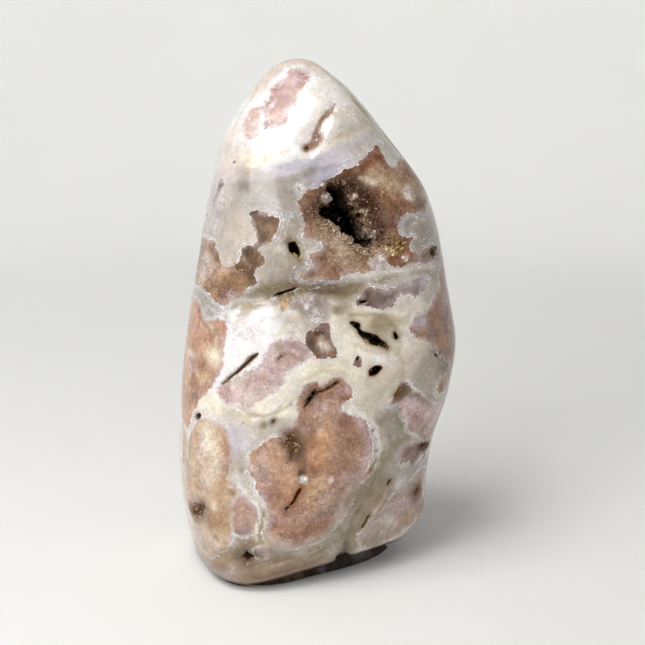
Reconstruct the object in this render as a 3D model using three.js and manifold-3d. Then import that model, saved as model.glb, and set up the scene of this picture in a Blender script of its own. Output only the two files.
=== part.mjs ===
// Flower agate freeform: one polished, free-standing piece of banded chalcedony with
// druzy pockets, ground flat underneath so that it stands. Millimetres, +Z up, the
// front towards -Y, the base at z = 0. The whole stone is one solid.
import * as THREE from 'three';
import Module from 'manifold-3d';

// ---------------------------------------------------------------- driving dimensions
const HEIGHT = 160.7;                    // base to tip
const COLUMNS = 56;                      // facets round the stone
const ROWS = 41;                         // facets up the side
const FRONT_CROWDING = 0.25;             // columns sit closer together at the front
const BASE_RINGS = [0.86, 0.62, 0.34];   // rings of the flat base, as parts of its edge

// Cross-sections from the base to the tip. Each is a rounded lozenge (a superellipse)
// with a centre, a half width, a half depth, a squareness and a turn about Z.
const SECTION_Z = [0, 3, 8, 16, 28, 42, 56, 70, 84, 98, 110, 120, 130, 139, 147, 153.2, 157.5, HEIGHT];
const CENTRE_X = [-7.57, -7.57, -6.38, -4.78, -4.27, -2.68, 0.08, 1.81, 1.54, 1.23, 1.31, 0.56, -1.61, -3.68, -4.78, -4.93, -5.73, -5.73];
const HALF_WIDTH = [30.21, 32.81, 35.46, 38.65, 40.4, 42.08, 43.87, 43.35, 41.05, 38.59, 36.38, 33.6, 29.15, 24.17, 18.12, 12.72, 8.27, 0];
const CENTRE_Y = [-0.71, -0.71, -0.71, -0.71, -0.51, -0.21, 0.09, 0.29, 0.49, 0.79, 1.09, 1.29, 1.79, 2.49, 3.29, 4.09, 4.69, 5.29];
const HALF_DEPTH = [24, 26.5, 28.5, 29.5, 30.5, 31, 31, 30.8, 30, 28.8, 27, 25.2, 22.5, 19, 15, 10.5, 6.5, 0];
const SQUARENESS = [2.75, 2.75, 2.75, 2.72, 2.65, 2.55, 2.45, 2.4, 2.35, 2.3, 2.25, 2.2, 2.15, 2.1, 2.05, 2, 2, 2];
const TURN_DEG = [24, 24, 24, 23, 21, 18, 15, 12, 10, 8, 7, 6, 5, 4, 3, 2, 1, 0];

// Flats ground or broken across the body: a point, the outward direction, the softness
// of the edge.
const FLATS = [
  { point: [-13.88, -25.21, 128], out: [-0.2, -0.7, 0.685], soft: 5 },   // the ground facet below the tip, at the front
  { point: [0, 0, -4.36], out: [0.26, -0.316, -0.913], soft: 2 },   // the broken underside, which rises to the front right
];

// Long, low swells left by hand polishing: direction, wavelength, height, phase.
const SWELLS = [
  { along: [0.3, 0.2, 0.93], length: 47, height: 0.3, phase: 0.4 },
  { along: [0.85, -0.35, 0.38], length: 39, height: 0.26, phase: 2.1 },
  { along: [-0.55, 0.6, 0.58], length: 31, height: 0.22, phase: 4 },
  { along: [0.1, 0.95, -0.28], length: 35, height: 0.24, phase: 1.1 },
  { along: [-0.75, -0.25, 0.61], length: 23, height: 0.12, phase: 5.2 },
  { along: [0.35, 0.55, 0.75], length: 19, height: 0.08, phase: 3.3 },
];

// Grooves (negative) and bulges (positive) along lines on the surface: the reach of the
// profile and its height, then the points of the line.
const RELIEF = [
  { name: 'long_groove', reach: 2.6, height: -2.6, line: [[-23, -26.5, 89.9], [-15.7, -28.5, 91.9], [-8.9, -29, 94.4], [-1, -28.8, 95.3], [5.8, -28.1, 94.5], [12.6, -27, 93.4]] },
  { name: 'right_groove', reach: 2, height: -2, line: [[21.2, -23.7, 38.9], [20.4, -23.4, 32.9], [17, -24.5, 26.6], [13.2, -25.6, 20.4], [10.2, -24.8, 12.3]] },
  { name: 'pit_rim_right', reach: 1.9, height: -1.1, line: [[21.1, -25.3, 83.5], [24.2, -24.4, 80.5], [25.2, -24.3, 76.4]] },
  { name: 'pit_rim_long', reach: 2.6, height: -1.3, line: [[11.2, -28.2, 83.9], [15.7, -27.4, 80], [21.2, -25.9, 76.9]] },
  { name: 'pit_rim_round', reach: 1.8, height: -0.9, line: [[17.6, -27.5, 69.5]] },
  { name: 'pit_rim_upper', reach: 2, height: -1.2, line: [[-6.2, -26.9, 106.6]] },
  { name: 'oval_bulge', reach: 9, height: 1.2, line: [[0.8, -31.7, 49.1], [5, -30.2, 38.8], [0.7, -31.2, 29.5]] },
  { name: 'oval_recess', reach: 2.2, height: -1.7, line: [[-2.8, -32.1, 62.5], [0.8, -31.5, 64.1], [6.8, -30.3, 65.6], [9.2, -29.7, 63.6]] },
  { name: 'left_bulge', reach: 8, height: 0.9, line: [[-32.7, -28.1, 51], [-32.3, -29.8, 35.4]] },
  { name: 'left_valley', reach: 3, height: -1, line: [[-24.2, -31.9, 53.9], [-22.8, -33.6, 40.2], [-21.1, -34.4, 27.5]] },
  { name: 'low_left_pit', reach: 3, height: -1.6, line: [[-36.9, -24.5, 22.6]] },
  { name: 'foot_pit', reach: 2.5, height: -1.4, line: [[-21.1, -33.4, 11.9]] },
  { name: 'foot_groove', reach: 1.6, height: -0.7, line: [[-16.5, -33.3, 9.5], [-7.9, -32.5, 11.5], [0.7, -30, 13.6], [6.9, -28, 17.4]] },
  { name: 'hollow_bowl', reach: 5.5, height: -2.2, line: [[4.3, -23.3, 121.1], [10.2, -23.6, 116.1], [14.7, -24, 108.8]] },
  { name: 'crystal_bowl', reach: 3, height: -1.5, line: [[19.8, -23, 105], [25.9, -19.9, 105]] },
  { name: 'upper_left_pit', reach: 3, height: -1, line: [[-23.6, -23.6, 102.1], [-20.5, -25.8, 98.6]] },
  { name: 'tip_crack', reach: 1.6, height: -1, line: [[-2.2, -18, 135.2], [0.8, -14.3, 140.7], [5, -9.5, 146.3]] },
  { name: 'left_dimple', reach: 3, height: -0.7, line: [[-35.4, -18.5, 79.3], [-33.3, -22.5, 74.7]] },
  { name: 'right_edge_pit', reach: 2.2, height: -1, line: [[36.2, -10.2, 102.6]] },
  { name: 'back_groove', reach: 2.8, height: -2.2, line: [[22.6, 28, 96], [12.8, 31.4, 84], [0.6, 31, 80], [-9.9, 28.7, 86], [-18.1, 25.5, 98]] },
  { name: 'back_bulge', reach: 12, height: 1.6, line: [[1.1, 32.8, 44], [-5, 30.7, 58]] },
  { name: 'back_hollow', reach: 4, height: -2, line: [[13.6, 25.8, 120], [3.5, 25.4, 126]] },
  { name: 'back_low_groove', reach: 2.4, height: -1.6, line: [[-19.6, 25.4, 20], [-11.6, 29.4, 30], [-5.6, 31.2, 44]] },
  { name: 'side_hollow', reach: 6, height: -1.2, line: [[-40, 7.7, 70]] },
  { name: 'side_groove', reach: 2.6, height: -1.5, line: [[38.2, 14.5, 46], [38.8, 22, 62], [34.4, 24.2, 80]] },
  { name: 'side_bulge', reach: 9, height: 0.8, line: [[42.2, 6.2, 84]] },
  { name: 'left_side_groove', reach: 2.4, height: -1.3, line: [[-43.3, -11.7, 34], [-44, -7.6, 48], [-43.5, -1.4, 58]] },
  { name: 'back_pit_a', reach: 2.2, height: -1.5, line: [[9.4, 31.6, 82]] },
  { name: 'back_pit_b', reach: 2.4, height: -1.4, line: [[-13.8, 28.4, 26]] },
];

// Pockets that break the surface: how deep, how much of the mouth is left at the floor,
// the way they run in, and the rim.
const POCKETS = [
  { name: 'main_hollow', depth: 22, floor: 0.45, swell: 1.14, into: [-0.093, 0.981, -0.169],
    rim: [[3.5, -20.4, 124.3], [6.6, -20.2, 124.6], [9.2, -20.4, 122.9], [9.7, -20.6, 121.5], [10.8, -20.8, 118.9], [12.2, -20.8, 118], [14.2, -20.9, 116], [14.1, -21, 114.4], [15.3, -21.1, 111.4], [15.8, -21.1, 109.6], [17.8, -20.6, 107.6], [16.7, -20.9, 106.7], [16.4, -21.2, 105.7], [13.8, -22.1, 106.9], [12.1, -22.7, 107.5], [9.5, -22.9, 110.3], [6.7, -23.5, 112.4], [4, -23.4, 115], [2.4, -23.6, 115.8], [2.3, -22.2, 118.9], [4.6, -21.6, 119.3], [4.2, -20.7, 122.5]] },
  { name: 'upper_pit', depth: 7, floor: 0.5, into: [-0.02, 0.983, -0.18],
    rim: [[-7.8, -26.3, 108.3], [-7.1, -26.2, 108.4], [-6.1, -26.2, 108.8], [-5.1, -26.1, 107], [-4.5, -26.6, 105.3], [-4.6, -27, 104.1], [-5.4, -26.9, 104.3], [-6, -26.5, 105], [-7.1, -26.4, 105.5], [-7.7, -26.3, 106.5]] },
  { name: 'long_slit', depth: 5, floor: 0.5, into: [-0.003, 0.992, -0.129],
    rim: [[-12.9, -26.2, 92.4], [-11.4, -26.3, 93.4], [-9.6, -26.3, 94.1], [-7.5, -26.2, 94.6], [-5.7, -26.2, 95.3], [-4.4, -26, 95], [-6, -26.1, 94.2], [-7.8, -26.5, 93.2], [-9.6, -26.6, 92.6], [-11.7, -26.5, 92]] },
  { name: 'right_hollow', depth: 9, floor: 0.5, into: [-0.094, 0.973, -0.213],
    rim: [[10.5, -26.4, 84.1], [11.8, -26.1, 84.3], [13.6, -25.9, 82.2], [14.6, -25.7, 81], [17, -25.3, 80.6], [18.8, -24.8, 79.4], [21.3, -24, 77.1], [22.2, -24, 75.5], [21, -24.5, 75.7], [17, -25.7, 77.3], [15.5, -26, 78.3], [14.3, -26, 79.8], [13, -26.2, 80.9], [11.2, -26.3, 83.1]] },
  { name: 'rimmed_pit', depth: 3.5, floor: 0.6, into: [-0.031, 0.99, -0.138],
    rim: [[25.2, -22.7, 79.5], [25.4, -22.7, 78.6], [25.2, -22.7, 78], [24.8, -22.8, 77.8], [24.2, -22.8, 78.1], [23.7, -22.9, 78.8], [23.5, -22.9, 79.6], [23.7, -22.9, 80.3], [24.1, -22.8, 80.4], [24.7, -22.7, 80.1]] },
  { name: 'round_pit', depth: 5.5, floor: 0.55, into: [-0.113, 0.973, -0.199],
    rim: [[16.4, -27.3, 68.2], [16.3, -27, 69.5], [17.5, -26.5, 70.4], [19.1, -26.3, 70.7], [20.1, -26.2, 70.1], [19.5, -26.3, 69], [18.3, -26.7, 67.9], [17, -27.1, 67.7]] },
  { name: 'pin_pit', depth: 2.2, floor: 0.6, into: [-0.119, 0.972, -0.202],
    rim: [[13.4, -28.3, 73.1], [13, -28.4, 72.6], [12.5, -28.5, 72.6], [12.2, -28.6, 73], [12.2, -28.5, 73.5], [12.6, -28.3, 74], [13.1, -28.2, 74], [13.4, -28.2, 73.6]] },
  { name: 'olive_slit', depth: 3.5, floor: 0.6, into: [0.212, 0.961, -0.176],
    rim: [[-28.5, -27.7, 65.3], [-26.9, -28.1, 67], [-25.3, -28.6, 68.7], [-23.8, -29, 70.2], [-21, -29.6, 73], [-19.5, -29.9, 74.6], [-17.3, -30.3, 75.9], [-17.1, -30.4, 75.3], [-18.6, -30.3, 73.8], [-20.1, -30, 72.3], [-21.6, -29.7, 70.7], [-24.1, -29.1, 68.5], [-25.6, -28.6, 67.4], [-27.2, -28.2, 65.7]] },
  { name: 'oval_brow', depth: 3, floor: 0.7, into: [-0.135, 0.982, -0.133],
    rim: [[-3.7, -32.3, 59.7], [-3, -31.6, 61], [-1.5, -31, 63.7], [-0.5, -31.1, 65.1], [0.8, -30.6, 64.7], [2, -30.3, 64.7], [5, -29.8, 66.6], [6.8, -29.4, 67.3], [7.8, -29.2, 66.9], [4.7, -29.8, 64.2], [2.9, -30.4, 63.5], [0.9, -30.8, 63.1], [-0.1, -31.1, 62.2], [-2.7, -32.4, 59.3]] },
  { name: 'oval_hollow', depth: 2.6, floor: 0.6, into: [-0.037, 0.994, -0.099],
    rim: [[-9.6, -33.5, 52.1], [-7.9, -33.5, 52.7], [-6.4, -33.4, 52.5], [-5.1, -33.4, 50.5], [-4, -33.3, 48.1], [-4.5, -33.3, 46.1], [-5.5, -33.3, 44.9], [-6.9, -33.4, 43.4], [-8, -33.4, 44.3], [-8.4, -33.5, 46.5], [-9.4, -33.5, 48], [-9.1, -33.5, 50]] },
  { name: 'oval_slit', depth: 3.5, floor: 0.6, into: [-0.111, 0.981, -0.157],
    rim: [[-4.7, -33.3, 34.6], [-3.6, -33.2, 33.2], [-5.3, -33.6, 30.5], [-7.1, -34.1, 28.1], [-8.2, -34.2, 29.1], [-6.5, -33.7, 31.8]] },
  { name: 'low_left_pit', depth: 3.4, floor: 0.6, into: [0.754, 0.649, 0.101],
    rim: [[-40.2, -18.5, 21.4], [-38.3, -22.6, 24.8], [-35.6, -28.7, 28.4], [-33.8, -30.4, 27.8], [-33.8, -29.8, 25.2], [-35.6, -24.9, 20.8], [-37.9, -21.8, 18.9], [-39.8, -18.4, 18.9]] },
  { name: 'star_pit', depth: 3, floor: 0.5, into: [0.118, 0.992, 0.053],
    rim: [[-24.3, -32.3, 11.4], [-22.4, -32.5, 12.6], [-21, -33.9, 15.8], [-20.2, -32.9, 13.2], [-17.1, -33.9, 13], [-19.6, -32.7, 11.2], [-20.9, -32.5, 9.1], [-21.8, -32.2, 10.7]] },
  { name: 'tip_crack', depth: 3.4, floor: 0.55, into: [-0.078, 0.92, -0.383],
    rim: [[5.3, -7.6, 147.5], [5.7, -7.8, 146.9], [3.7, -9.9, 143.8], [2.4, -10.6, 142.9], [1.5, -12.6, 140], [2.7, -14.8, 137.8], [0.8, -16.4, 135.3], [-1.5, -16.5, 134.2], [-3.2, -16.5, 134.3], [-1.9, -15.1, 136.4], [-1, -14.3, 137.6], [0.4, -12.2, 141], [1.3, -11.1, 142.7], [4.1, -8.6, 145.8]] },
  { name: 'limb_pocket', depth: 3, floor: 0.7, into: [-0.772, 0.604, -0.201],
    rim: [[35.4, -10.6, 104.1], [36.8, -8.5, 104.2], [37.8, -7.3, 102.9], [37.6, -8.2, 101.3], [36.4, -10.2, 100.9], [35.4, -11.1, 102.1]] },
  { name: 'right_pocket', depth: 2.6, floor: 0.6, into: [-0.785, 0.602, 0.146],
    rim: [[31.8, -16.4, 41.1], [33, -15.2, 42], [34.8, -12.5, 41.7], [36.5, -8.4, 39.8], [35.9, -9, 37.8], [33.6, -13.3, 38.4]] },
  { name: 'corner_pocket', depth: 2.4, floor: 0.6, into: [-0.78, 0.624, 0.038],
    rim: [[30.6, -13.6, 24.1], [31.6, -12.5, 26.1], [32.9, -10.9, 27.2], [33.7, -9, 25], [32.6, -10.6, 23.4], [31.4, -12.4, 22.4]] },
  { name: 'lobe_pocket', depth: 2.6, floor: 0.6, into: [-0.101, 0.99, -0.102],
    rim: [[14.3, -24.4, 17.5], [15.3, -24.3, 19.8], [16.7, -24, 21.6], [17.5, -23.9, 21.1], [17, -24.1, 19.7], [15.9, -24.2, 17.6], [14.9, -24.3, 16.7]] },
  { name: 'lobe_slit', depth: 2, floor: 0.6, into: [-0.265, 0.961, -0.075],
    rim: [[21.4, -22.1, 30], [22.7, -21.6, 32.5], [24.2, -21.2, 33.2], [24.1, -21.1, 31.3], [22.7, -21.8, 29.2]] },
  { name: 'purple_hole', depth: 3, floor: 0.6, into: [0.04, 0.925, -0.377],
    rim: [[14.9, -24.9, 90.6], [14.8, -25, 90.2], [14.3, -25.2, 89.9], [13.7, -25.2, 89.8], [13.1, -25.1, 90], [12.9, -24.9, 90.3], [13, -24.7, 90.7], [13.5, -24.5, 91], [14.1, -24.5, 91.1], [14.7, -24.7, 91]] },
  { name: 'left_pit', depth: 2.4, floor: 0.6, into: [0.674, 0.716, -0.181],
    rim: [[-35.2, -25.8, 54.5], [-35.6, -25.7, 53.7], [-36.1, -25.2, 53.2], [-36.7, -24.5, 53], [-37.1, -24, 53.4], [-37.1, -23.8, 54.2], [-36.7, -24.1, 55], [-36.1, -24.6, 55.6], [-35.6, -25.2, 55.7], [-35.2, -25.7, 55.3]] },
  { name: 'centre_pit', depth: 1.8, floor: 0.7, into: [-0.103, 0.977, -0.187],
    rim: [[-1.6, -30, 82.9], [0.8, -29.6, 83.7], [3.2, -29.5, 82.4], [4.6, -29.5, 80.3], [3.2, -30, 79.2], [0.8, -30.2, 80.5], [-1.3, -30.3, 81.1]] },
  { name: 'flank_pit', depth: 1.6, floor: 0.7, into: [0.409, 0.898, -0.162],
    rim: [[-21.5, -23.3, 102], [-19.3, -24.7, 103.2], [-17.5, -25.9, 101.9], [-18.1, -25.8, 99.8], [-20.3, -24.6, 99.3], [-21.8, -23.5, 100.2]] },
  { name: 'back_hollow', depth: 13, floor: 0.5, swell: 1.14, into: [0.146, -0.986, -0.086],
    rim: [[-6.9, 28.7, 103.3], [-4, 28.8, 106.4], [-1.3, 29.1, 107.5], [1.2, 29.4, 107.6], [3.4, 29.8, 106.4], [3.4, 30.3, 102.8], [3.5, 30.6, 98.7], [0.8, 30.5, 94.9], [-2.3, 30, 94.3], [-4.4, 29.7, 95.4], [-6.2, 29.4, 96.5], [-8.7, 28.7, 98.6]] },
  { name: 'back_pit', depth: 6, floor: 0.55, into: [-0.289, -0.825, -0.486],
    rim: [[9.8, 27.8, 113.9], [8.9, 27.1, 116], [8.2, 26.2, 118.1], [9.1, 25.2, 119.2], [10.4, 24.3, 120.2], [12.8, 23.8, 119.8], [14.5, 24.6, 117.1], [15.4, 25.6, 115.2], [15.5, 26.4, 113.6], [15.9, 27.2, 111], [14.1, 27.9, 110.3], [11.7, 28, 112.2]] },
  { name: 'back_slit', depth: 5, floor: 0.5, into: [0.299, -0.944, -0.137],
    rim: [[-12.1, 30.1, 63.9], [-8.2, 30.9, 66], [-4.7, 31.5, 67.3], [-0.8, 32.2, 68.4], [-3.3, 32.1, 65.6], [-7.2, 31.7, 62.9], [-10.4, 31.1, 60.7], [-14.3, 30.1, 58.1], [-18.9, 28.2, 55.6], [-19, 28, 57.1], [-18.4, 28.3, 58.8], [-15.7, 29.2, 61.4]] },
  { name: 'back_pocket', depth: 5, floor: 0.6, into: [0.047, -0.997, -0.062],
    rim: [[-0.7, 34, 47.2], [-0.8, 33.9, 50], [2.4, 34.2, 51.2], [5.8, 34.5, 49.6], [8.2, 34.6, 48.6], [10.3, 34.6, 47.1], [12.4, 34.4, 44.6], [10.4, 34.7, 42.6], [7.4, 34.9, 41.8], [4.2, 34.8, 41.7], [1.8, 34.5, 43.4], [-0.1, 34.1, 45]] },
  { name: 'back_low_pit', depth: 4, floor: 0.6, into: [0.36, -0.922, 0.144],
    rim: [[-25.9, 23, 26.2], [-24.7, 23.8, 28.2], [-23.8, 24.3, 29.5], [-22.7, 25, 30.7], [-20.9, 25.8, 31.6], [-18.9, 26.6, 31.2], [-18.2, 26.4, 29.5], [-17.5, 25.9, 27.9], [-18.9, 25.4, 26.5], [-20.4, 24.8, 25.6], [-22.1, 24.3, 24.9], [-24.2, 23.5, 24.9]] },
  { name: 'side_hollow', depth: 6, floor: 0.55, into: [0.775, -0.624, -0.096],
    rim: [[-36.4, 12.3, 83.1], [-36.6, 11.2, 86.6], [-36, 11.3, 90.1], [-35, 12.6, 92.9], [-33.5, 15, 91.4], [-32, 17, 89.1], [-31.1, 18.2, 85.1], [-31.9, 17.9, 81.7], [-32.3, 18, 78.4], [-33.5, 17, 75.7], [-35.2, 14.8, 74.7], [-36.4, 12.8, 79]] },
  { name: 'side_pit', depth: 4, floor: 0.55, into: [-0.836, -0.512, -0.197],
    rim: [[33.7, 18.2, 105.7], [34.2, 16.8, 107.5], [35.1, 15, 108.4], [36, 13.6, 107.7], [36.7, 12.5, 106.4], [36.7, 13.6, 104.2], [36.8, 14.4, 102.6], [36.6, 15.5, 100.6], [35.8, 17.5, 99.2], [34.6, 19, 99.8], [34.3, 18.6, 102.3], [33.8, 18.8, 103.7]] },
  { name: 'side_slit', depth: 3.5, floor: 0.55, into: [-0.965, -0.203, 0.168],
    rim: [[42.4, 12.4, 57.1], [42.5, 13.9, 60.5], [42.6, 14.8, 63.5], [42.9, 13.8, 63.6], [43.2, 12.3, 62.2], [43.4, 11.1, 61.9], [43.5, 8.9, 59], [43, 7, 55.2], [42.6, 7.3, 53.8], [42.4, 7.9, 53.1], [42.1, 8.4, 52.4], [42.3, 10.3, 54.4]] },
  { name: 'back_top_pit', depth: 3.5, floor: 0.6, into: [0.156, -0.947, -0.28],
    rim: [[-10.4, 21.6, 134.4], [-9.4, 21.3, 136.1], [-8, 21.6, 136.2], [-6.8, 21.4, 137.2], [-5.3, 21.6, 137.2], [-4.5, 22.2, 135.5], [-5.1, 22.8, 133.4], [-6.3, 23, 132.1], [-7.2, 23.3, 130.6], [-8.5, 23.1, 130.5], [-9.7, 22.7, 130.9], [-10.5, 22.1, 132.3]] },
  { name: 'side_low_pit', depth: 3.2, floor: 0.6, into: [0.991, -0.107, -0.086],
    rim: [[-44.7, -1.2, 41.1], [-44.6, -0.5, 41.9], [-44.4, 0.5, 43.1], [-44.2, 2.4, 42.7], [-44, 3.9, 41.4], [-44.2, 3.9, 39.9], [-44.3, 4, 38.6], [-44.5, 3.2, 37.6], [-44.8, 1.7, 37.4], [-44.9, -0.1, 37.3], [-44.9, -1.6, 38.5], [-44.8, -2.3, 40]] },
  { name: 'underside_hollow', depth: 5, floor: 0.55, into: [-0.201, 0.352, 0.914],
    rim: [[-9, -26, 2.1], [-1, -25.6, 4.2], [4.6, -24.4, 5.4], [6.6, -27.8, 7.1], [10.4, -26.4, 7.7], [11.6, -21.8, 6.5], [17, -18.2, 6.8], [21.6, -13.6, 6.5], [25, -8, 5.5], [26, -1, 3.4], [21, -5, 3.4], [14, -11, 3.4], [6, -17, 3.2], [-2, -21.4, 2.5], [-9, -24, 1.4]] },
];

// ---------------------------------------------------------------- small helpers
const rad = (deg) => (deg * Math.PI) / 180;
const clamp = (v, lo, hi) => Math.min(hi, Math.max(lo, v));
const smoothstep = (a, b, x) => {
  const t = clamp((x - a) / (b - a), 0, 1);
  return t * t * (3 - 2 * t);
};

// Smooth curve through a table, with slopes from the neighbouring rows.
function through(zs, vs, z) {
  const last = zs.length - 1;
  z = clamp(z, zs[0], zs[last]);
  let i = 0;
  while (i < last - 1 && z >= zs[i + 1]) i++;
  const slope = (k) => {
    const lo = Math.max(k - 1, 0);
    const hi = Math.min(k + 1, last);
    return (vs[hi] - vs[lo]) / (zs[hi] - zs[lo]);
  };
  const h = zs[i + 1] - zs[i];
  const t = (z - zs[i]) / h;
  const t2 = t * t;
  const t3 = t2 * t;
  return (2 * t3 - 3 * t2 + 1) * vs[i] + (t3 - 2 * t2 + t) * h * slope(i)
    + (3 * t2 - 2 * t3) * vs[i + 1] + (t3 - t2) * h * slope(i + 1);
}

const smoothMin = (a, b, k) => {
  const h = Math.max(k - Math.abs(a - b), 0) / k;
  return Math.min(a, b) - h * h * k * 0.25;
};

// Radii are interpolated as squares, so that the dome closes round at the tip.
const WIDTH_SQ = HALF_WIDTH.map((v) => v * v);
const DEPTH_SQ = HALF_DEPTH.map((v) => v * v);

function sectionRadius(theta, z) {
  const a = Math.max(Math.sqrt(Math.max(through(SECTION_Z, WIDTH_SQ, z), 0)), 1e-6);
  const b = Math.max(Math.sqrt(Math.max(through(SECTION_Z, DEPTH_SQ, z), 0)), 1e-6);
  const n = through(SECTION_Z, SQUARENESS, z);
  const turn = rad(through(SECTION_Z, TURN_DEG, z));
  const c = Math.abs(Math.cos(theta - turn)) / a;
  const s = Math.abs(Math.sin(theta - turn)) / b;
  return (c ** n + s ** n) ** (-1 / n);
}

const flats = FLATS.map((f) => ({
  point: new THREE.Vector3(...f.point),
  out: new THREE.Vector3(...f.out).normalize(),
  soft: f.soft,
}));

// A point of the body before its relief: on the side for scale 1, on the base inside it.
function bodyPoint(theta, z, scale) {
  const r = sectionRadius(theta, z) * scale;
  const p = new THREE.Vector3(
    through(SECTION_Z, CENTRE_X, z) + r * Math.cos(theta),
    through(SECTION_Z, CENTRE_Y, z) + r * Math.sin(theta),
    z,
  );
  const az = clamp(z, 32, 118);
  const anchor = new THREE.Vector3(through(SECTION_Z, CENTRE_X, az), through(SECTION_Z, CENTRE_Y, az), az);
  const ray = p.sub(anchor);
  let reach = ray.length();
  ray.divideScalar(Math.max(reach, 1e-9));
  for (const f of flats) {
    const num = f.point.clone().sub(anchor).dot(f.out);
    const den = ray.dot(f.out);
    if (num < 0.5 || den <= 1e-4) continue;
    reach = smoothMin(reach, num / den, f.soft);
  }
  return anchor.addScaledVector(ray, reach);
}

const relief = RELIEF.map((f) => ({ ...f, line: f.line.map((v) => new THREE.Vector3(...v)) }));
const swells = SWELLS.map((s) => ({ ...s, along: new THREE.Vector3(...s.along).normalize() }));
const segment = new THREE.Line3();
const foot = new THREE.Vector3();

function distanceToLine(p, line) {
  if (line.length === 1) return p.distanceTo(line[0]);
  let best = Infinity;
  for (let i = 0; i + 1 < line.length; i++) {
    segment.set(line[i], line[i + 1]).closestPointToPoint(p, true, foot);
    best = Math.min(best, p.distanceTo(foot));
  }
  return best;
}

function reliefAt(p) {
  let d = 0;
  for (const s of swells) d += s.height * Math.sin((p.dot(s.along) * 2 * Math.PI) / s.length + s.phase);
  for (const f of relief) {
    const r = distanceToLine(p, f.line);
    d += f.height * Math.exp((-r * r) / (2 * f.reach * f.reach));
  }
  return d * smoothstep(0.5, 7, p.z);
}

// ---------------------------------------------------------------- the polished body
// Heights of the rows, evenly spaced along the mean profile from the base to the tip.
function rowHeights(count) {
  const zs = [];
  for (let i = 0; i <= 1500; i++) zs.push(i * 0.1);
  for (let i = 1; i <= 800; i++) zs.push(HEIGHT - (HEIGHT - 150) * (1 - i / 800) ** 2);
  const meanSq = HALF_WIDTH.map((v, i) => (0.5 * v + 0.5 * HALF_DEPTH[i]) ** 2);
  const length = [0];
  let before = Math.sqrt(Math.max(through(SECTION_Z, meanSq, zs[0]), 0));
  for (let i = 1; i < zs.length; i++) {
    const r = Math.sqrt(Math.max(through(SECTION_Z, meanSq, zs[i]), 0));
    length.push(length[i - 1] + Math.hypot(zs[i] - zs[i - 1], r - before));
    before = r;
  }
  const total = length[length.length - 1];
  const rows = [];
  let k = 0;
  for (let i = 0; i < count; i++) {
    const want = (total * i) / (count - 1);
    while (k < length.length - 2 && length[k + 1] < want) k++;
    const t = clamp((want - length[k]) / (length[k + 1] - length[k]), 0, 1);
    rows.push(zs[k] + t * (zs[k + 1] - zs[k]));
  }
  return rows;
}

function bodyMesh() {
  const angles = [];
  for (let j = 0; j < COLUMNS; j++) {
    const turn = (2 * Math.PI * j) / COLUMNS;
    angles.push(turn - FRONT_CROWDING * Math.sin(turn - rad(270)));
  }
  const heights = rowHeights(ROWS + 1);
  const grid = heights.slice(0, ROWS).map((z) => angles.map((a) => bodyPoint(a, z, 1)));
  const tip = bodyPoint(0, HEIGHT, 1);

  // The relief moves each point along the surface's own direction there.
  const moved = grid.map((row, i) => row.map((p, j) => {
    const east = row[(j + 1) % COLUMNS].clone().sub(row[(j + COLUMNS - 1) % COLUMNS]);
    const above = i + 1 < ROWS ? grid[i + 1][j] : tip;
    const below = i > 0 ? grid[i - 1][j] : p;
    const out = east.cross(above.clone().sub(below)).normalize();
    return p.clone().addScaledVector(out, reliefAt(p));
  }));
  tip.z += reliefAt(tip);

  const verts = [];
  const tris = [];
  const put = (p) => verts.push(p.x, p.y, p.z) / 3 - 1;
  const ids = moved.map((row) => row.map(put));
  const tipId = put(tip);
  const band = (low, high) => {
    for (let j = 0; j < COLUMNS; j++) {
      const k = (j + 1) % COLUMNS;
      tris.push(low[j], low[k], high[k], low[j], high[k], high[j]);
    }
  };
  for (let i = 0; i + 1 < ROWS; i++) band(ids[i], ids[i + 1]);
  for (let j = 0; j < COLUMNS; j++) tris.push(ids[ROWS - 1][j], ids[ROWS - 1][(j + 1) % COLUMNS], tipId);

  // The base, ring by ring inwards to its middle.
  let outer = ids[0];
  for (const s of BASE_RINGS) {
    const ring = angles.map((a) => put(bodyPoint(a, 0, s)));
    band(ring, outer);
    outer = ring;
  }
  const middle = put(new THREE.Vector3(CENTRE_X[0], CENTRE_Y[0], 0));
  for (let j = 0; j < COLUMNS; j++) tris.push(outer[(j + 1) % COLUMNS], outer[j], middle);
  return { verts, tris };
}

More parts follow.
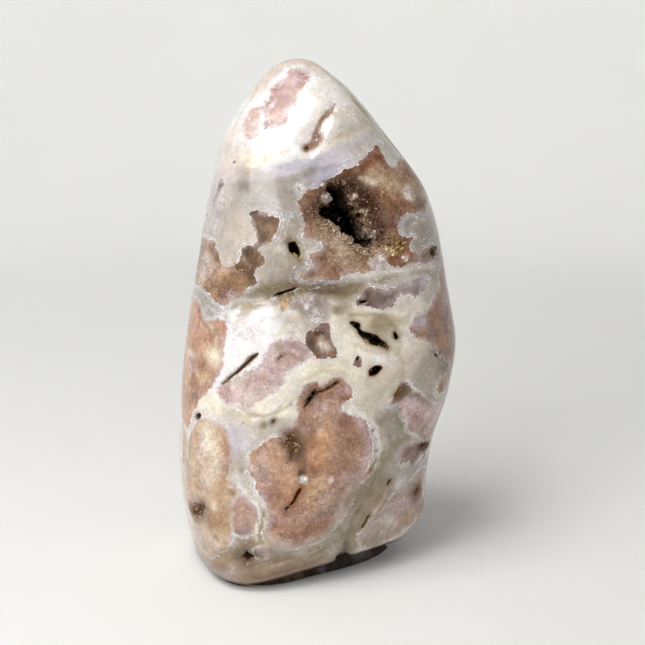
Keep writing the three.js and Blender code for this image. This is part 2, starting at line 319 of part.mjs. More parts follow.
// ---------------------------------------------------------------- the pockets
// A pocket is a stack of rings of its rim's own outline, square to the way it runs in:
// straight past the surface, then narrowing to its floor.
function pocketMesh(pocket) {
  const into = new THREE.Vector3(...pocket.into).normalize();
  const rim = pocket.rim.map((v) => new THREE.Vector3(...v));
  const centre = rim.reduce((sum, p) => sum.add(p), new THREE.Vector3()).divideScalar(rim.length);
  const across = new THREE.Vector3(0, 0, 1).cross(into).normalize();
  const up = into.clone().cross(across);
  let flat = rim.map((p) => {
    const v = p.clone().sub(centre);
    return new THREE.Vector2(v.dot(across), v.dot(up));
  });
  const heights = rim.map((p) => p.clone().sub(centre).dot(into));
  if (THREE.ShapeUtils.area(flat) < 0) flat = flat.reverse();
  const lip = Math.max(...heights) + 0.2;
  const floor = Math.max(pocket.depth, lip + 1.2);
  const swell = pocket.swell ?? 1 - 0.25 * (1 - pocket.floor);
  const rings = [
    [Math.min(...heights) - 3, 1],
    [lip, 1],
    [lip + (floor - lip) * 0.4, swell],
    [lip + (floor - lip) * 0.8, (swell + pocket.floor) / 2],
    [floor, pocket.floor],
  ];
  const verts = [];
  const tris = [];
  const n = flat.length;
  for (const [along, scale] of rings) {
    for (const f of flat) {
      const p = centre.clone().addScaledVector(into, along)
        .addScaledVector(across, f.x * scale).addScaledVector(up, f.y * scale);
      verts.push(p.x, p.y, p.z);
    }
  }
  for (let i = 0; i + 1 < rings.length; i++) {
    for (let j = 0; j < n; j++) {
      const k = (j + 1) % n;
      const a = i * n + j;
      const b = i * n + k;
      tris.push(a, b, b + n, a, b + n, a + n);
    }
  }
  const far = (rings.length - 1) * n;
  for (const [a, b, c] of THREE.ShapeUtils.triangulateShape(flat, [])) {
    tris.push(a, c, b);
    tris.push(far + a, far + b, far + c);
  }
  return { verts, tris };
}

// ---------------------------------------------------------------- cutting
const wasm = await Module();
wasm.setup();

function solid({ verts, tris }) {
  const mesh = new wasm.Mesh({
    numProp: 3,
    vertProperties: Float32Array.from(verts),
    triVerts: Uint32Array.from(tris),
  });
  return new wasm.Manifold(mesh);
}

let stone = solid(bodyMesh());
for (const pocket of POCKETS) stone = stone.subtract(solid(pocketMesh(pocket)));

const cut = stone.getMesh();
const geometry = new THREE.BufferGeometry();
const position = new Float32Array((cut.vertProperties.length / cut.numProp) * 3);
for (let i = 0; i < position.length / 3; i++) {
  for (let k = 0; k < 3; k++) position[3 * i + k] = cut.vertProperties[cut.numProp * i + k];
}
geometry.setAttribute('position', new THREE.BufferAttribute(position, 3));
geometry.setIndex(new THREE.BufferAttribute(Uint32Array.from(cut.triVerts), 1));
geometry.computeVertexNormals();

// ---------------------------------------------------------------- the model
const chalcedony = new THREE.MeshStandardMaterial({
  name: 'polished_agate',
  color: 0xcfc2b6,
  roughness: 0.22,
  metalness: 0,
});
const stoneMesh = new THREE.Mesh(geometry, chalcedony);
stoneMesh.name = 'stone';

const part = new THREE.Group();
part.name = 'flower_agate_freeform';
part.add(stoneMesh);

export default part;
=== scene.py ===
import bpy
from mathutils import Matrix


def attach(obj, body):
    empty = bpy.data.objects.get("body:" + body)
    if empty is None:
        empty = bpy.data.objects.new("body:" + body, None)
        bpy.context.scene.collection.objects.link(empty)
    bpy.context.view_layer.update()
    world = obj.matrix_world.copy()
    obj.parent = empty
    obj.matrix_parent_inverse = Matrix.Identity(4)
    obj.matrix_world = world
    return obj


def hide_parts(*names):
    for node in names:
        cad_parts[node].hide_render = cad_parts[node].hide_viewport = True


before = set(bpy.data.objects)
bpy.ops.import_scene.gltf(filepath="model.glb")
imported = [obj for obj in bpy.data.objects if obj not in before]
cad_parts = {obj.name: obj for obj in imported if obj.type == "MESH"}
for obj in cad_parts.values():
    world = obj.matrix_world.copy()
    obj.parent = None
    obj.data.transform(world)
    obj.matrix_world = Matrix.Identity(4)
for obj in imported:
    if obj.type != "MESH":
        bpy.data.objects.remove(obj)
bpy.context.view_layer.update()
import math

import bpy
import numpy as np
from mathutils import Vector

# A tall polished freeform of flower agate: pale chalcedony with rose, honey and mauve quartz patches,
# white borders, open crystal-lined hollows and a ground facet under the tip. Millimetres until the meshes are made.

# ---------------------------------------------------------------- tables
TOP = 160.7
SECTION_Z = [0.0, 3.0, 8.0, 16.0, 28.0, 42.0, 56.0, 70.0, 84.0, 98.0, 110.0, 120.0, 130.0, 139.0, 147.0, 153.2, 157.5, 160.7]
CENTRE_X = [-7.57, -7.57, -6.38, -4.78, -4.27, -2.68, 0.08, 1.81, 1.54, 1.23, 1.31, 0.56, -1.61, -3.68, -4.78, -4.93, -5.73, -5.73]
HALF_WIDTH = [30.21, 32.81, 35.46, 38.65, 40.4, 42.08, 43.87, 43.35, 41.05, 38.59, 36.38, 33.6, 29.15, 24.17, 18.12, 12.72, 8.27, 0.0]
CENTRE_Y = [-0.71, -0.71, -0.71, -0.71, -0.51, -0.21, 0.09, 0.29, 0.49, 0.79, 1.09, 1.29, 1.79, 2.49, 3.29, 4.09, 4.69, 5.29]
HALF_DEPTH = [24.0, 26.5, 28.5, 29.5, 30.5, 31.0, 31.0, 30.8, 30.0, 28.8, 27.0, 25.2, 22.5, 19.0, 15.0, 10.5, 6.5, 0.0]
SQUARENESS = [2.75, 2.75, 2.75, 2.72, 2.65, 2.55, 2.45, 2.4, 2.35, 2.3, 2.25, 2.2, 2.15, 2.1, 2.05, 2.0, 2.0, 2.0]
TURN_DEG = [24.0, 24.0, 24.0, 23.0, 21.0, 18.0, 15.0, 12.0, 10.0, 8.0, 7.0, 6.0, 5.0, 4.0, 3.0, 2.0, 1.0, 0.0]
FLATS = [((-13.88, -25.21, 128.0), (-0.2, -0.7, 0.685), 5.0), ((0.0, 0.0, -4.36), (0.26, -0.316, -0.913), 2.0)]   # point, normal, softness
SWELLS = [((0.3, 0.2, 0.93), 47.0, 0.3, 0.4), ((0.85, -0.35, 0.38), 39.0, 0.26, 2.1), ((-0.55, 0.6, 0.58), 31.0, 0.22, 4.0), ((0.1, 0.95, -0.28), 35.0, 0.24, 1.1), ((-0.75, -0.25, 0.61), 23.0, 0.12, 5.2), ((0.35, 0.55, 0.75), 19.0, 0.08, 3.3)]   # direction, wavelength, height, phase
# grooves and swellings: line, half width, height
RELIEF = [
    ([(-23.0, -26.5, 89.9), (-15.7, -28.5, 91.9), (-8.9, -29.0, 94.4), (-1.0, -28.8, 95.3), (5.8, -28.1, 94.5), (12.6, -27.0, 93.4)], 2.6, -2.6),
    ([(21.2, -23.7, 38.9), (20.4, -23.4, 32.9), (17.0, -24.5, 26.6), (13.2, -25.6, 20.4), (10.2, -24.8, 12.3)], 2.0, -2.0),
    ([(21.1, -25.3, 83.5), (24.2, -24.4, 80.5), (25.2, -24.3, 76.4)], 1.9, -1.1),
    ([(11.2, -28.2, 83.9), (15.7, -27.4, 80.0), (21.2, -25.9, 76.9)], 2.6, -1.3),
    ([(17.6, -27.5, 69.5)], 1.8, -0.9),
    ([(-6.2, -26.9, 106.6)], 2.0, -1.2),
    ([(0.8, -31.7, 49.1), (5.0, -30.2, 38.8), (0.7, -31.2, 29.5)], 9.0, 1.2),
    ([(-2.8, -32.1, 62.5), (0.8, -31.5, 64.1), (6.8, -30.3, 65.6), (9.2, -29.7, 63.6)], 2.2, -1.7),
    ([(-32.7, -28.1, 51.0), (-32.3, -29.8, 35.4)], 8.0, 0.9),
    ([(-24.2, -31.9, 53.9), (-22.8, -33.6, 40.2), (-21.1, -34.4, 27.5)], 3.0, -1.0),
    ([(-36.9, -24.5, 22.6)], 3.0, -1.6),
    ([(-21.1, -33.4, 11.9)], 2.5, -1.4),
    ([(-16.5, -33.3, 9.5), (-7.9, -32.5, 11.5), (0.7, -30.0, 13.6), (6.9, -28.0, 17.4)], 1.6, -0.7),
    ([(4.3, -23.3, 121.1), (10.2, -23.6, 116.1), (14.7, -24.0, 108.8)], 5.5, -2.2),
    ([(19.8, -23.0, 105.0), (25.9, -19.9, 105.0)], 3.0, -1.5),
    ([(-23.6, -23.6, 102.1), (-20.5, -25.8, 98.6)], 3.0, -1.0),
    ([(-2.2, -18.0, 135.2), (0.8, -14.3, 140.7), (5.0, -9.5, 146.3)], 1.6, -1.0),
    ([(-35.4, -18.5, 79.3), (-33.3, -22.5, 74.7)], 3.0, -0.7),
    ([(36.2, -10.2, 102.6)], 2.2, -1.0),
    ([(22.6, 28.0, 96.0), (12.8, 31.4, 84.0), (0.6, 31.0, 80.0), (-9.9, 28.7, 86.0), (-18.1, 25.5, 98.0)], 2.8, -2.2),
    ([(1.1, 32.8, 44.0), (-5.0, 30.7, 58.0)], 12.0, 1.6),
    ([(13.6, 25.8, 120.0), (3.5, 25.4, 126.0)], 4.0, -2.0),
    ([(-19.6, 25.4, 20.0), (-11.6, 29.4, 30.0), (-5.6, 31.2, 44.0)], 2.4, -1.6),
    ([(-40.0, 7.7, 70.0)], 6.0, -1.2),
    ([(38.2, 14.5, 46.0), (38.8, 22.0, 62.0), (34.4, 24.2, 80.0)], 2.6, -1.5),
    ([(42.2, 6.2, 84.0)], 9.0, 0.8),
    ([(-43.3, -11.7, 34.0), (-44.0, -7.6, 48.0), (-43.5, -1.4, 58.0)], 2.4, -1.3),
    ([(9.4, 31.6, 82.0)], 2.2, -1.5),
    ([(-13.8, 28.4, 26.0)], 2.4, -1.4),
    ([(34.0, -11.0, 17.0)], 6.0, 1.8),
]
PALETTE = {
    "cream": (241, 232, 214),
    "pale": (238, 233, 228),
    "white": (250, 248, 249),
    "lav": (207, 200, 208),
    "periw": (196, 192, 207),
    "lavgrey": (190, 181, 187),
    "greige": (204, 192, 178),
    "beige": (215, 203, 186),
    "stonegrey": (187, 176, 161),
    "warmgrey": (172, 159, 144),
    "fog": (184, 176, 171),
    "dove": (170, 161, 152),
    "olive": (156, 142, 114),
    "olivetan": (190, 173, 140),
    "khaki": (140, 118, 78),
    "butter": (237, 227, 202),
    "pinkpale": (220, 204, 197),
    "earth": (154, 129, 102),
    "veinstone": (154, 143, 120),
    "rose": (180, 128, 122),
    "peachrose": (222, 186, 168),
    "peach": (224, 198, 166),
    "sand": (204, 180, 152),
    "tan": (180, 143, 112),
    "honey": (150, 112, 78),
    "umber": (108, 80, 58),
    "cocoa": (132, 100, 80),
    "salmon": (203, 156, 132),
    "apricot": (210, 172, 140),
    "mauve": (148, 118, 116),
    "lilac": (208, 182, 184),
    "petal": (228, 206, 206),
    "plum": (110, 90, 90),
    "amber": (82, 46, 14),
    "gold": (200, 158, 82),
    "bone": (222, 206, 188),
    "dusk": (166, 147, 141),
    "bark": (78, 52, 30),
    "rust": (172, 108, 56),
    "bronze": (118, 95, 72),
    "lobetan": (180, 156, 136),
    "orange": (226, 174, 134),
    "shade": (146, 136, 118),
    "blush": (198, 162, 146),
    "rosewood": (204, 168, 158),
    "mist": (216, 211, 208),
    "ash": (166, 156, 148),
    "coffee": (88, 62, 40),
    "pinkwhite": (241, 229, 224),
    "goldcream": (220, 194, 144),
    "cinnamon": (166, 120, 94),
    "rosebrown": (160, 110, 90),
    "black": (20, 13, 9),
    "painted_shade": (44, 30, 18),
}
# broad tones of the chalcedony: degrees round the axis, height, reach round and up, tone
ZONES = [
    (293.1, 160.5, 6.7, 3.94, 'pinkpale'),
    (201.7, 155.5, 3.74, 5.39, 'pinkpale'),
    (203.3, 148.3, 4.78, 6.67, 'white'),
    (208.3, 140.6, 4.5, 6.06, 'pinkwhite'),
    (206.2, 133.7, 4.32, 4.08, 'pinkpale'),
    (223.2, 131.4, 5.38, 1.92, 'cream'),
    # white and pink-white on the ground facet: the chalcedony's own white with a painted highlight
    (268.1, 144.5, 4.81, 6.28, 'pinkwhite'),
    (252.5, 137.6, 7.2, 3.37, 'white'),
    (296.0, 150.7, 2.72, 5.6, 'pale'),
    (320.5, 152.2, 3.12, 4.5, 'pale'),
    (324.7, 146.7, 3.44, 4.56, 'pale'),
    (318.4, 142.1, 5.0, 3.21, 'mist'),
    (336.0, 139.1, 5.48, 3.46, 'mist'),
    (303.8, 143.6, 2.12, 3.36, 'white'),
    (337.7, 133.2, 4.15, 4.09, 'mist'),
    (271.0, 128.8, 7.09, 2.38, 'periw'),
    (295.5, 132.5, 4.9, 1.9, 'lav'),
    (235.6, 125.2, 7.53, 2.4, 'dove'),
    (211.9, 126.4, 6.29, 2.52, 'pinkpale'),
    (255.8, 123.5, 3.54, 2.1, 'fog'),
    (200.9, 119.3, 4.9, 4.57, 'fog'),
    (203.4, 110.6, 5.83, 3.65, 'fog'),
    (222.3, 119.4, 4.36, 2.67, 'fog'),
    (221.4, 110.7, 3.87, 4.16, 'greige'),
    (240.3, 119.9, 4.26, 2.38, 'dove'),
    (251.6, 116.6, 3.83, 3.84, 'dove'),
    (250.0, 111.1, 2.66, 2.64, 'dove'),
    (245.6, 102.8, 3.58, 2.64, 'stonegrey'),
    (255.0, 100.0, 3.83, 2.19, 'warmgrey'),
    (238.8, 95.4, 3.96, 1.68, 'olive'),
    (227.1, 92.2, 3.15, 1.69, 'beige'),
    (261.7, 107.5, 2.38, 2.06, 'stonegrey'),
    (277.0, 94.9, 7.83, 1.56, 'khaki'),
    (295.9, 97.0, 6.64, 1.62, 'stonegrey'),
    (318.5, 97.9, 8.51, 1.5, 'stonegrey'),
    (338.9, 96.8, 4.23, 1.89, 'warmgrey'),
    (210.8, 87.8, 5.42, 2.46, 'dove'),
    (222.0, 85.9, 2.41, 2.41, 'fog'),
    (229.9, 85.9, 2.96, 2.57, 'greige'),
    (238.6, 90.6, 3.83, 1.24, 'olive'),
    # white on the middle of the left front: white chalcedony with a painted highlight
    (230.3, 76.4, 4.87, 7.22, 'white'),
    (240.1, 82.2, 4.26, 3.86, 'white'),
    (253.2, 85.3, 2.37, 2.37, 'beige'),
    (259.0, 91.7, 2.37, 1.91, 'dove'),
    (269.0, 89.9, 3.58, 2.44, 'warmgrey'),
    (285.0, 89.8, 4.31, 2.18, 'stonegrey'),
    (283.9, 84.1, 2.95, 4.8, 'cream'),
    (276.9, 70.1, 5.54, 1.94, 'butter'),
    (258.8, 69.1, 4.47, 2.13, 'cream'),
    (247.0, 62.0, 4.83, 2.44, 'cream'),
    (236.8, 57.1, 4.46, 1.85, 'beige'),
    (220.8, 59.7, 4.18, 1.81, 'cream'),
    (245.3, 52.2, 4.27, 1.86, 'greige'),
    (234.7, 49.1, 2.49, 3.07, 'lav'),
    (240.8, 39.3, 2.46, 4.39, 'greige'),
    (245.8, 30.6, 2.18, 2.88, 'beige'),
    (233.7, 22.3, 1.77, 5.31, 'greige'),
    (250.8, 21.3, 1.53, 4.29, 'olivetan'),
    # earth-brown round the foot: darker towards the floor, partly painted shade over the foot's own pinkish grey
    (240.7, 12.8, 3.83, 2.74, 'earth'),
    (228.8, 2.8, 7.0, 4.71, 'earth'),
    (252.8, 6.2, 5.01, 2.69, 'earth'),
    (270.9, 9.8, 6.42, 2.14, 'earth'),
    (276.6, 13.0, 4.62, 2.34, 'warmgrey'),
    (291.1, 13.8, 4.87, 2.47, 'olive'),
    (294.7, 87.5, 4.3, 1.81, 'cream'),
    (308.5, 84.1, 4.23, 1.92, 'olivetan'),
    (322.4, 88.0, 4.68, 2.44, 'beige'),
    (317.3, 76.3, 4.26, 5.22, 'beige'),
    (306.9, 66.2, 5.72, 4.75, 'beige'),
    (295.3, 73.6, 2.88, 3.96, 'cream'),
    (296.5, 60.1, 4.21, 2.85, 'beige'),
    (314.8, 49.7, 3.63, 5.11, 'veinstone'),
    (317.4, 38.1, 3.31, 5.48, 'olive'),
    (310.8, 23.5, 3.54, 5.04, 'earth'),
    (323.3, 35.4, 3.81, 3.18, 'warmgrey'),
    (334.5, 30.7, 7.93, 1.97, 'dove'),
    (331.6, 65.4, 4.6, 4.34, 'stonegrey'),
    # bronze on the right limb: the stone's brown, darkened as painted shade of the side turned from the light
    (343.6, 67.0, 4.63, 4.91, 'bronze'),
    (345.0, 53.2, 5.88, 5.35, 'warmgrey'),
    (331.8, 109.6, 6.98, 4.56, 'ash'),
    (29.2, 112.6, 5.4, 8.49, 'greige'),
    (335.1, 91.7, 4.63, 2.76, 'stonegrey'),
    (29.5, 22.4, 6.17, 7.72, 'warmgrey'),
    (10.0, 110.0, 9.0, 9.0, 'stonegrey'),
    (25.0, 92.0, 9.0, 9.0, 'greige'),
    (40.0, 120.0, 9.0, 9.0, 'lavgrey'),
    (60.0, 140.0, 9.0, 9.0, 'cream'),
    (90.0, 150.0, 9.0, 9.0, 'cream'),
    (120.0, 145.0, 8.0, 8.0, 'pale'),
    (150.0, 135.0, 8.0, 8.0, 'greige'),
    (170.0, 120.0, 9.0, 9.0, 'lav'),
    (187.0, 125.0, 8.0, 8.0, 'mist'),
    (30.0, 60.0, 10.0, 10.0, 'cream'),
    (18.0, 34.0, 9.0, 9.0, 'greige'),
    (45.0, 20.0, 9.0, 9.0, 'stonegrey'),
    (70.0, 80.0, 10.0, 10.0, 'butter'),
    (60.0, 50.0, 9.0, 9.0, 'olivetan'),
    (85.0, 30.0, 9.0, 9.0, 'greige'),
    (100.0, 62.0, 9.0, 9.0, 'mist'),
    (105.0, 112.0, 9.0, 9.0, 'lav'),
    (122.0, 74.0, 9.0, 9.0, 'white'),
    (135.0, 60.0, 9.0, 9.0, 'cream'),
    (142.0, 30.0, 10.0, 10.0, 'stonegrey'),
    (150.0, 95.0, 9.0, 9.0, 'greige'),
    (172.0, 60.0, 9.0, 9.0, 'pale'),
    (172.0, 28.0, 9.0, 9.0, 'pinkpale'),
    (120.0, 8.0, 9.0, 9.0, 'shade'),
    (60.0, 6.0, 9.0, 9.0, 'greige'),
    (345.0, 8.0, 8.0, 8.0, 'greige'),
    (330.0, 140.0, 8.0, 8.0, 'olivetan'),
]
# patch styles: three tones, grain, frost, white line, softness of the border
STYLES = {
    "rose": ('rose', 'peachrose', 'lilac', 0.35, 0.9, 1.0, 1.1),
    "peachrose": ('pinkwhite', 'petal', 'peachrose', 0.1, 0.3, 0.8, 0.8),
    "honey": ('honey', 'cinnamon', 'sand', 0.9, 0.35, 1.0, 0.1),
    "tan": ('tan', 'honey', 'sand', 0.8, 0.35, 1.0, 0.1),
    "salmon": ('salmon', 'apricot', 'blush', 0.45, 0.45, 0.6, 0.5),
    "peach": ('sand', 'apricot', 'pinkpale', 0.35, 0.4, 0.45, 0.8),
    "pinkgrey": ('blush', 'dusk', 'pinkpale', 0.3, 0.5, 0.8, 0.6),
    "oval": ('cinnamon', 'apricot', 'blush', 0.55, 0.5, 0.95, 0.3),
    "lilac": ('pinkpale', 'lilac', 'rosewood', 0.35, 0.6, 0.7, 0.8),
    "honeyolive": ('khaki', 'gold', 'olivetan', 0.8, 0.2, 0.5, 0.15),
    "umber": ('cocoa', 'umber', 'mauve', 0.7, 0.2, 0.6, 0.12),
    "purple": ('plum', 'dusk', 'mauve', 0.5, 0.35, 0.9, 0.12),
    "mauvebrown": ('mauve', 'cinnamon', 'dusk', 0.4, 0.4, 0.6, 0.45),
    "pinkmauve": ('dusk', 'lilac', 'blush', 0.5, 0.5, 0.7, 0.5),
    "mauve": ('mauve', 'cocoa', 'dusk', 0.5, 0.35, 0.6, 0.2),
    "lobe": ('lobetan', 'dusk', 'dove', 0.3, 0.4, 0.5, 0.9),
    "speck": ('lavgrey', 'dusk', 'ash', 0.6, 0.3, 0.4, 0.3),
}
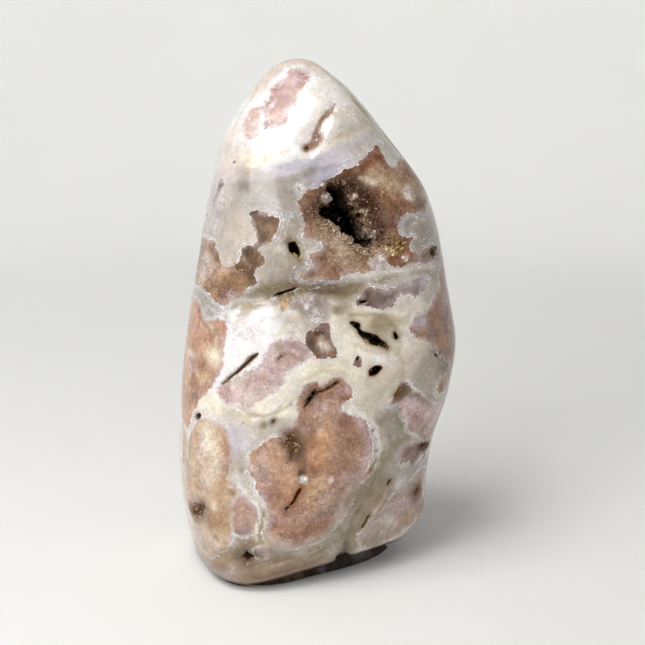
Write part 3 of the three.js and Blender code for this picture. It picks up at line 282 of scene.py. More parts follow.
# outlines of the patches as (degrees round the axis, height)
PATCHES = [
    ('tip_rose', 'rose', [(225.3, 159.5), (252.1, 159.8), (283.1, 159.4), (297.2, 158.4), (302.7, 157.3), (287.7, 156.4), (277.9, 154.6), (268.8, 154.0), (262.8, 152.6), (260.8, 150.2), (253.5, 148.5), (252.7, 145.8), (250.1, 144.0), (246.1, 143.3), (237.3, 142.7), (232.2, 141.8), (230.0, 144.5), (225.3, 146.7), (219.0, 148.4), (217.3, 149.9), (220.5, 150.8), (219.1, 152.6), (214.3, 153.8), (215.1, 155.2), (220.2, 156.8), (228.0, 157.8), (235.3, 158.4)]),
    ('tip_lobe', 'peachrose', [(206.5, 146.6), (214.6, 148.0), (220.6, 146.1), (224.2, 142.8), (228.1, 141.2), (232.0, 141.1), (232.3, 139.7), (227.6, 139.1), (223.1, 137.5), (219.0, 139.0), (214.0, 141.0), (209.7, 143.1), (209.4, 145.1)]),
    ('druse', 'honey', [(332.7, 134.7), (332.0, 135.4), (329.0, 135.3), (323.9, 134.0), (320.0, 133.3), (313.9, 132.4), (308.8, 131.1), (305.3, 129.8), (300.1, 129.6), (294.7, 129.1), (289.8, 128.0), (286.4, 126.8), (280.0, 125.6), (273.5, 124.4), (266.8, 123.7), (263.3, 122.7), (259.2, 121.7), (257.2, 119.4), (258.4, 117.8), (260.2, 115.6), (260.7, 113.0), (259.7, 109.8), (264.0, 109.5), (268.1, 109.2), (271.5, 107.9), (270.2, 106.3), (266.5, 105.7), (263.6, 104.6), (265.5, 102.8), (267.8, 101.5), (264.5, 100.7), (260.6, 99.9), (258.3, 98.9), (260.2, 97.9), (263.5, 97.3), (269.5, 97.4), (274.9, 97.2), (279.5, 97.3), (282.8, 97.6), (284.7, 98.6), (288.7, 99.5), (294.0, 99.2), (300.5, 99.3), (304.6, 100.1), (305.9, 101.7), (310.0, 102.3), (312.8, 101.4), (314.7, 100.0), (320.7, 100.3), (326.0, 100.6), (330.8, 100.6), (337.2, 99.7), (343.3, 100.3), (346.9, 102.7), (346.0, 104.5), (340.4, 105.1), (335.6, 104.5), (330.5, 103.6), (327.2, 103.7), (325.9, 105.3), (325.8, 107.0), (328.2, 108.1), (325.6, 108.6), (321.0, 108.9), (319.8, 110.7), (319.2, 111.3), (320.6, 113.8), (325.7, 115.5), (329.1, 116.0), (331.1, 115.2), (338.4, 114.7), (340.2, 114.2), (352.0, 118.0), (2.0, 122.0), (8.0, 131.0), (4.0, 138.0), (352.0, 139.0), (354.4, 130.7), (345.0, 130.8), (341.2, 129.6), (334.5, 128.7), (331.8, 128.8), (330.3, 129.8), (330.8, 131.5), (331.2, 132.9)]),
    ('left_arm', 'tan', [(228.7, 116.6), (233.3, 117.0), (237.0, 117.3), (238.7, 116.3), (241.4, 115.7), (245.4, 115.5), (246.4, 113.7), (244.4, 111.3), (242.1, 109.6), (241.9, 108.3), (238.7, 107.4), (235.0, 106.8), (236.0, 105.5), (238.7, 104.3), (239.9, 102.7), (238.6, 101.5), (235.3, 100.4), (233.9, 98.8), (234.5, 98.5), (236.0, 97.0), (234.2, 95.5), (230.5, 94.5), (228.3, 92.9), (225.0, 91.2), (221.7, 89.8), (220.1, 88.9), (217.2, 89.4), (213.6, 89.9), (209.9, 91.3), (204.8, 92.2), (197.6, 92.6), (196.0, 92.0), (186.0, 92.0), (181.0, 99.0), (184.0, 107.0), (192.0, 112.0), (186.8, 106.4), (197.5, 106.7), (202.6, 106.7), (206.4, 106.6), (207.6, 105.2), (210.1, 104.2), (212.0, 102.9), (213.1, 101.6), (215.2, 100.5), (218.6, 100.2), (222.6, 101.2), (225.2, 102.7), (225.6, 104.2), (225.1, 105.5), (226.8, 106.4), (229.1, 107.0), (233.2, 107.8), (234.1, 109.8), (231.8, 111.7), (230.4, 114.0), (229.2, 115.3)]),
    ('left_salmon', 'salmon', [(195.8, 88.1), (202.0, 86.6), (206.1, 85.0), (210.3, 83.4), (213.4, 83.2), (215.8, 84.3), (218.7, 84.4), (222.1, 83.9), (223.3, 81.9), (223.4, 79.5), (222.7, 77.0), (222.6, 74.0), (223.0, 71.0), (221.6, 67.8), (219.9, 65.2), (218.0, 63.0), (216.0, 61.2), (213.7, 59.5), (213.1, 56.9), (211.1, 55.2), (209.6, 52.0), (207.0, 48.7), (196.0, 50.0), (186.0, 52.0), (176.0, 60.0), (171.0, 70.0), (174.0, 82.0), (181.0, 88.0), (190.0, 86.0), (196.0, 88.0)]),
    ('left_peach', 'peach', [(214.5, 52.0), (216.8, 53.1), (221.0, 53.8), (224.9, 53.4), (229.1, 52.2), (232.9, 47.2), (234.1, 44.5), (234.9, 41.4), (234.8, 38.3), (234.0, 36.8), (238.9, 34.4), (240.3, 32.4), (237.4, 30.8), (236.8, 28.9), (237.7, 26.5), (236.6, 23.9), (236.8, 19.9), (234.7, 15.4), (227.6, 11.3), (219.9, 7.5), (208.7, 8.2), (199.1, 8.8), (214.0, 14.0), (203.0, 22.0), (194.0, 32.0), (190.0, 44.0), (196.0, 50.0), (210.0, 45.4), (211.3, 49.0)]),
    ('foot_cell', 'pinkgrey', [(237.4, 30.8), (241.4, 31.8), (243.8, 30.5), (247.4, 28.7), (248.8, 25.9), (247.7, 22.5), (244.9, 19.8), (239.7, 19.5), (237.6, 22.4), (238.3, 25.7), (237.0, 28.6)]),
    ('oval', 'oval', [(259.1, 60.7), (260.8, 65.3), (263.0, 66.8), (268.2, 67.1), (270.2, 65.3), (272.9, 65.6), (275.3, 67.2), (279.5, 67.6), (283.9, 66.9), (287.8, 64.7), (289.0, 63.1), (287.9, 61.2), (284.5, 60.4), (282.9, 59.1), (285.7, 57.0), (289.5, 56.1), (293.5, 55.4), (297.8, 54.3), (300.6, 52.5), (303.2, 49.9), (306.3, 45.6), (308.0, 42.2), (308.3, 38.9), (308.5, 35.9), (304.2, 34.8), (300.0, 33.2), (297.7, 30.1), (294.1, 26.7), (290.1, 23.0), (284.2, 19.4), (277.9, 17.2), (270.3, 15.6), (261.9, 15.5), (255.9, 17.1), (252.6, 19.3), (253.3, 22.6), (254.4, 25.8), (253.2, 28.0), (250.5, 31.6), (246.7, 34.6), (246.7, 37.0), (242.3, 40.0), (242.9, 42.4), (241.8, 44.8), (245.0, 46.8), (247.7, 48.9), (251.2, 50.4), (254.9, 51.0), (254.6, 52.5), (257.0, 53.8), (259.4, 55.6), (260.8, 57.7)]),
    ('mauve_band', 'lilac', [(244.5, 78.8), (247.3, 79.7), (253.7, 80.3), (256.7, 80.0), (260.8, 78.8), (263.3, 77.0), (263.7, 75.2), (260.6, 73.8), (256.6, 72.7), (253.3, 70.6), (250.6, 69.4), (250.9, 67.9), (248.6, 65.1), (244.9, 63.5), (240.9, 61.6), (237.9, 59.6), (235.1, 58.5), (232.8, 60.5), (230.3, 60.0), (226.5, 60.7), (223.4, 61.9), (222.6, 64.2), (227.4, 67.1), (230.8, 68.6), (234.2, 70.0), (239.8, 72.1), (241.0, 74.2), (242.7, 76.9)]),
    ('centre_brown', 'umber', [(261.5, 81.7), (266.4, 82.9), (269.8, 84.3), (272.7, 84.8), (275.2, 84.8), (275.5, 80.9), (276.7, 78.5), (278.7, 76.3), (278.6, 74.5), (273.5, 74.7), (270.1, 74.2), (266.9, 74.6), (264.3, 77.0), (262.4, 78.8)]),
    ('purple', 'purple', [(291.8, 90.2), (292.6, 91.3), (296.0, 92.4), (296.6, 93.6), (299.7, 94.7), (302.8, 94.5), (305.5, 93.9), (308.3, 93.7), (312.8, 94.1), (317.3, 94.4), (321.8, 95.0), (325.5, 95.7), (329.7, 95.6), (334.1, 94.8), (330.7, 92.7), (328.1, 91.8), (324.9, 90.2), (323.4, 91.3), (321.3, 92.0), (316.4, 92.0), (314.0, 90.1), (312.2, 88.9), (309.9, 88.1), (303.8, 88.4), (298.8, 89.2), (293.9, 89.6)]),
    ('right_edge', 'mauvebrown', [(343.1, 94.7), (342.1, 92.0), (336.5, 89.0), (332.6, 86.7), (329.9, 85.2), (324.1, 84.5), (322.2, 82.5), (319.9, 81.4), (322.3, 79.4), (324.9, 77.9), (328.3, 77.6), (331.8, 75.9), (334.8, 73.3), (338.1, 71.5), (342.2, 69.6), (346.7, 66.1), (349.0, 61.3), (343.7, 58.5), (350.0, 62.0), (2.0, 66.0), (9.0, 76.0), (7.0, 90.0), (0.0, 99.0), (352.0, 101.0)]),
    ('right_low', 'pinkmauve', [(311.5, 58.0), (313.0, 60.4), (314.6, 61.7), (314.1, 64.1), (315.6, 64.6), (319.0, 64.3), (321.2, 62.6), (324.5, 60.8), (327.7, 59.8), (331.5, 57.4), (336.3, 54.9), (340.8, 53.8), (349.0, 55.0), (356.0, 50.0), (354.0, 43.0), (348.0, 40.0), (345.8, 40.8), (341.3, 42.2), (334.1, 45.4), (328.9, 47.2), (325.4, 48.2), (324.5, 51.8), (320.1, 53.6), (317.6, 56.6), (315.4, 58.2)]),
    ('right_mauve', 'mauve', [(323.9, 42.1), (325.8, 43.2), (328.7, 43.4), (334.4, 43.4), (340.3, 42.2), (352.4, 39.2), (346.0, 38.0), (343.0, 34.0), (347.2, 36.4), (340.5, 36.9), (337.8, 35.8), (334.6, 34.8), (331.8, 37.4), (326.8, 36.9), (324.9, 39.9)]),
    ('corner_lobe', 'lobe', [(313.6, 10.4), (309.7, 13.7), (311.4, 16.4), (314.8, 18.9), (319.3, 20.8), (323.1, 23.3), (325.8, 25.9), (331.5, 27.5), (337.9, 28.6), (341.7, 30.8), (349.9, 29.9), (348.0, 22.0), (354.0, 16.0), (350.0, 11.0), (344.3, 15.1), (340.2, 13.0), (334.1, 11.4), (327.7, 10.0), (321.7, 9.1)]),
    ('small_right_brown', 'tan', [(338.5, 58.9), (337.9, 60.9), (339.8, 62.5), (343.4, 64.5), (347.2, 61.7), (345.0, 59.5), (343.3, 57.6)]),
    ('pin_brown', 'umber', [(288.6, 73.0), (289.5, 74.1), (291.6, 74.2), (292.9, 72.8), (292.3, 71.3), (289.4, 71.4)]),
    ('limb_cells', 'speck', [(201.4, 118.2), (201.6, 120.3), (203.5, 122.2), (203.6, 124.5), (206.8, 125.0), (208.7, 123.3), (206.5, 121.8), (204.2, 120.1), (203.4, 118.3)]),
    ('foot_pink', 'mauve', [(247.9, 13.7), (251.0, 14.7), (255.4, 14.0), (254.3, 12.5), (249.6, 11.9)]),
    ('groove_speck', 'purple', [(213.4, 130.3), (215.5, 131.4), (217.0, 131.2), (215.3, 130.1)]),
    ('slit_crystal', 'honeyolive', [(246.4, 92.6), (249.6, 93.2), (252.8, 93.5), (255.6, 94.1), (255.7, 92.8), (254.1, 91.4), (253.1, 90.0), (250.6, 88.8), (248.5, 89.1), (248.3, 90.8), (245.9, 91.9)]),
    ('back_rose', 'rose', [(118.9, 135.0), (113.5, 136.2), (108.9, 137.0), (105.2, 138.1), (100.1, 137.1), (96.2, 136.6), (91.6, 136.7), (87.2, 135.7), (82.8, 134.2), (82.5, 131.9), (83.6, 130.1), (80.3, 127.6), (80.9, 125.2), (85.1, 123.9), (90.0, 123.2), (95.6, 124.1), (100.0, 124.7), (103.6, 126.0), (104.9, 128.0), (109.7, 128.5), (116.1, 129.9), (119.1, 132.4)]),
    ('back_honey', 'honey', [(76.0, 100.3), (74.9, 104.4), (74.2, 107.9), (72.7, 111.0), (70.8, 113.9), (69.1, 118.4), (64.0, 117.9), (59.3, 115.2), (54.7, 115.5), (49.5, 114.0), (44.0, 111.1), (41.3, 106.1), (43.6, 101.4), (44.2, 97.5), (46.8, 94.7), (51.8, 94.7), (53.8, 92.6), (56.4, 89.7), (60.9, 86.4), (67.4, 85.8), (71.2, 91.3), (73.4, 96.2)]),
    ('back_salmon', 'salmon', [(131.7, 101.0), (128.5, 103.4), (127.0, 107.7), (121.9, 109.3), (116.7, 108.8), (112.1, 108.4), (107.6, 107.4), (100.5, 107.6), (96.2, 104.5), (98.4, 99.7), (99.7, 95.8), (103.2, 92.7), (108.1, 90.9), (111.5, 89.3), (115.2, 88.3), (119.4, 84.4), (126.4, 80.8), (131.6, 83.3), (134.5, 87.1), (135.7, 90.9), (134.9, 94.7), (135.2, 98.1)]),
    ('back_peach', 'peach', [(97.0, 51.4), (97.9, 55.1), (94.4, 58.4), (89.2, 60.7), (88.3, 65.6), (82.7, 69.6), (74.3, 69.6), (66.6, 68.4), (62.0, 64.8), (58.7, 61.8), (56.3, 59.0), (58.4, 55.7), (54.5, 53.1), (48.9, 48.5), (51.3, 44.0), (57.6, 40.7), (66.6, 40.8), (73.8, 41.7), (80.7, 40.9), (85.6, 43.6), (88.9, 46.4), (94.6, 48.2)]),
    ('back_oval', 'oval', [(143.0, 54.5), (143.3, 59.4), (141.4, 65.1), (136.5, 70.1), (129.6, 72.4), (123.7, 68.7), (119.2, 66.5), (115.5, 64.1), (116.0, 59.2), (113.6, 56.7), (109.4, 53.6), (106.6, 48.4), (106.9, 41.8), (114.4, 38.7), (121.4, 37.9), (126.7, 35.2), (132.1, 36.1), (136.7, 37.6), (140.8, 39.5), (143.5, 42.7), (148.1, 45.5), (147.4, 50.4)]),
    ('back_lilac', 'lilac', [(51.2, 67.7), (50.9, 72.3), (45.7, 74.4), (41.7, 75.8), (38.0, 76.4), (34.9, 75.0), (32.2, 74.7), (29.6, 73.9), (25.4, 73.9), (19.8, 72.9), (20.0, 68.5), (22.5, 64.5), (24.6, 61.2), (27.7, 58.8), (30.3, 56.1), (33.9, 55.4), (37.3, 56.0), (41.1, 54.4), (44.2, 55.8), (45.3, 59.0), (47.1, 61.3), (48.6, 64.1)]),
    ('back_foot', 'pinkgrey', [(135.6, 19.0), (128.4, 20.4), (121.3, 21.3), (116.5, 22.3), (108.7, 22.0), (103.0, 22.9), (93.6, 24.8), (82.5, 24.0), (74.0, 22.0), (71.2, 19.4), (71.6, 17.3), (66.8, 15.2), (70.0, 13.4), (77.3, 12.5), (80.8, 10.9), (88.2, 10.2), (96.6, 10.2), (105.0, 10.9), (111.7, 12.3), (123.5, 12.5), (136.0, 14.0), (137.6, 16.6)]),
    ('side_tan', 'tan', [(36.1, 122.0), (33.9, 123.4), (33.3, 124.9), (33.3, 127.2), (31.5, 129.3), (28.1, 131.0), (24.1, 129.9), (21.5, 128.0), (18.2, 127.5), (16.2, 125.8), (15.5, 123.9), (15.0, 122.0), (16.2, 120.2), (16.6, 118.3), (18.8, 116.9), (22.2, 117.0), (24.4, 115.4), (27.9, 113.7), (32.1, 113.8), (35.6, 115.3), (35.7, 118.2), (35.5, 120.3)]),
    ('side_rose', 'pinkmauve', [(41.1, 40.5), (41.2, 43.5), (40.8, 47.9), (35.7, 49.1), (30.7, 48.0), (26.5, 47.9), (22.8, 46.7), (19.1, 45.5), (16.9, 43.1), (17.8, 40.1), (16.2, 37.7), (16.9, 35.0), (20.6, 33.4), (22.6, 31.2), (25.3, 28.8), (29.2, 25.9), (34.8, 24.6), (38.2, 28.0), (40.0, 31.1), (41.7, 33.4), (40.8, 36.1), (41.1, 38.2)]),
    ('left_rose', 'rose', [(173.4, 117.7), (171.0, 120.4), (167.6, 122.2), (163.9, 123.0), (161.1, 125.2), (157.3, 125.6), (154.2, 123.7), (151.0, 123.1), (148.6, 121.4), (147.5, 119.2), (146.7, 117.0), (147.3, 114.8), (145.6, 111.8), (145.4, 107.8), (150.1, 106.5), (154.8, 106.5), (158.6, 107.6), (161.3, 109.2), (164.2, 109.8), (165.7, 111.6), (168.0, 113.0), (172.8, 114.6)]),
    ('left_low', 'salmon', [(170.9, 22.6), (172.8, 25.3), (172.5, 28.4), (169.3, 30.4), (166.2, 32.1), (162.2, 32.4), (158.7, 33.0), (154.9, 32.9), (152.4, 30.7), (148.1, 30.3), (142.2, 29.3), (139.6, 26.0), (139.8, 22.4), (144.5, 19.9), (148.7, 18.7), (150.7, 16.8), (154.4, 16.8), (157.4, 16.3), (161.3, 14.4), (166.1, 14.4), (170.9, 15.8), (172.3, 19.2)]),
    ('back_top', 'peachrose', [(76.3, 147.0), (75.8, 148.1), (73.0, 148.6), (71.6, 149.4), (69.7, 150.0), (67.1, 149.8), (64.8, 150.0), (61.9, 150.3), (58.2, 150.3), (54.8, 149.6), (55.5, 148.1), (57.3, 147.0), (57.9, 146.1), (59.8, 145.5), (61.1, 144.9), (62.5, 144.2), (64.7, 143.6), (67.7, 142.7), (70.8, 143.2), (72.1, 144.4), (74.1, 145.1), (75.4, 146.0)]),
    ('right_low_b', 'lobe', [(24.1, 17.0), (23.7, 19.0), (21.8, 20.6), (20.3, 22.3), (18.1, 23.4), (15.7, 25.7), (11.8, 28.0), (8.1, 26.3), (6.3, 23.4), (5.4, 21.0), (5.7, 18.8), (4.7, 17.0), (5.2, 15.1), (6.1, 13.3), (5.7, 10.1), (8.4, 8.2), (12.3, 8.4), (15.6, 8.9), (18.4, 10.1), (21.9, 10.4), (24.8, 12.0), (24.0, 14.9)]),
    ('left_mid', 'lilac', [(159.4, 82.2), (157.1, 83.5), (156.1, 85.8), (154.5, 89.2), (150.5, 90.4), (146.5, 89.7), (144.2, 87.2), (143.4, 84.6), (141.2, 83.6), (140.9, 81.7), (141.1, 79.9), (139.5, 77.6), (140.1, 75.1), (142.4, 72.9), (146.1, 72.0), (149.6, 72.9), (152.9, 71.9), (156.7, 71.8), (158.7, 73.9), (160.0, 76.0), (159.7, 78.2), (159.4, 80.1)]),
    ('back_speck', 'speck', [(99.0, 79.3), (98.8, 80.8), (97.3, 82.1), (93.5, 81.3), (90.5, 79.8), (88.3, 79.4), (86.5, 78.5), (84.9, 77.5), (82.9, 76.6), (81.5, 75.4), (79.6, 73.8), (80.3, 72.5), (83.3, 72.4), (84.8, 71.6), (86.7, 71.0), (89.4, 71.1), (92.2, 71.7), (93.8, 73.3), (95.3, 74.4), (97.1, 75.4), (96.9, 76.5), (97.6, 77.6)]),
    ('back_low', 'purple', [(71.1, 21.8), (66.8, 23.1), (63.7, 24.0), (60.5, 24.3), (58.1, 25.1), (55.1, 25.3), (52.1, 24.8), (47.6, 25.3), (43.8, 24.2), (43.1, 22.1), (42.4, 20.3), (42.7, 18.6), (42.1, 16.7), (43.3, 14.7), (48.2, 14.8), (51.8, 14.9), (54.9, 14.7), (57.7, 15.5), (60.7, 15.9), (63.7, 16.7), (67.6, 17.8), (72.5, 19.5)]),
]
# places where a border is soft or loses its white line: degrees, height, reach, softness, white line
EDGES = [
    (291.8, 28.9, 8.36, 2.4, 0.0),
    (279.3, 19.9, 8.36, 2.6, 0.0),
    (259.2, 17.0, 6.43, 2.0, 0.1),
    (234.7, 49.1, 3.86, 1.2, 0.2),
    (234.1, 39.8, 3.86, 1.0, 0.3),
    (314.0, 19.7, 6.43, 0.9, 0.3),
    (260.7, 60.3, 3.86, 0.6, 0.4),
    (215.2, 49.9, 3.86, 0.9, 0.3),
    (243.6, 70.4, 6.43, 0.7, 0.5),
    (226.0, 62.4, 4.5, 1.0, 0.6),
    (283.6, 78.0, 3.22, 0.3, 0.3),
    (225.2, 13.1, 5.14, 1.2, 0.2),
    (305.3, 46.6, 4.5, 0.15, 1.5),
    (338.4, 78.8, 4.5, 0.6, 0.3),
    (318.8, 90.1, 3.86, 0.3, 0.9),
    (263.0, 24.3, 4.5, 1.4, 0.2),
    (325.2, 84.1, 3.86, 1.6, 0.5),
    (327.9, 78.8, 3.22, 1.3, 0.5),
    (323.5, 94.6, 3.22, 1.2, 0.6),
    (238.6, 90.8, 2.57, 0.5, 0.8),
    (222.5, 90.7, 3.86, 0.9, 0.4),
    (205.5, 107.2, 2.57, 0.8, 0.6),
    (318.8, 59.8, 2.25, 1.0, 0.3),
    (290.6, 72.9, 1.93, 0.8, 0.3),
    (242.9, 60.7, 3.22, 0.6, 0.6),
    (344.8, 14.7, 3.86, 0.8, 0.3),
    (207.5, 123.8, 2.57, 0.9, 0.3),
    (250.4, 13.2, 2.25, 0.9, 0.3),
    (216.3, 142.6, 2.57, 0.8, 0.6),
]
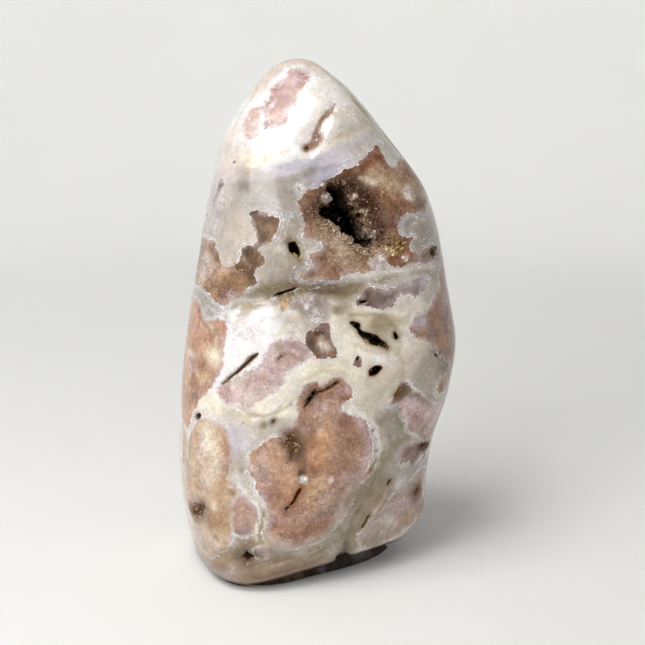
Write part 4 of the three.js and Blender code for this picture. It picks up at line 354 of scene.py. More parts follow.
# bands and veins: layer (o matrix, i patch, b both), line, half width, tone, strength
LINES = [
    ('o', [(212.1, 125.8), (235.6, 126.1), (262.2, 129.0), (294.3, 134.3), (321.1, 137.3), (341.6, 135.7), (348.9, 132.6)], 1.29, 'lav', 0.6),
    ('o', [(235.6, 128.9), (256.8, 130.5), (281.9, 133.3), (305.5, 136.4), (330.2, 138.7), (9.9, 137.2)], 0.84, 'periw', 0.75),
    ('o', [(263.8, 132.9), (287.4, 135.6), (311.9, 138.3), (339.2, 140.1)], 0.77, 'cream', 0.6),
    ('o', [(286.8, 135.0), (312.3, 137.4), (337.6, 138.7), (4.9, 134.9)], 0.58, 'mist', 0.8),
    ('o', [(221.8, 122.8), (238.0, 123.8), (253.9, 125.8), (272.5, 128.8), (290.3, 130.3)], 0.64, 'dusk', 0.4),
    ('o', [(214.0, 125.3), (235.6, 128.9), (256.3, 129.0), (273.1, 132.2), (292.1, 133.7)], 0.32, 'pale', 0.5),
    # grey band below the facet: grey chalcedony, darkened further as painted shade
    ('o', [(221.7, 123.6), (236.8, 124.9), (254.2, 126.7), (271.2, 129.0)], 1.61, 'ash', 0.9),
    ('o', [(309.3, 146.0), (320.5, 145.1), (341.0, 144.5)], 1.61, 'sand', 0.3),
    ('o', [(339.8, 148.1), (348.6, 142.0), (353.0, 135.5), (349.4, 130.7)], 0.51, 'dusk', 0.6),
    ('o', [(332.2, 148.8), (340.4, 142.9), (346.9, 136.9)], 0.45, 'pale', 0.7),
    ('o', [(277.8, 132.2), (301.5, 134.2), (327.0, 135.4)], 0.58, 'lavgrey', 0.6),
    ('o', [(199.1, 124.6), (201.4, 130.6), (202.6, 139.0), (195.4, 147.5)], 0.84, 'mist', 0.6),
    ('o', [(196.5, 148.9), (183.5, 154.3), (184.5, 159.2), (313.5, 160.6)], 1.09, 'bone', 0.7),
    ('o', [(211.0, 150.3), (203.7, 154.3), (210.9, 158.6), (226.4, 160.2), (308.3, 160.0)], 0.71, 'white', 0.9),
    ('o', [(304.2, 157.5), (287.8, 155.1), (271.6, 152.1), (265.9, 148.5), (256.7, 144.0)], 0.96, 'white', 0.95),
    # white band on the facet above its lower edge: white chalcedony with a painted highlight
    ('o', [(231.2, 134.7), (242.7, 138.4), (259.1, 141.2), (275.5, 145.6)], 1.61, 'white', 0.8),
    ('o', [(216.9, 130.3), (231.1, 130.8), (242.1, 133.3), (255.6, 135.4)], 0.58, 'goldcream', 0.45),
    ('o', [(211.3, 133.3), (209.4, 136.8), (212.5, 138.9), (220.5, 136.7), (227.2, 136.4)], 0.45, 'white', 0.9),
    ('o', [(234.4, 134.2), (239.4, 131.4), (232.7, 130.0)], 0.45, 'goldcream', 0.5),
    # white bands on the middle of the left front: white chalcedony with a painted highlight
    ('o', [(226.0, 87.4), (224.0, 81.9), (222.9, 75.2), (222.8, 69.2)], 0.96, 'white', 0.9),
    ('o', [(238.5, 91.4), (231.4, 89.4), (225.2, 89.1)], 0.96, 'olivetan', 0.7),
    ('o', [(243.1, 89.8), (237.7, 86.8), (232.7, 81.3), (227.1, 71.4)], 1.48, 'white', 0.95),
    ('o', [(252.7, 88.2), (246.8, 82.9), (240.3, 78.1), (233.5, 71.2)], 1.41, 'white', 0.95),
    ('o', [(280.3, 73.6), (267.9, 73.4), (258.6, 71.2), (251.5, 67.0), (245.3, 62.0)], 1.03, 'cream', 0.6),
    ('o', [(282.7, 69.8), (269.0, 70.4), (258.9, 68.2), (253.9, 63.9), (249.6, 59.0)], 0.71, 'olivetan', 0.45),
    ('o', [(257.2, 67.0), (253.1, 63.3), (247.8, 59.0), (239.9, 55.7)], 0.58, 'white', 0.7),
    ('o', [(217.8, 59.3), (226.9, 57.9), (236.9, 56.8), (243.7, 57.7)], 0.71, 'goldcream', 0.5),
    ('o', [(227.6, 55.5), (234.9, 54.1), (243.5, 49.6)], 0.96, 'pinkpale', 0.6),
    ('o', [(237.5, 58.0), (243.9, 57.1), (251.4, 59.0), (256.6, 60.8)], 0.64, 'olive', 0.55),
    ('o', [(256.8, 88.2), (253.7, 84.7), (248.8, 81.8)], 0.77, 'butter', 0.8),
    ('o', [(279.6, 89.7), (288.2, 90.3), (300.2, 86.7)], 0.96, 'cream', 0.8),
    ('o', [(271.8, 92.6), (282.7, 92.4), (292.2, 91.0), (300.5, 89.1)], 0.71, 'olivetan', 0.8),
    ('o', [(276.3, 90.9), (288.4, 90.8), (304.8, 87.5), (317.8, 85.9)], 0.64, 'pale', 0.6),
    ('o', [(300.1, 82.4), (310.6, 83.1), (316.3, 79.8), (314.9, 75.5)], 0.64, 'olive', 0.6),
    ('o', [(287.7, 86.4), (299.1, 86.5), (309.5, 84.4), (313.5, 82.4)], 0.77, 'khaki', 0.6),
    ('o', [(307.1, 74.7), (302.5, 75.0), (295.6, 76.0), (290.1, 78.0)], 0.64, 'olivetan', 0.6),
    ('o', [(312.5, 74.4), (316.1, 70.6), (315.8, 66.2)], 0.96, 'olivetan', 0.6),
    ('o', [(288.2, 58.7), (295.9, 56.4), (304.3, 52.5), (311.6, 45.4), (314.5, 37.2)], 0.77, 'cream', 0.7),
    ('o', [(302.9, 53.3), (308.0, 48.4), (311.1, 42.8), (312.8, 37.0)], 0.45, 'white', 0.9),
    ('o', [(309.1, 50.8), (313.4, 46.6), (317.3, 40.3)], 0.39, 'pale', 0.6),
    ('o', [(305.6, 52.4), (312.2, 48.0), (317.1, 41.2), (318.0, 34.1)], 0.64, 'olivetan', 0.6),
    ('o', [(315.7, 42.2), (318.0, 34.1), (313.8, 27.2), (306.3, 21.1), (298.8, 16.1)], 0.96, 'olive', 0.85),
    ('o', [(313.9, 38.6), (314.3, 33.3), (309.3, 28.0), (301.6, 24.5), (297.1, 20.2)], 0.39, 'warmgrey', 0.8),
    ('o', [(322.4, 33.4), (319.9, 26.5), (313.8, 21.0), (308.5, 15.1)], 0.51, 'greige', 0.7),
    ('o', [(325.5, 32.4), (333.8, 32.2), (348.5, 31.6)], 0.71, 'dove', 0.8),
    ('o', [(323.9, 29.9), (331.7, 30.6), (342.0, 31.8)], 0.39, 'olivetan', 0.7),
    ('o', [(313.6, 28.6), (305.7, 22.7), (293.9, 18.3)], 0.45, 'khaki', 0.7),
    ('o', [(237.4, 39.3), (239.8, 35.5), (243.7, 33.1)], 0.51, 'white', 0.6),
    ('o', [(251.7, 26.4), (249.9, 21.9), (250.8, 17.2)], 0.51, 'khaki', 0.7),
    ('o', [(248.9, 26.9), (248.1, 21.9), (248.1, 17.9)], 0.32, 'white', 0.7),
    ('o', [(233.2, 28.4), (232.7, 22.2), (234.0, 16.8)], 0.64, 'butter', 0.6),
    ('o', [(155.8, -13.3), (222.6, 3.8), (236.9, 5.7)], 1.16, 'dusk', 0.6),
    ('o', [(357.0, -64.6), (206.7, -7.7), (239.0, -0.9)], 0.96, 'cocoa', 0.6),
    ('o', [(225.2, 8.7), (234.9, 9.4), (239.3, 7.7)], 0.71, 'blush', 0.6),
    ('o', [(249.8, 5.3), (262.2, 5.9), (275.4, 7.3), (287.8, 9.9)], 0.77, 'umber', 0.45),
    ('o', [(245.7, 1.9), (261.5, -1.1), (282.0, -0.9)], 0.64, 'tan', 0.6),
    ('o', [(211.4, -112.3), (239.3, 6.1), (261.4, 8.8), (282.9, 12.3)], 0.51, 'pinkpale', 0.55),
    ('o', [(250.9, 15.8), (264.8, 14.2), (280.4, 15.4), (291.6, 17.0)], 0.71, 'stonegrey', 0.7),
    ('o', [(255.1, 13.3), (268.8, 12.6), (283.6, 13.9)], 0.58, 'dusk', 0.7),
    ('o', [(259.2, 9.2), (271.8, 10.4), (285.4, 12.2)], 0.71, 'khaki', 0.55),
    ('o', [(255.7, 11.2), (271.3, 12.0), (286.2, 13.4)], 0.26, 'khaki', 0.7),
    ('o', [(227.3, -1.8), (255.9, 5.8), (278.4, 8.6)], 0.64, 'cocoa', 0.5),
    ('o', [(244.4, 8.1), (256.1, 9.6), (271.8, 10.4), (289.0, 12.7)], 0.32, 'coffee', 0.35),
    ('o', [(321.6, 109.1), (321.3, 112.0), (324.0, 114.2), (330.0, 115.1)], 0.51, 'mist', 0.7),
    ('o', [(326.9, 105.2), (325.7, 108.3), (327.0, 111.7), (335.2, 113.2), (355.4, 110.5)], 0.71, 'greige', 0.7),
    ('o', [(330.1, 104.3), (329.8, 108.0), (333.7, 110.6), (349.3, 108.6)], 0.51, 'warmgrey', 0.8),
    ('o', [(334.5, 105.2), (335.4, 107.5), (346.7, 105.8)], 0.64, 'ash', 0.6),
    ('o', [(261.7, 108.0), (267.7, 107.4), (263.0, 105.7)], 0.77, 'stonegrey', 0.6),
    ('o', [(290.0, 97.1), (306.0, 97.6), (319.8, 98.5), (341.4, 97.7)], 0.71, 'stonegrey', 0.7),
    ('o', [(289.1, 95.3), (303.5, 96.2), (314.9, 97.0)], 0.58, 'khaki', 0.6),
    ('o', [(269.7, 96.2), (280.7, 94.8), (290.4, 94.6)], 0.84, 'khaki', 0.8),
    ('o', [(233.3, 92.5), (240.6, 93.9), (247.9, 95.5)], 0.77, 'olive', 0.8),
    ('o', [(250.1, 96.4), (259.0, 95.7), (268.5, 94.4)], 0.51, 'khaki', 0.6),
    ('o', [(226.9, 91.6), (234.2, 91.3), (241.6, 92.1)], 0.51, 'pale', 0.5),
    # khaki, bronze and umber along the long groove under the bowl: painted shade in the groove
    ('o', [(227.1, 92.2), (238.6, 94.1), (250.6, 95.8), (264.9, 95.4), (283.1, 94.4), (295.0, 95.2)], 1.48, 'khaki', 0.8),
    ('o', [(254.4, 95.8), (269.7, 95.0), (285.5, 94.1)], 1.35, 'bronze', 0.95),
    ('o', [(264.9, 94.8), (277.0, 94.3), (286.7, 93.5)], 0.64, 'umber', 0.6),
    ('o', [(259.0, 93.9), (272.0, 93.2), (286.6, 92.9)], 0.51, 'khaki', 0.7),
    ('o', [(289.9, 98.4), (306.2, 98.8), (320.0, 99.0), (338.3, 98.7)], 0.64, 'pale', 0.5),
    ('o', [(247.8, 110.3), (246.6, 106.2), (243.7, 101.6), (241.0, 97.5)], 1.29, 'stonegrey', 0.7),
    ('o', [(253.0, 102.9), (259.9, 100.5), (256.7, 97.6)], 0.96, 'warmgrey', 0.7),
    ('o', [(213.1, 117.8), (223.7, 118.9), (232.0, 119.7), (243.9, 120.5), (253.6, 118.9)], 0.64, 'stonegrey', 0.35),
    ('o', [(197.6, 109.5), (203.2, 114.8), (207.7, 119.2)], 0.77, 'lav', 0.5),
    ('o', [(207.3, 107.4), (217.3, 105.2), (223.7, 103.9)], 0.77, 'stonegrey', 0.6),
    ('o', [(219.1, 115.8), (223.5, 112.5), (223.1, 108.5)], 0.96, 'greige', 0.7),
    ('b', [(312.9, 147.9), (302.6, 146.2), (291.5, 144.0), (284.5, 141.2), (282.6, 137.8), (272.2, 136.0)], 0.45, 'cinnamon', 0.8),
    ('b', [(306.2, 146.9), (293.2, 144.5)], 0.26, 'cocoa', 0.7),
    ('b', [(320.0, 54.6), (323.3, 52.0), (323.2, 49.7), (326.7, 47.3), (333.6, 45.2)], 0.35, 'white', 0.9),
    ('b', [(324.6, 49.2), (322.2, 48.2)], 0.29, 'white', 0.8),
    ('b', [(216.1, 56.5), (214.2, 52.9), (209.5, 48.0), (207.9, 42.9), (208.4, 39.7)], 0.42, 'white', 0.85),
    ('b', [(235.9, 34.9), (239.4, 33.0), (238.9, 30.5), (236.6, 28.6)], 0.32, 'white', 0.8),
    ('b', [(241.6, 44.1), (243.4, 42.3), (245.1, 40.4)], 0.42, 'white', 0.8),
    ('b', [(209.3, 87.6), (216.2, 86.6), (220.7, 87.0)], 0.39, 'lav', 0.8),
    ('b', [(242.5, 15.3), (245.7, 11.3), (250.0, 10.2)], 0.32, 'khaki', 0.6),
    ('i', [(224.8, 27.4), (227.7, 22.7), (230.1, 19.0)], 0.39, 'butter', 0.6),
    ('i', [(268.0, 40.0), (267.5, 34.9), (265.5, 30.6), (263.8, 28.1)], 0.58, 'cocoa', 0.55),
    ('i', [(263.5, 61.6), (269.6, 62.7), (277.1, 64.0), (282.8, 64.9)], 0.84, 'mauve', 0.6),
    ('i', [(259.7, 64.3), (263.5, 65.8), (267.7, 66.3)], 0.84, 'cocoa', 0.7),
    ('i', [(225.4, 102.2), (230.1, 100.6), (228.4, 98.2)], 0.77, 'bark', 0.7),
    ('i', [(232.5, 115.7), (239.6, 113.6), (237.9, 109.5), (234.3, 106.0)], 2.25, 'bronze', 0.95),
    ('i', [(240.7, 114.8), (238.8, 111.3), (237.2, 107.8)], 0.64, 'umber', 0.8),
    ('i', [(229.0, 115.6), (232.9, 112.9), (236.8, 110.1)], 0.77, 'coffee', 0.6),
    ('i', [(227.3, 105.8), (232.5, 103.6), (235.4, 100.2), (232.4, 97.2)], 2.25, 'bronze', 0.92),
    ('i', [(228.6, 105.2), (231.6, 102.4), (229.7, 99.4)], 0.77, 'umber', 0.7),
    ('i', [(223.4, 100.9), (227.4, 99.6), (232.2, 98.7)], 1.03, 'amber', 0.9),
    ('i', [(202.4, 86.0), (205.8, 83.4), (211.7, 81.8), (217.8, 81.3)], 0.71, 'umber', 0.65),
    ('i', [(196.6, 78.1), (203.8, 75.6), (202.6, 71.0), (207.4, 67.5), (205.6, 62.7)], 0.64, 'cocoa', 0.8),
    ('i', [(210.3, 77.9), (214.0, 74.2), (212.7, 69.7), (211.6, 65.1)], 0.45, 'umber', 0.7),
    ('i', [(215.1, 82.2), (218.4, 77.8), (218.0, 72.9)], 0.96, 'butter', 0.5),
    ('i', [(323.6, 133.8), (313.9, 129.9), (321.4, 128.5)], 1.09, 'rosebrown', 0.6),
    ('i', [(290.2, 126.4), (297.9, 127.3), (306.8, 127.7)], 1.03, 'umber', 0.8),
    ('i', [(291.7, 124.7), (295.2, 121.8), (299.0, 118.8), (302.3, 115.7), (303.7, 111.6), (306.5, 108.0)], 1.93, 'coffee', 0.9),
    ('i', [(299.2, 125.6), (303.6, 122.7), (307.3, 119.4), (308.7, 115.5), (311.2, 111.3)], 2.25, 'amber', 0.95),
    ('i', [(276.1, 124.9), (270.7, 121.4), (269.3, 117.3)], 1.61, 'umber', 0.8),
    ('i', [(261.5, 120.7), (262.0, 116.7), (262.9, 112.1)], 1.29, 'mauve', 0.5),
    ('i', [(277.0, 112.6), (283.1, 109.6), (289.4, 106.9), (297.0, 105.3)], 1.61, 'sand', 0.6),
    ('i', [(266.5, 107.5), (276.4, 105.6), (286.5, 104.3), (295.3, 103.6)], 1.09, 'cinnamon', 0.4),
    ('i', [(265.8, 99.3), (276.6, 99.2), (288.7, 100.8), (299.6, 100.5)], 0.96, 'tan', 0.6),
    ('i', [(338.9, 126.4), (339.0, 121.6), (338.4, 116.9)], 1.29, 'mauve', 0.5),
    ('i', [(297.1, 53.1), (302.8, 48.2), (305.1, 42.8), (304.3, 37.7), (299.1, 34.3)], 1.48, 'lilac', 0.9),
    ('i', [(299.7, 36.9), (295.0, 31.3), (289.5, 27.8), (281.4, 23.8)], 2.25, 'dusk', 0.75),
    ('i', [(282.8, 21.6), (272.5, 19.7), (263.1, 18.2)], 2.25, 'rosebrown', 0.75),
    ('i', [(293.4, 37.4), (288.4, 33.2), (280.7, 29.8)], 1.61, 'lilac', 0.45),
    ('i', [(254.4, 18.6), (258.2, 17.8), (264.2, 17.1)], 0.96, 'pinkpale', 0.5),
    ('i', [(266.5, 62.2), (274.9, 63.7), (285.5, 63.2)], 1.29, 'blush', 0.8),
    ('i', [(288.9, 61.5), (283.7, 58.3), (291.0, 53.5), (295.7, 48.1)], 1.61, 'cinnamon', 0.7),
    ('i', [(276.7, 58.6), (283.1, 52.7), (288.4, 45.4), (287.9, 39.7)], 2.57, 'blush', 0.5),
    ('i', [(263.9, 59.4), (261.7, 55.9), (264.1, 51.5)], 1.61, 'mauve', 0.4),
    ('i', [(248.2, 45.9), (248.5, 41.5), (252.1, 37.1), (255.8, 31.4)], 1.61, 'lilac', 0.4),
    ('i', [(261.8, 49.7), (266.2, 45.8), (268.5, 41.9), (268.5, 37.4)], 0.96, 'umber', 0.8),
    ('i', [(259.1, 47.8), (264.4, 43.9), (268.0, 40.0), (269.7, 36.7), (268.3, 33.0), (265.7, 28.7)], 0.58, 'cocoa', 0.85),
    ('i', [(250.4, 30.8), (256.1, 28.3), (263.9, 26.2), (271.0, 27.8)], 1.29, 'cinnamon', 0.5),
    ('b', [(289.1, 59.8), (296.1, 55.7), (302.8, 50.7), (306.5, 45.2), (307.9, 39.9), (305.9, 36.3)], 0.32, 'white', 0.85),
    ('i', [(251.8, 42.7), (257.5, 38.2), (262.2, 33.2)], 1.93, 'salmon', 0.5),
    ('i', [(212.6, 47.4), (209.6, 41.3), (210.9, 35.7), (213.6, 30.4)], 1.09, 'blush', 0.7),
    ('i', [(221.0, 51.0), (225.5, 46.6), (228.0, 41.3)], 2.57, 'cream', 0.8),
    ('i', [(232.5, 46.0), (234.1, 39.8), (232.8, 34.2)], 0.96, 'cinnamon', 0.5),
    ('i', [(219.5, 33.3), (226.7, 32.8), (232.2, 32.2)], 1.29, 'tan', 0.6),
    ('i', [(223.1, 21.6), (227.6, 17.7), (231.8, 14.9)], 1.61, 'sand', 0.6),
    ('i', [(200.5, 15.3), (207.2, 12.1), (218.5, 10.0)], 1.29, 'mauve', 0.6),
    ('i', [(230.0, 62.5), (236.4, 65.3), (243.0, 68.6), (248.9, 72.3), (255.6, 75.3)], 1.61, 'blush', 0.6),
    ('i', [(233.2, 60.9), (240.5, 63.1), (247.0, 66.3)], 0.96, 'pinkpale', 0.7),
    ('i', [(227.4, 62.3), (232.0, 65.0), (237.7, 67.8)], 0.96, 'lilac', 0.7),
    ('i', [(247.8, 78.2), (254.7, 78.8), (260.7, 77.0)], 0.96, 'dusk', 0.6),
    ('i', [(333.7, 85.0), (338.6, 80.0), (340.7, 74.6)], 1.61, 'tan', 0.6),
    ('i', [(326.3, 84.0), (330.5, 79.8), (335.0, 75.5)], 1.09, 'ash', 0.6),
    ('i', [(300.8, 90.9), (311.9, 91.1), (322.1, 93.5)], 0.96, 'plum', 0.5),
    ('i', [(296.0, 92.7), (304.3, 93.2)], 0.96, 'cocoa', 0.5),
]
# single marks: layer, degrees, height, reach round and up, tone, strength
SPOTS = [
    ('i', 229.3, 154.0, 2.26, 2.77, 'rose', 0.8),
    ('i', 243.5, 152.5, 1.9, 2.33, 'rose', 0.6),
    ('i', 265.2, 158.1, 1.89, 2.49, 'lilac', 0.7),
    ('i', 239.5, 146.0, 1.87, 2.28, 'peachrose', 0.7),
    ('i', 226.9, 149.5, 0.97, 1.18, 'pinkwhite', 0.8),
    ('i', 237.6, 144.5, 0.62, 0.76, 'tan', 0.6),
    ('i', 243.6, 143.9, 0.49, 0.59, 'cocoa', 0.5),
    ('o', 253.8, 142.6, 0.66, 0.78, 'gold', 0.6),
    ('i', 326.4, 132.8, 3.22, 3.0, 'rosebrown', 0.8),
    ('i', 306.6, 128.9, 1.92, 1.9, 'cocoa', 0.6),
    ('i', 287.3, 125.4, 1.77, 1.76, 'coffee', 0.8),
    ('i', 294.3, 126.3, 1.49, 1.48, 'bark', 0.6),
    ('i', 266.9, 120.8, 2.44, 2.41, 'cocoa', 0.7),
    ('i', 259.9, 119.3, 1.19, 1.2, 'mauve', 0.7),
    ('i', 270.0, 117.3, 1.83, 1.83, 'tan', 0.5),
    ('i', 264.5, 116.1, 1.79, 1.8, 'cocoa', 0.5),
    ('i', 281.7, 109.1, 2.21, 2.07, 'bone', 0.6),
    ('i', 284.0, 106.1, 3.15, 2.95, 'sand', 0.85),
    ('i', 283.3, 104.1, 0.99, 0.94, 'bone', 0.9),
    ('i', 276.5, 100.4, 2.39, 2.49, 'cinnamon', 0.7),
    ('i', 265.9, 99.0, 1.79, 2.05, 'cocoa', 0.5),
    ('i', 293.2, 102.2, 2.49, 2.39, 'sand', 0.6),
    ('i', 302.7, 123.3, 1.22, 1.18, 'bark', 0.8),
    ('i', 311.0, 118.4, 1.56, 1.48, 'umber', 0.7),
    ('i', 306.9, 117.1, 2.43, 2.36, 'amber', 1.0),
    ('i', 303.1, 119.5, 1.8, 1.77, 'bark', 0.95),
    ('i', 307.2, 120.3, 1.53, 1.48, 'amber', 0.8),
    ('i', 309.8, 113.1, 1.84, 1.79, 'coffee', 0.7),
    ('i', 302.8, 125.0, 1.53, 1.5, 'coffee', 0.6),
    ('i', 327.7, 124.9, 4.9, 4.35, 'sand', 0.7),
    ('i', 325.2, 126.9, 1.93, 1.81, 'tan', 0.6),
    ('i', 316.4, 118.1, 2.32, 2.1, 'honey', 0.7),
    ('i', 312.0, 114.8, 1.87, 1.78, 'cocoa', 0.5),
    ('i', 344.4, 124.8, 4.63, 3.14, 'tan', 0.5),
    ('i', 338.5, 118.7, 3.55, 2.12, 'mauve', 0.5),
    ('i', 338.5, 115.1, 2.95, 1.64, 'dusk', 0.5),
    ('i', 307.8, 125.9, 1.4, 1.36, 'bone', 1.0),
    ('i', 311.9, 125.3, 1.44, 1.38, 'bone', 1.0),
    ('i', 305.0, 126.6, 0.94, 0.92, 'sand', 0.9),
    ('i', 333.4, 122.2, 1.66, 1.31, 'pinkwhite', 1.0),
    ('i', 332.6, 120.5, 1.93, 1.44, 'pinkwhite', 1.0),
    ('i', 334.8, 119.5, 1.49, 1.03, 'bone', 0.9),
    ('i', 297.0, 122.6, 0.95, 0.94, 'dusk', 0.5),
    ('i', 297.2, 120.6, 1.01, 1.0, 'dusk', 0.5),
    ('i', 303.7, 111.6, 1.36, 1.35, 'ash', 0.4),
    ('i', 306.6, 110.4, 1.37, 1.37, 'ash', 0.4),
    ('i', 312.2, 109.0, 1.56, 1.54, 'umber', 0.8),
    ('i', 315.1, 110.6, 1.28, 1.21, 'tan', 0.5),
    ('i', 320.5, 106.2, 1.69, 1.53, 'gold', 0.8),
    ('i', 316.1, 104.9, 1.49, 1.36, 'goldcream', 0.9),
    ('i', 307.4, 105.3, 1.24, 1.2, 'gold', 0.5),
    ('i', 322.8, 107.0, 1.0, 0.92, 'coffee', 0.6),
    ('i', 302.6, 102.2, 1.46, 1.42, 'pinkwhite', 0.95),
    ('i', 308.5, 103.2, 1.87, 1.88, 'pinkwhite', 1.0),
    ('i', 303.2, 100.7, 1.11, 1.08, 'pinkwhite', 0.8),
    ('i', 315.1, 102.6, 1.48, 1.41, 'rosebrown', 0.95),
    ('i', 322.2, 102.5, 1.2, 1.12, 'bone', 1.0),
    ('i', 328.8, 102.0, 1.72, 1.37, 'ash', 0.8),
    ('i', 333.5, 102.2, 1.96, 1.22, 'dusk', 0.7),
    ('i', 340.3, 102.8, 3.42, 1.64, 'coffee', 0.85),
    ('i', 344.6, 103.3, 2.46, 1.25, 'bark', 0.7),
    ('i', 231.3, 115.7, 1.63, 1.47, 'coffee', 0.6),
    ('i', 240.9, 112.5, 1.84, 1.76, 'tan', 0.6),
    ('i', 231.0, 105.3, 2.15, 1.77, 'coffee', 0.75),
    ('i', 230.6, 101.2, 1.3, 1.04, 'ash', 0.5),
    ('i', 228.1, 99.4, 1.55, 1.34, 'bark', 0.9),
    ('i', 221.7, 96.9, 4.15, 3.32, 'honey', 0.9),
    ('i', 216.2, 98.0, 3.05, 2.13, 'apricot', 0.8),
    ('i', 200.6, 100.0, 5.67, 2.88, 'pinkpale', 0.95),
    ('i', 200.8, 96.4, 5.4, 2.26, 'pinkpale', 0.7),
    ('i', 208.0, 95.1, 2.91, 1.55, 'cinnamon', 0.5),
    ('i', 218.3, 91.9, 1.97, 1.5, 'mauve', 0.6),
    ('i', 223.4, 92.6, 1.6, 1.55, 'lilac', 0.8),
    ('i', 203.0, 105.8, 2.02, 0.92, 'cocoa', 0.7),
    ('i', 216.4, 79.4, 1.79, 1.21, 'umber', 0.5),
    ('i', 201.0, 76.7, 4.24, 2.31, 'salmon', 0.6),
    ('i', 206.2, 74.5, 3.45, 1.88, 'salmon', 0.8),
    ('i', 216.4, 74.5, 3.08, 2.12, 'peach', 0.8),
    ('i', 218.5, 73.3, 3.68, 2.73, 'butter', 0.95),
    ('i', 213.7, 66.4, 3.14, 2.14, 'peach', 0.8),
    ('i', 203.3, 71.8, 3.09, 1.24, 'pinkwhite', 0.75),
    ('i', 203.7, 68.1, 3.86, 1.55, 'lilac', 0.8),
    ('i', 212.7, 69.7, 2.01, 1.37, 'cinnamon', 0.6),
    ('i', 207.3, 63.1, 2.85, 1.54, 'cinnamon', 0.8),
    ('i', 209.6, 59.1, 3.76, 1.84, 'mauve', 0.7),
    ('i', 232.4, 40.4, 1.55, 1.54, 'cinnamon', 0.5),
    ('i', 237.4, 33.1, 1.21, 1.26, 'cinnamon', 0.5),
    ('i', 232.0, 34.1, 1.94, 1.9, 'tan', 0.5),
    ('i', 229.6, 27.3, 1.52, 1.42, 'cream', 0.8),
    ('i', 228.1, 22.1, 4.66, 3.43, 'tan', 0.85),
    ('i', 212.8, 22.2, 4.63, 2.59, 'cocoa', 0.7),
    ('i', 220.4, 22.9, 2.78, 2.15, 'umber', 0.75),
    ('i', 198.2, 16.8, 3.09, 3.09, 'dusk', 0.7),
    ('i', 212.8, 14.6, 3.86, 2.99, 'lilac', 0.85),
    ('i', 243.0, 26.6, 1.84, 1.9, 'blush', 0.8),
    ('i', 244.5, 23.0, 1.55, 1.57, 'dusk', 0.5),
    ('i', 261.0, 63.6, 1.29, 1.38, 'mauve', 0.8),
    ('i', 284.6, 64.5, 1.53, 1.63, 'lilac', 0.8),
    ('i', 278.3, 62.8, 2.2, 2.1, 'blush', 0.8),
    ('i', 271.2, 59.0, 2.11, 2.11, 'lilac', 0.6),
    ('i', 265.7, 52.7, 1.5, 1.57, 'lilac', 0.45),
    ('i', 273.2, 52.2, 1.04, 1.07, 'pinkwhite', 0.6),
    ('i', 286.9, 53.5, 2.58, 2.58, 'rosebrown', 0.85),
    ('i', 292.1, 46.8, 2.68, 2.64, 'cinnamon', 0.8),
    ('i', 291.7, 41.4, 2.34, 2.3, 'cinnamon', 0.7),
    ('i', 277.4, 49.9, 3.12, 3.2, 'orange', 0.7),
    ('i', 275.1, 44.3, 4.02, 4.22, 'orange', 0.9),
    ('i', 279.5, 36.3, 2.21, 2.29, 'apricot', 0.7),
    ('i', 284.7, 36.0, 1.04, 1.06, 'pinkwhite', 0.7),
    ('i', 288.6, 25.2, 0.88, 0.88, 'olive', 0.8),
    ('i', 259.9, 49.7, 2.1, 2.22, 'honey', 0.95),
    ('i', 262.5, 46.5, 1.8, 1.93, 'umber', 0.8),
    ('i', 261.4, 43.9, 1.2, 1.29, 'cocoa', 0.8),
    ('i', 267.7, 39.0, 0.91, 0.97, 'bark', 0.9),
    ('i', 269.2, 36.7, 1.28, 1.34, 'white', 1.0),
    ('i', 248.8, 39.9, 2.43, 2.53, 'pinkpale', 0.6),
    ('i', 255.8, 34.5, 2.72, 2.81, 'salmon', 0.5),
    ('i', 256.7, 27.0, 1.52, 1.59, 'blush', 0.6),
    ('i', 250.2, 76.2, 1.79, 1.78, 'mauve', 0.6),
    ('i', 249.3, 75.3, 0.54, 0.53, 'umber', 0.8),
    ('i', 247.2, 71.1, 2.41, 2.4, 'lilac', 0.6),
    ('i', 240.4, 67.9, 1.86, 1.81, 'blush', 0.4),
    ('i', 232.4, 63.6, 2.59, 2.42, 'petal', 0.8),
    ('i', 239.0, 66.0, 2.5, 2.42, 'petal', 0.5),
    ('i', 244.9, 68.1, 2.13, 2.11, 'lilac', 0.6),
    ('i', 252.9, 70.6, 1.78, 1.8, 'lilac', 0.5),
    ('i', 260.6, 76.5, 1.48, 1.48, 'dusk', 0.7),
    ('i', 270.8, 81.9, 1.5, 1.49, 'plum', 0.7),
    ('i', 270.0, 79.6, 1.5, 1.49, 'bone', 1.0),
    ('i', 272.0, 77.7, 1.94, 1.91, 'bone', 1.0),
    ('i', 271.0, 78.3, 1.21, 1.19, 'pinkwhite', 0.8),
    ('i', 267.4, 75.2, 0.9, 0.89, 'rust', 0.9),
    ('i', 276.9, 75.5, 0.92, 0.9, 'rust', 0.75),
    ('i', 298.0, 92.4, 2.12, 2.11, 'umber', 0.75),
    ('i', 296.8, 91.8, 1.21, 1.21, 'bark', 0.5),
    ('i', 304.1, 91.1, 1.86, 1.8, 'plum', 0.6),
    ('i', 314.2, 92.2, 1.99, 1.81, 'ash', 0.7),
    ('i', 323.3, 94.0, 2.55, 2.11, 'fog', 0.7),
    ('i', 330.6, 94.3, 2.11, 1.52, 'lav', 0.8),
    ('i', 326.2, 82.8, 2.73, 2.16, 'lav', 0.85),
    ('i', 337.1, 84.6, 4.45, 2.49, 'tan', 0.75),
    ('i', 335.4, 77.9, 2.98, 1.88, 'mauve', 0.6),
    ('i', 340.7, 74.6, 4.4, 2.21, 'tan', 0.7),
    # bronze on the right limb: the stone's brown, darkened as painted shade of the side turned from the light
    ('i', 343.2, 69.1, 4.87, 2.68, 'bronze', 0.6),
    ('i', 341.2, 90.3, 3.6, 1.55, 'tan', 0.7),
    ('i', 316.4, 62.0, 2.55, 2.32, 'khaki', 0.9),
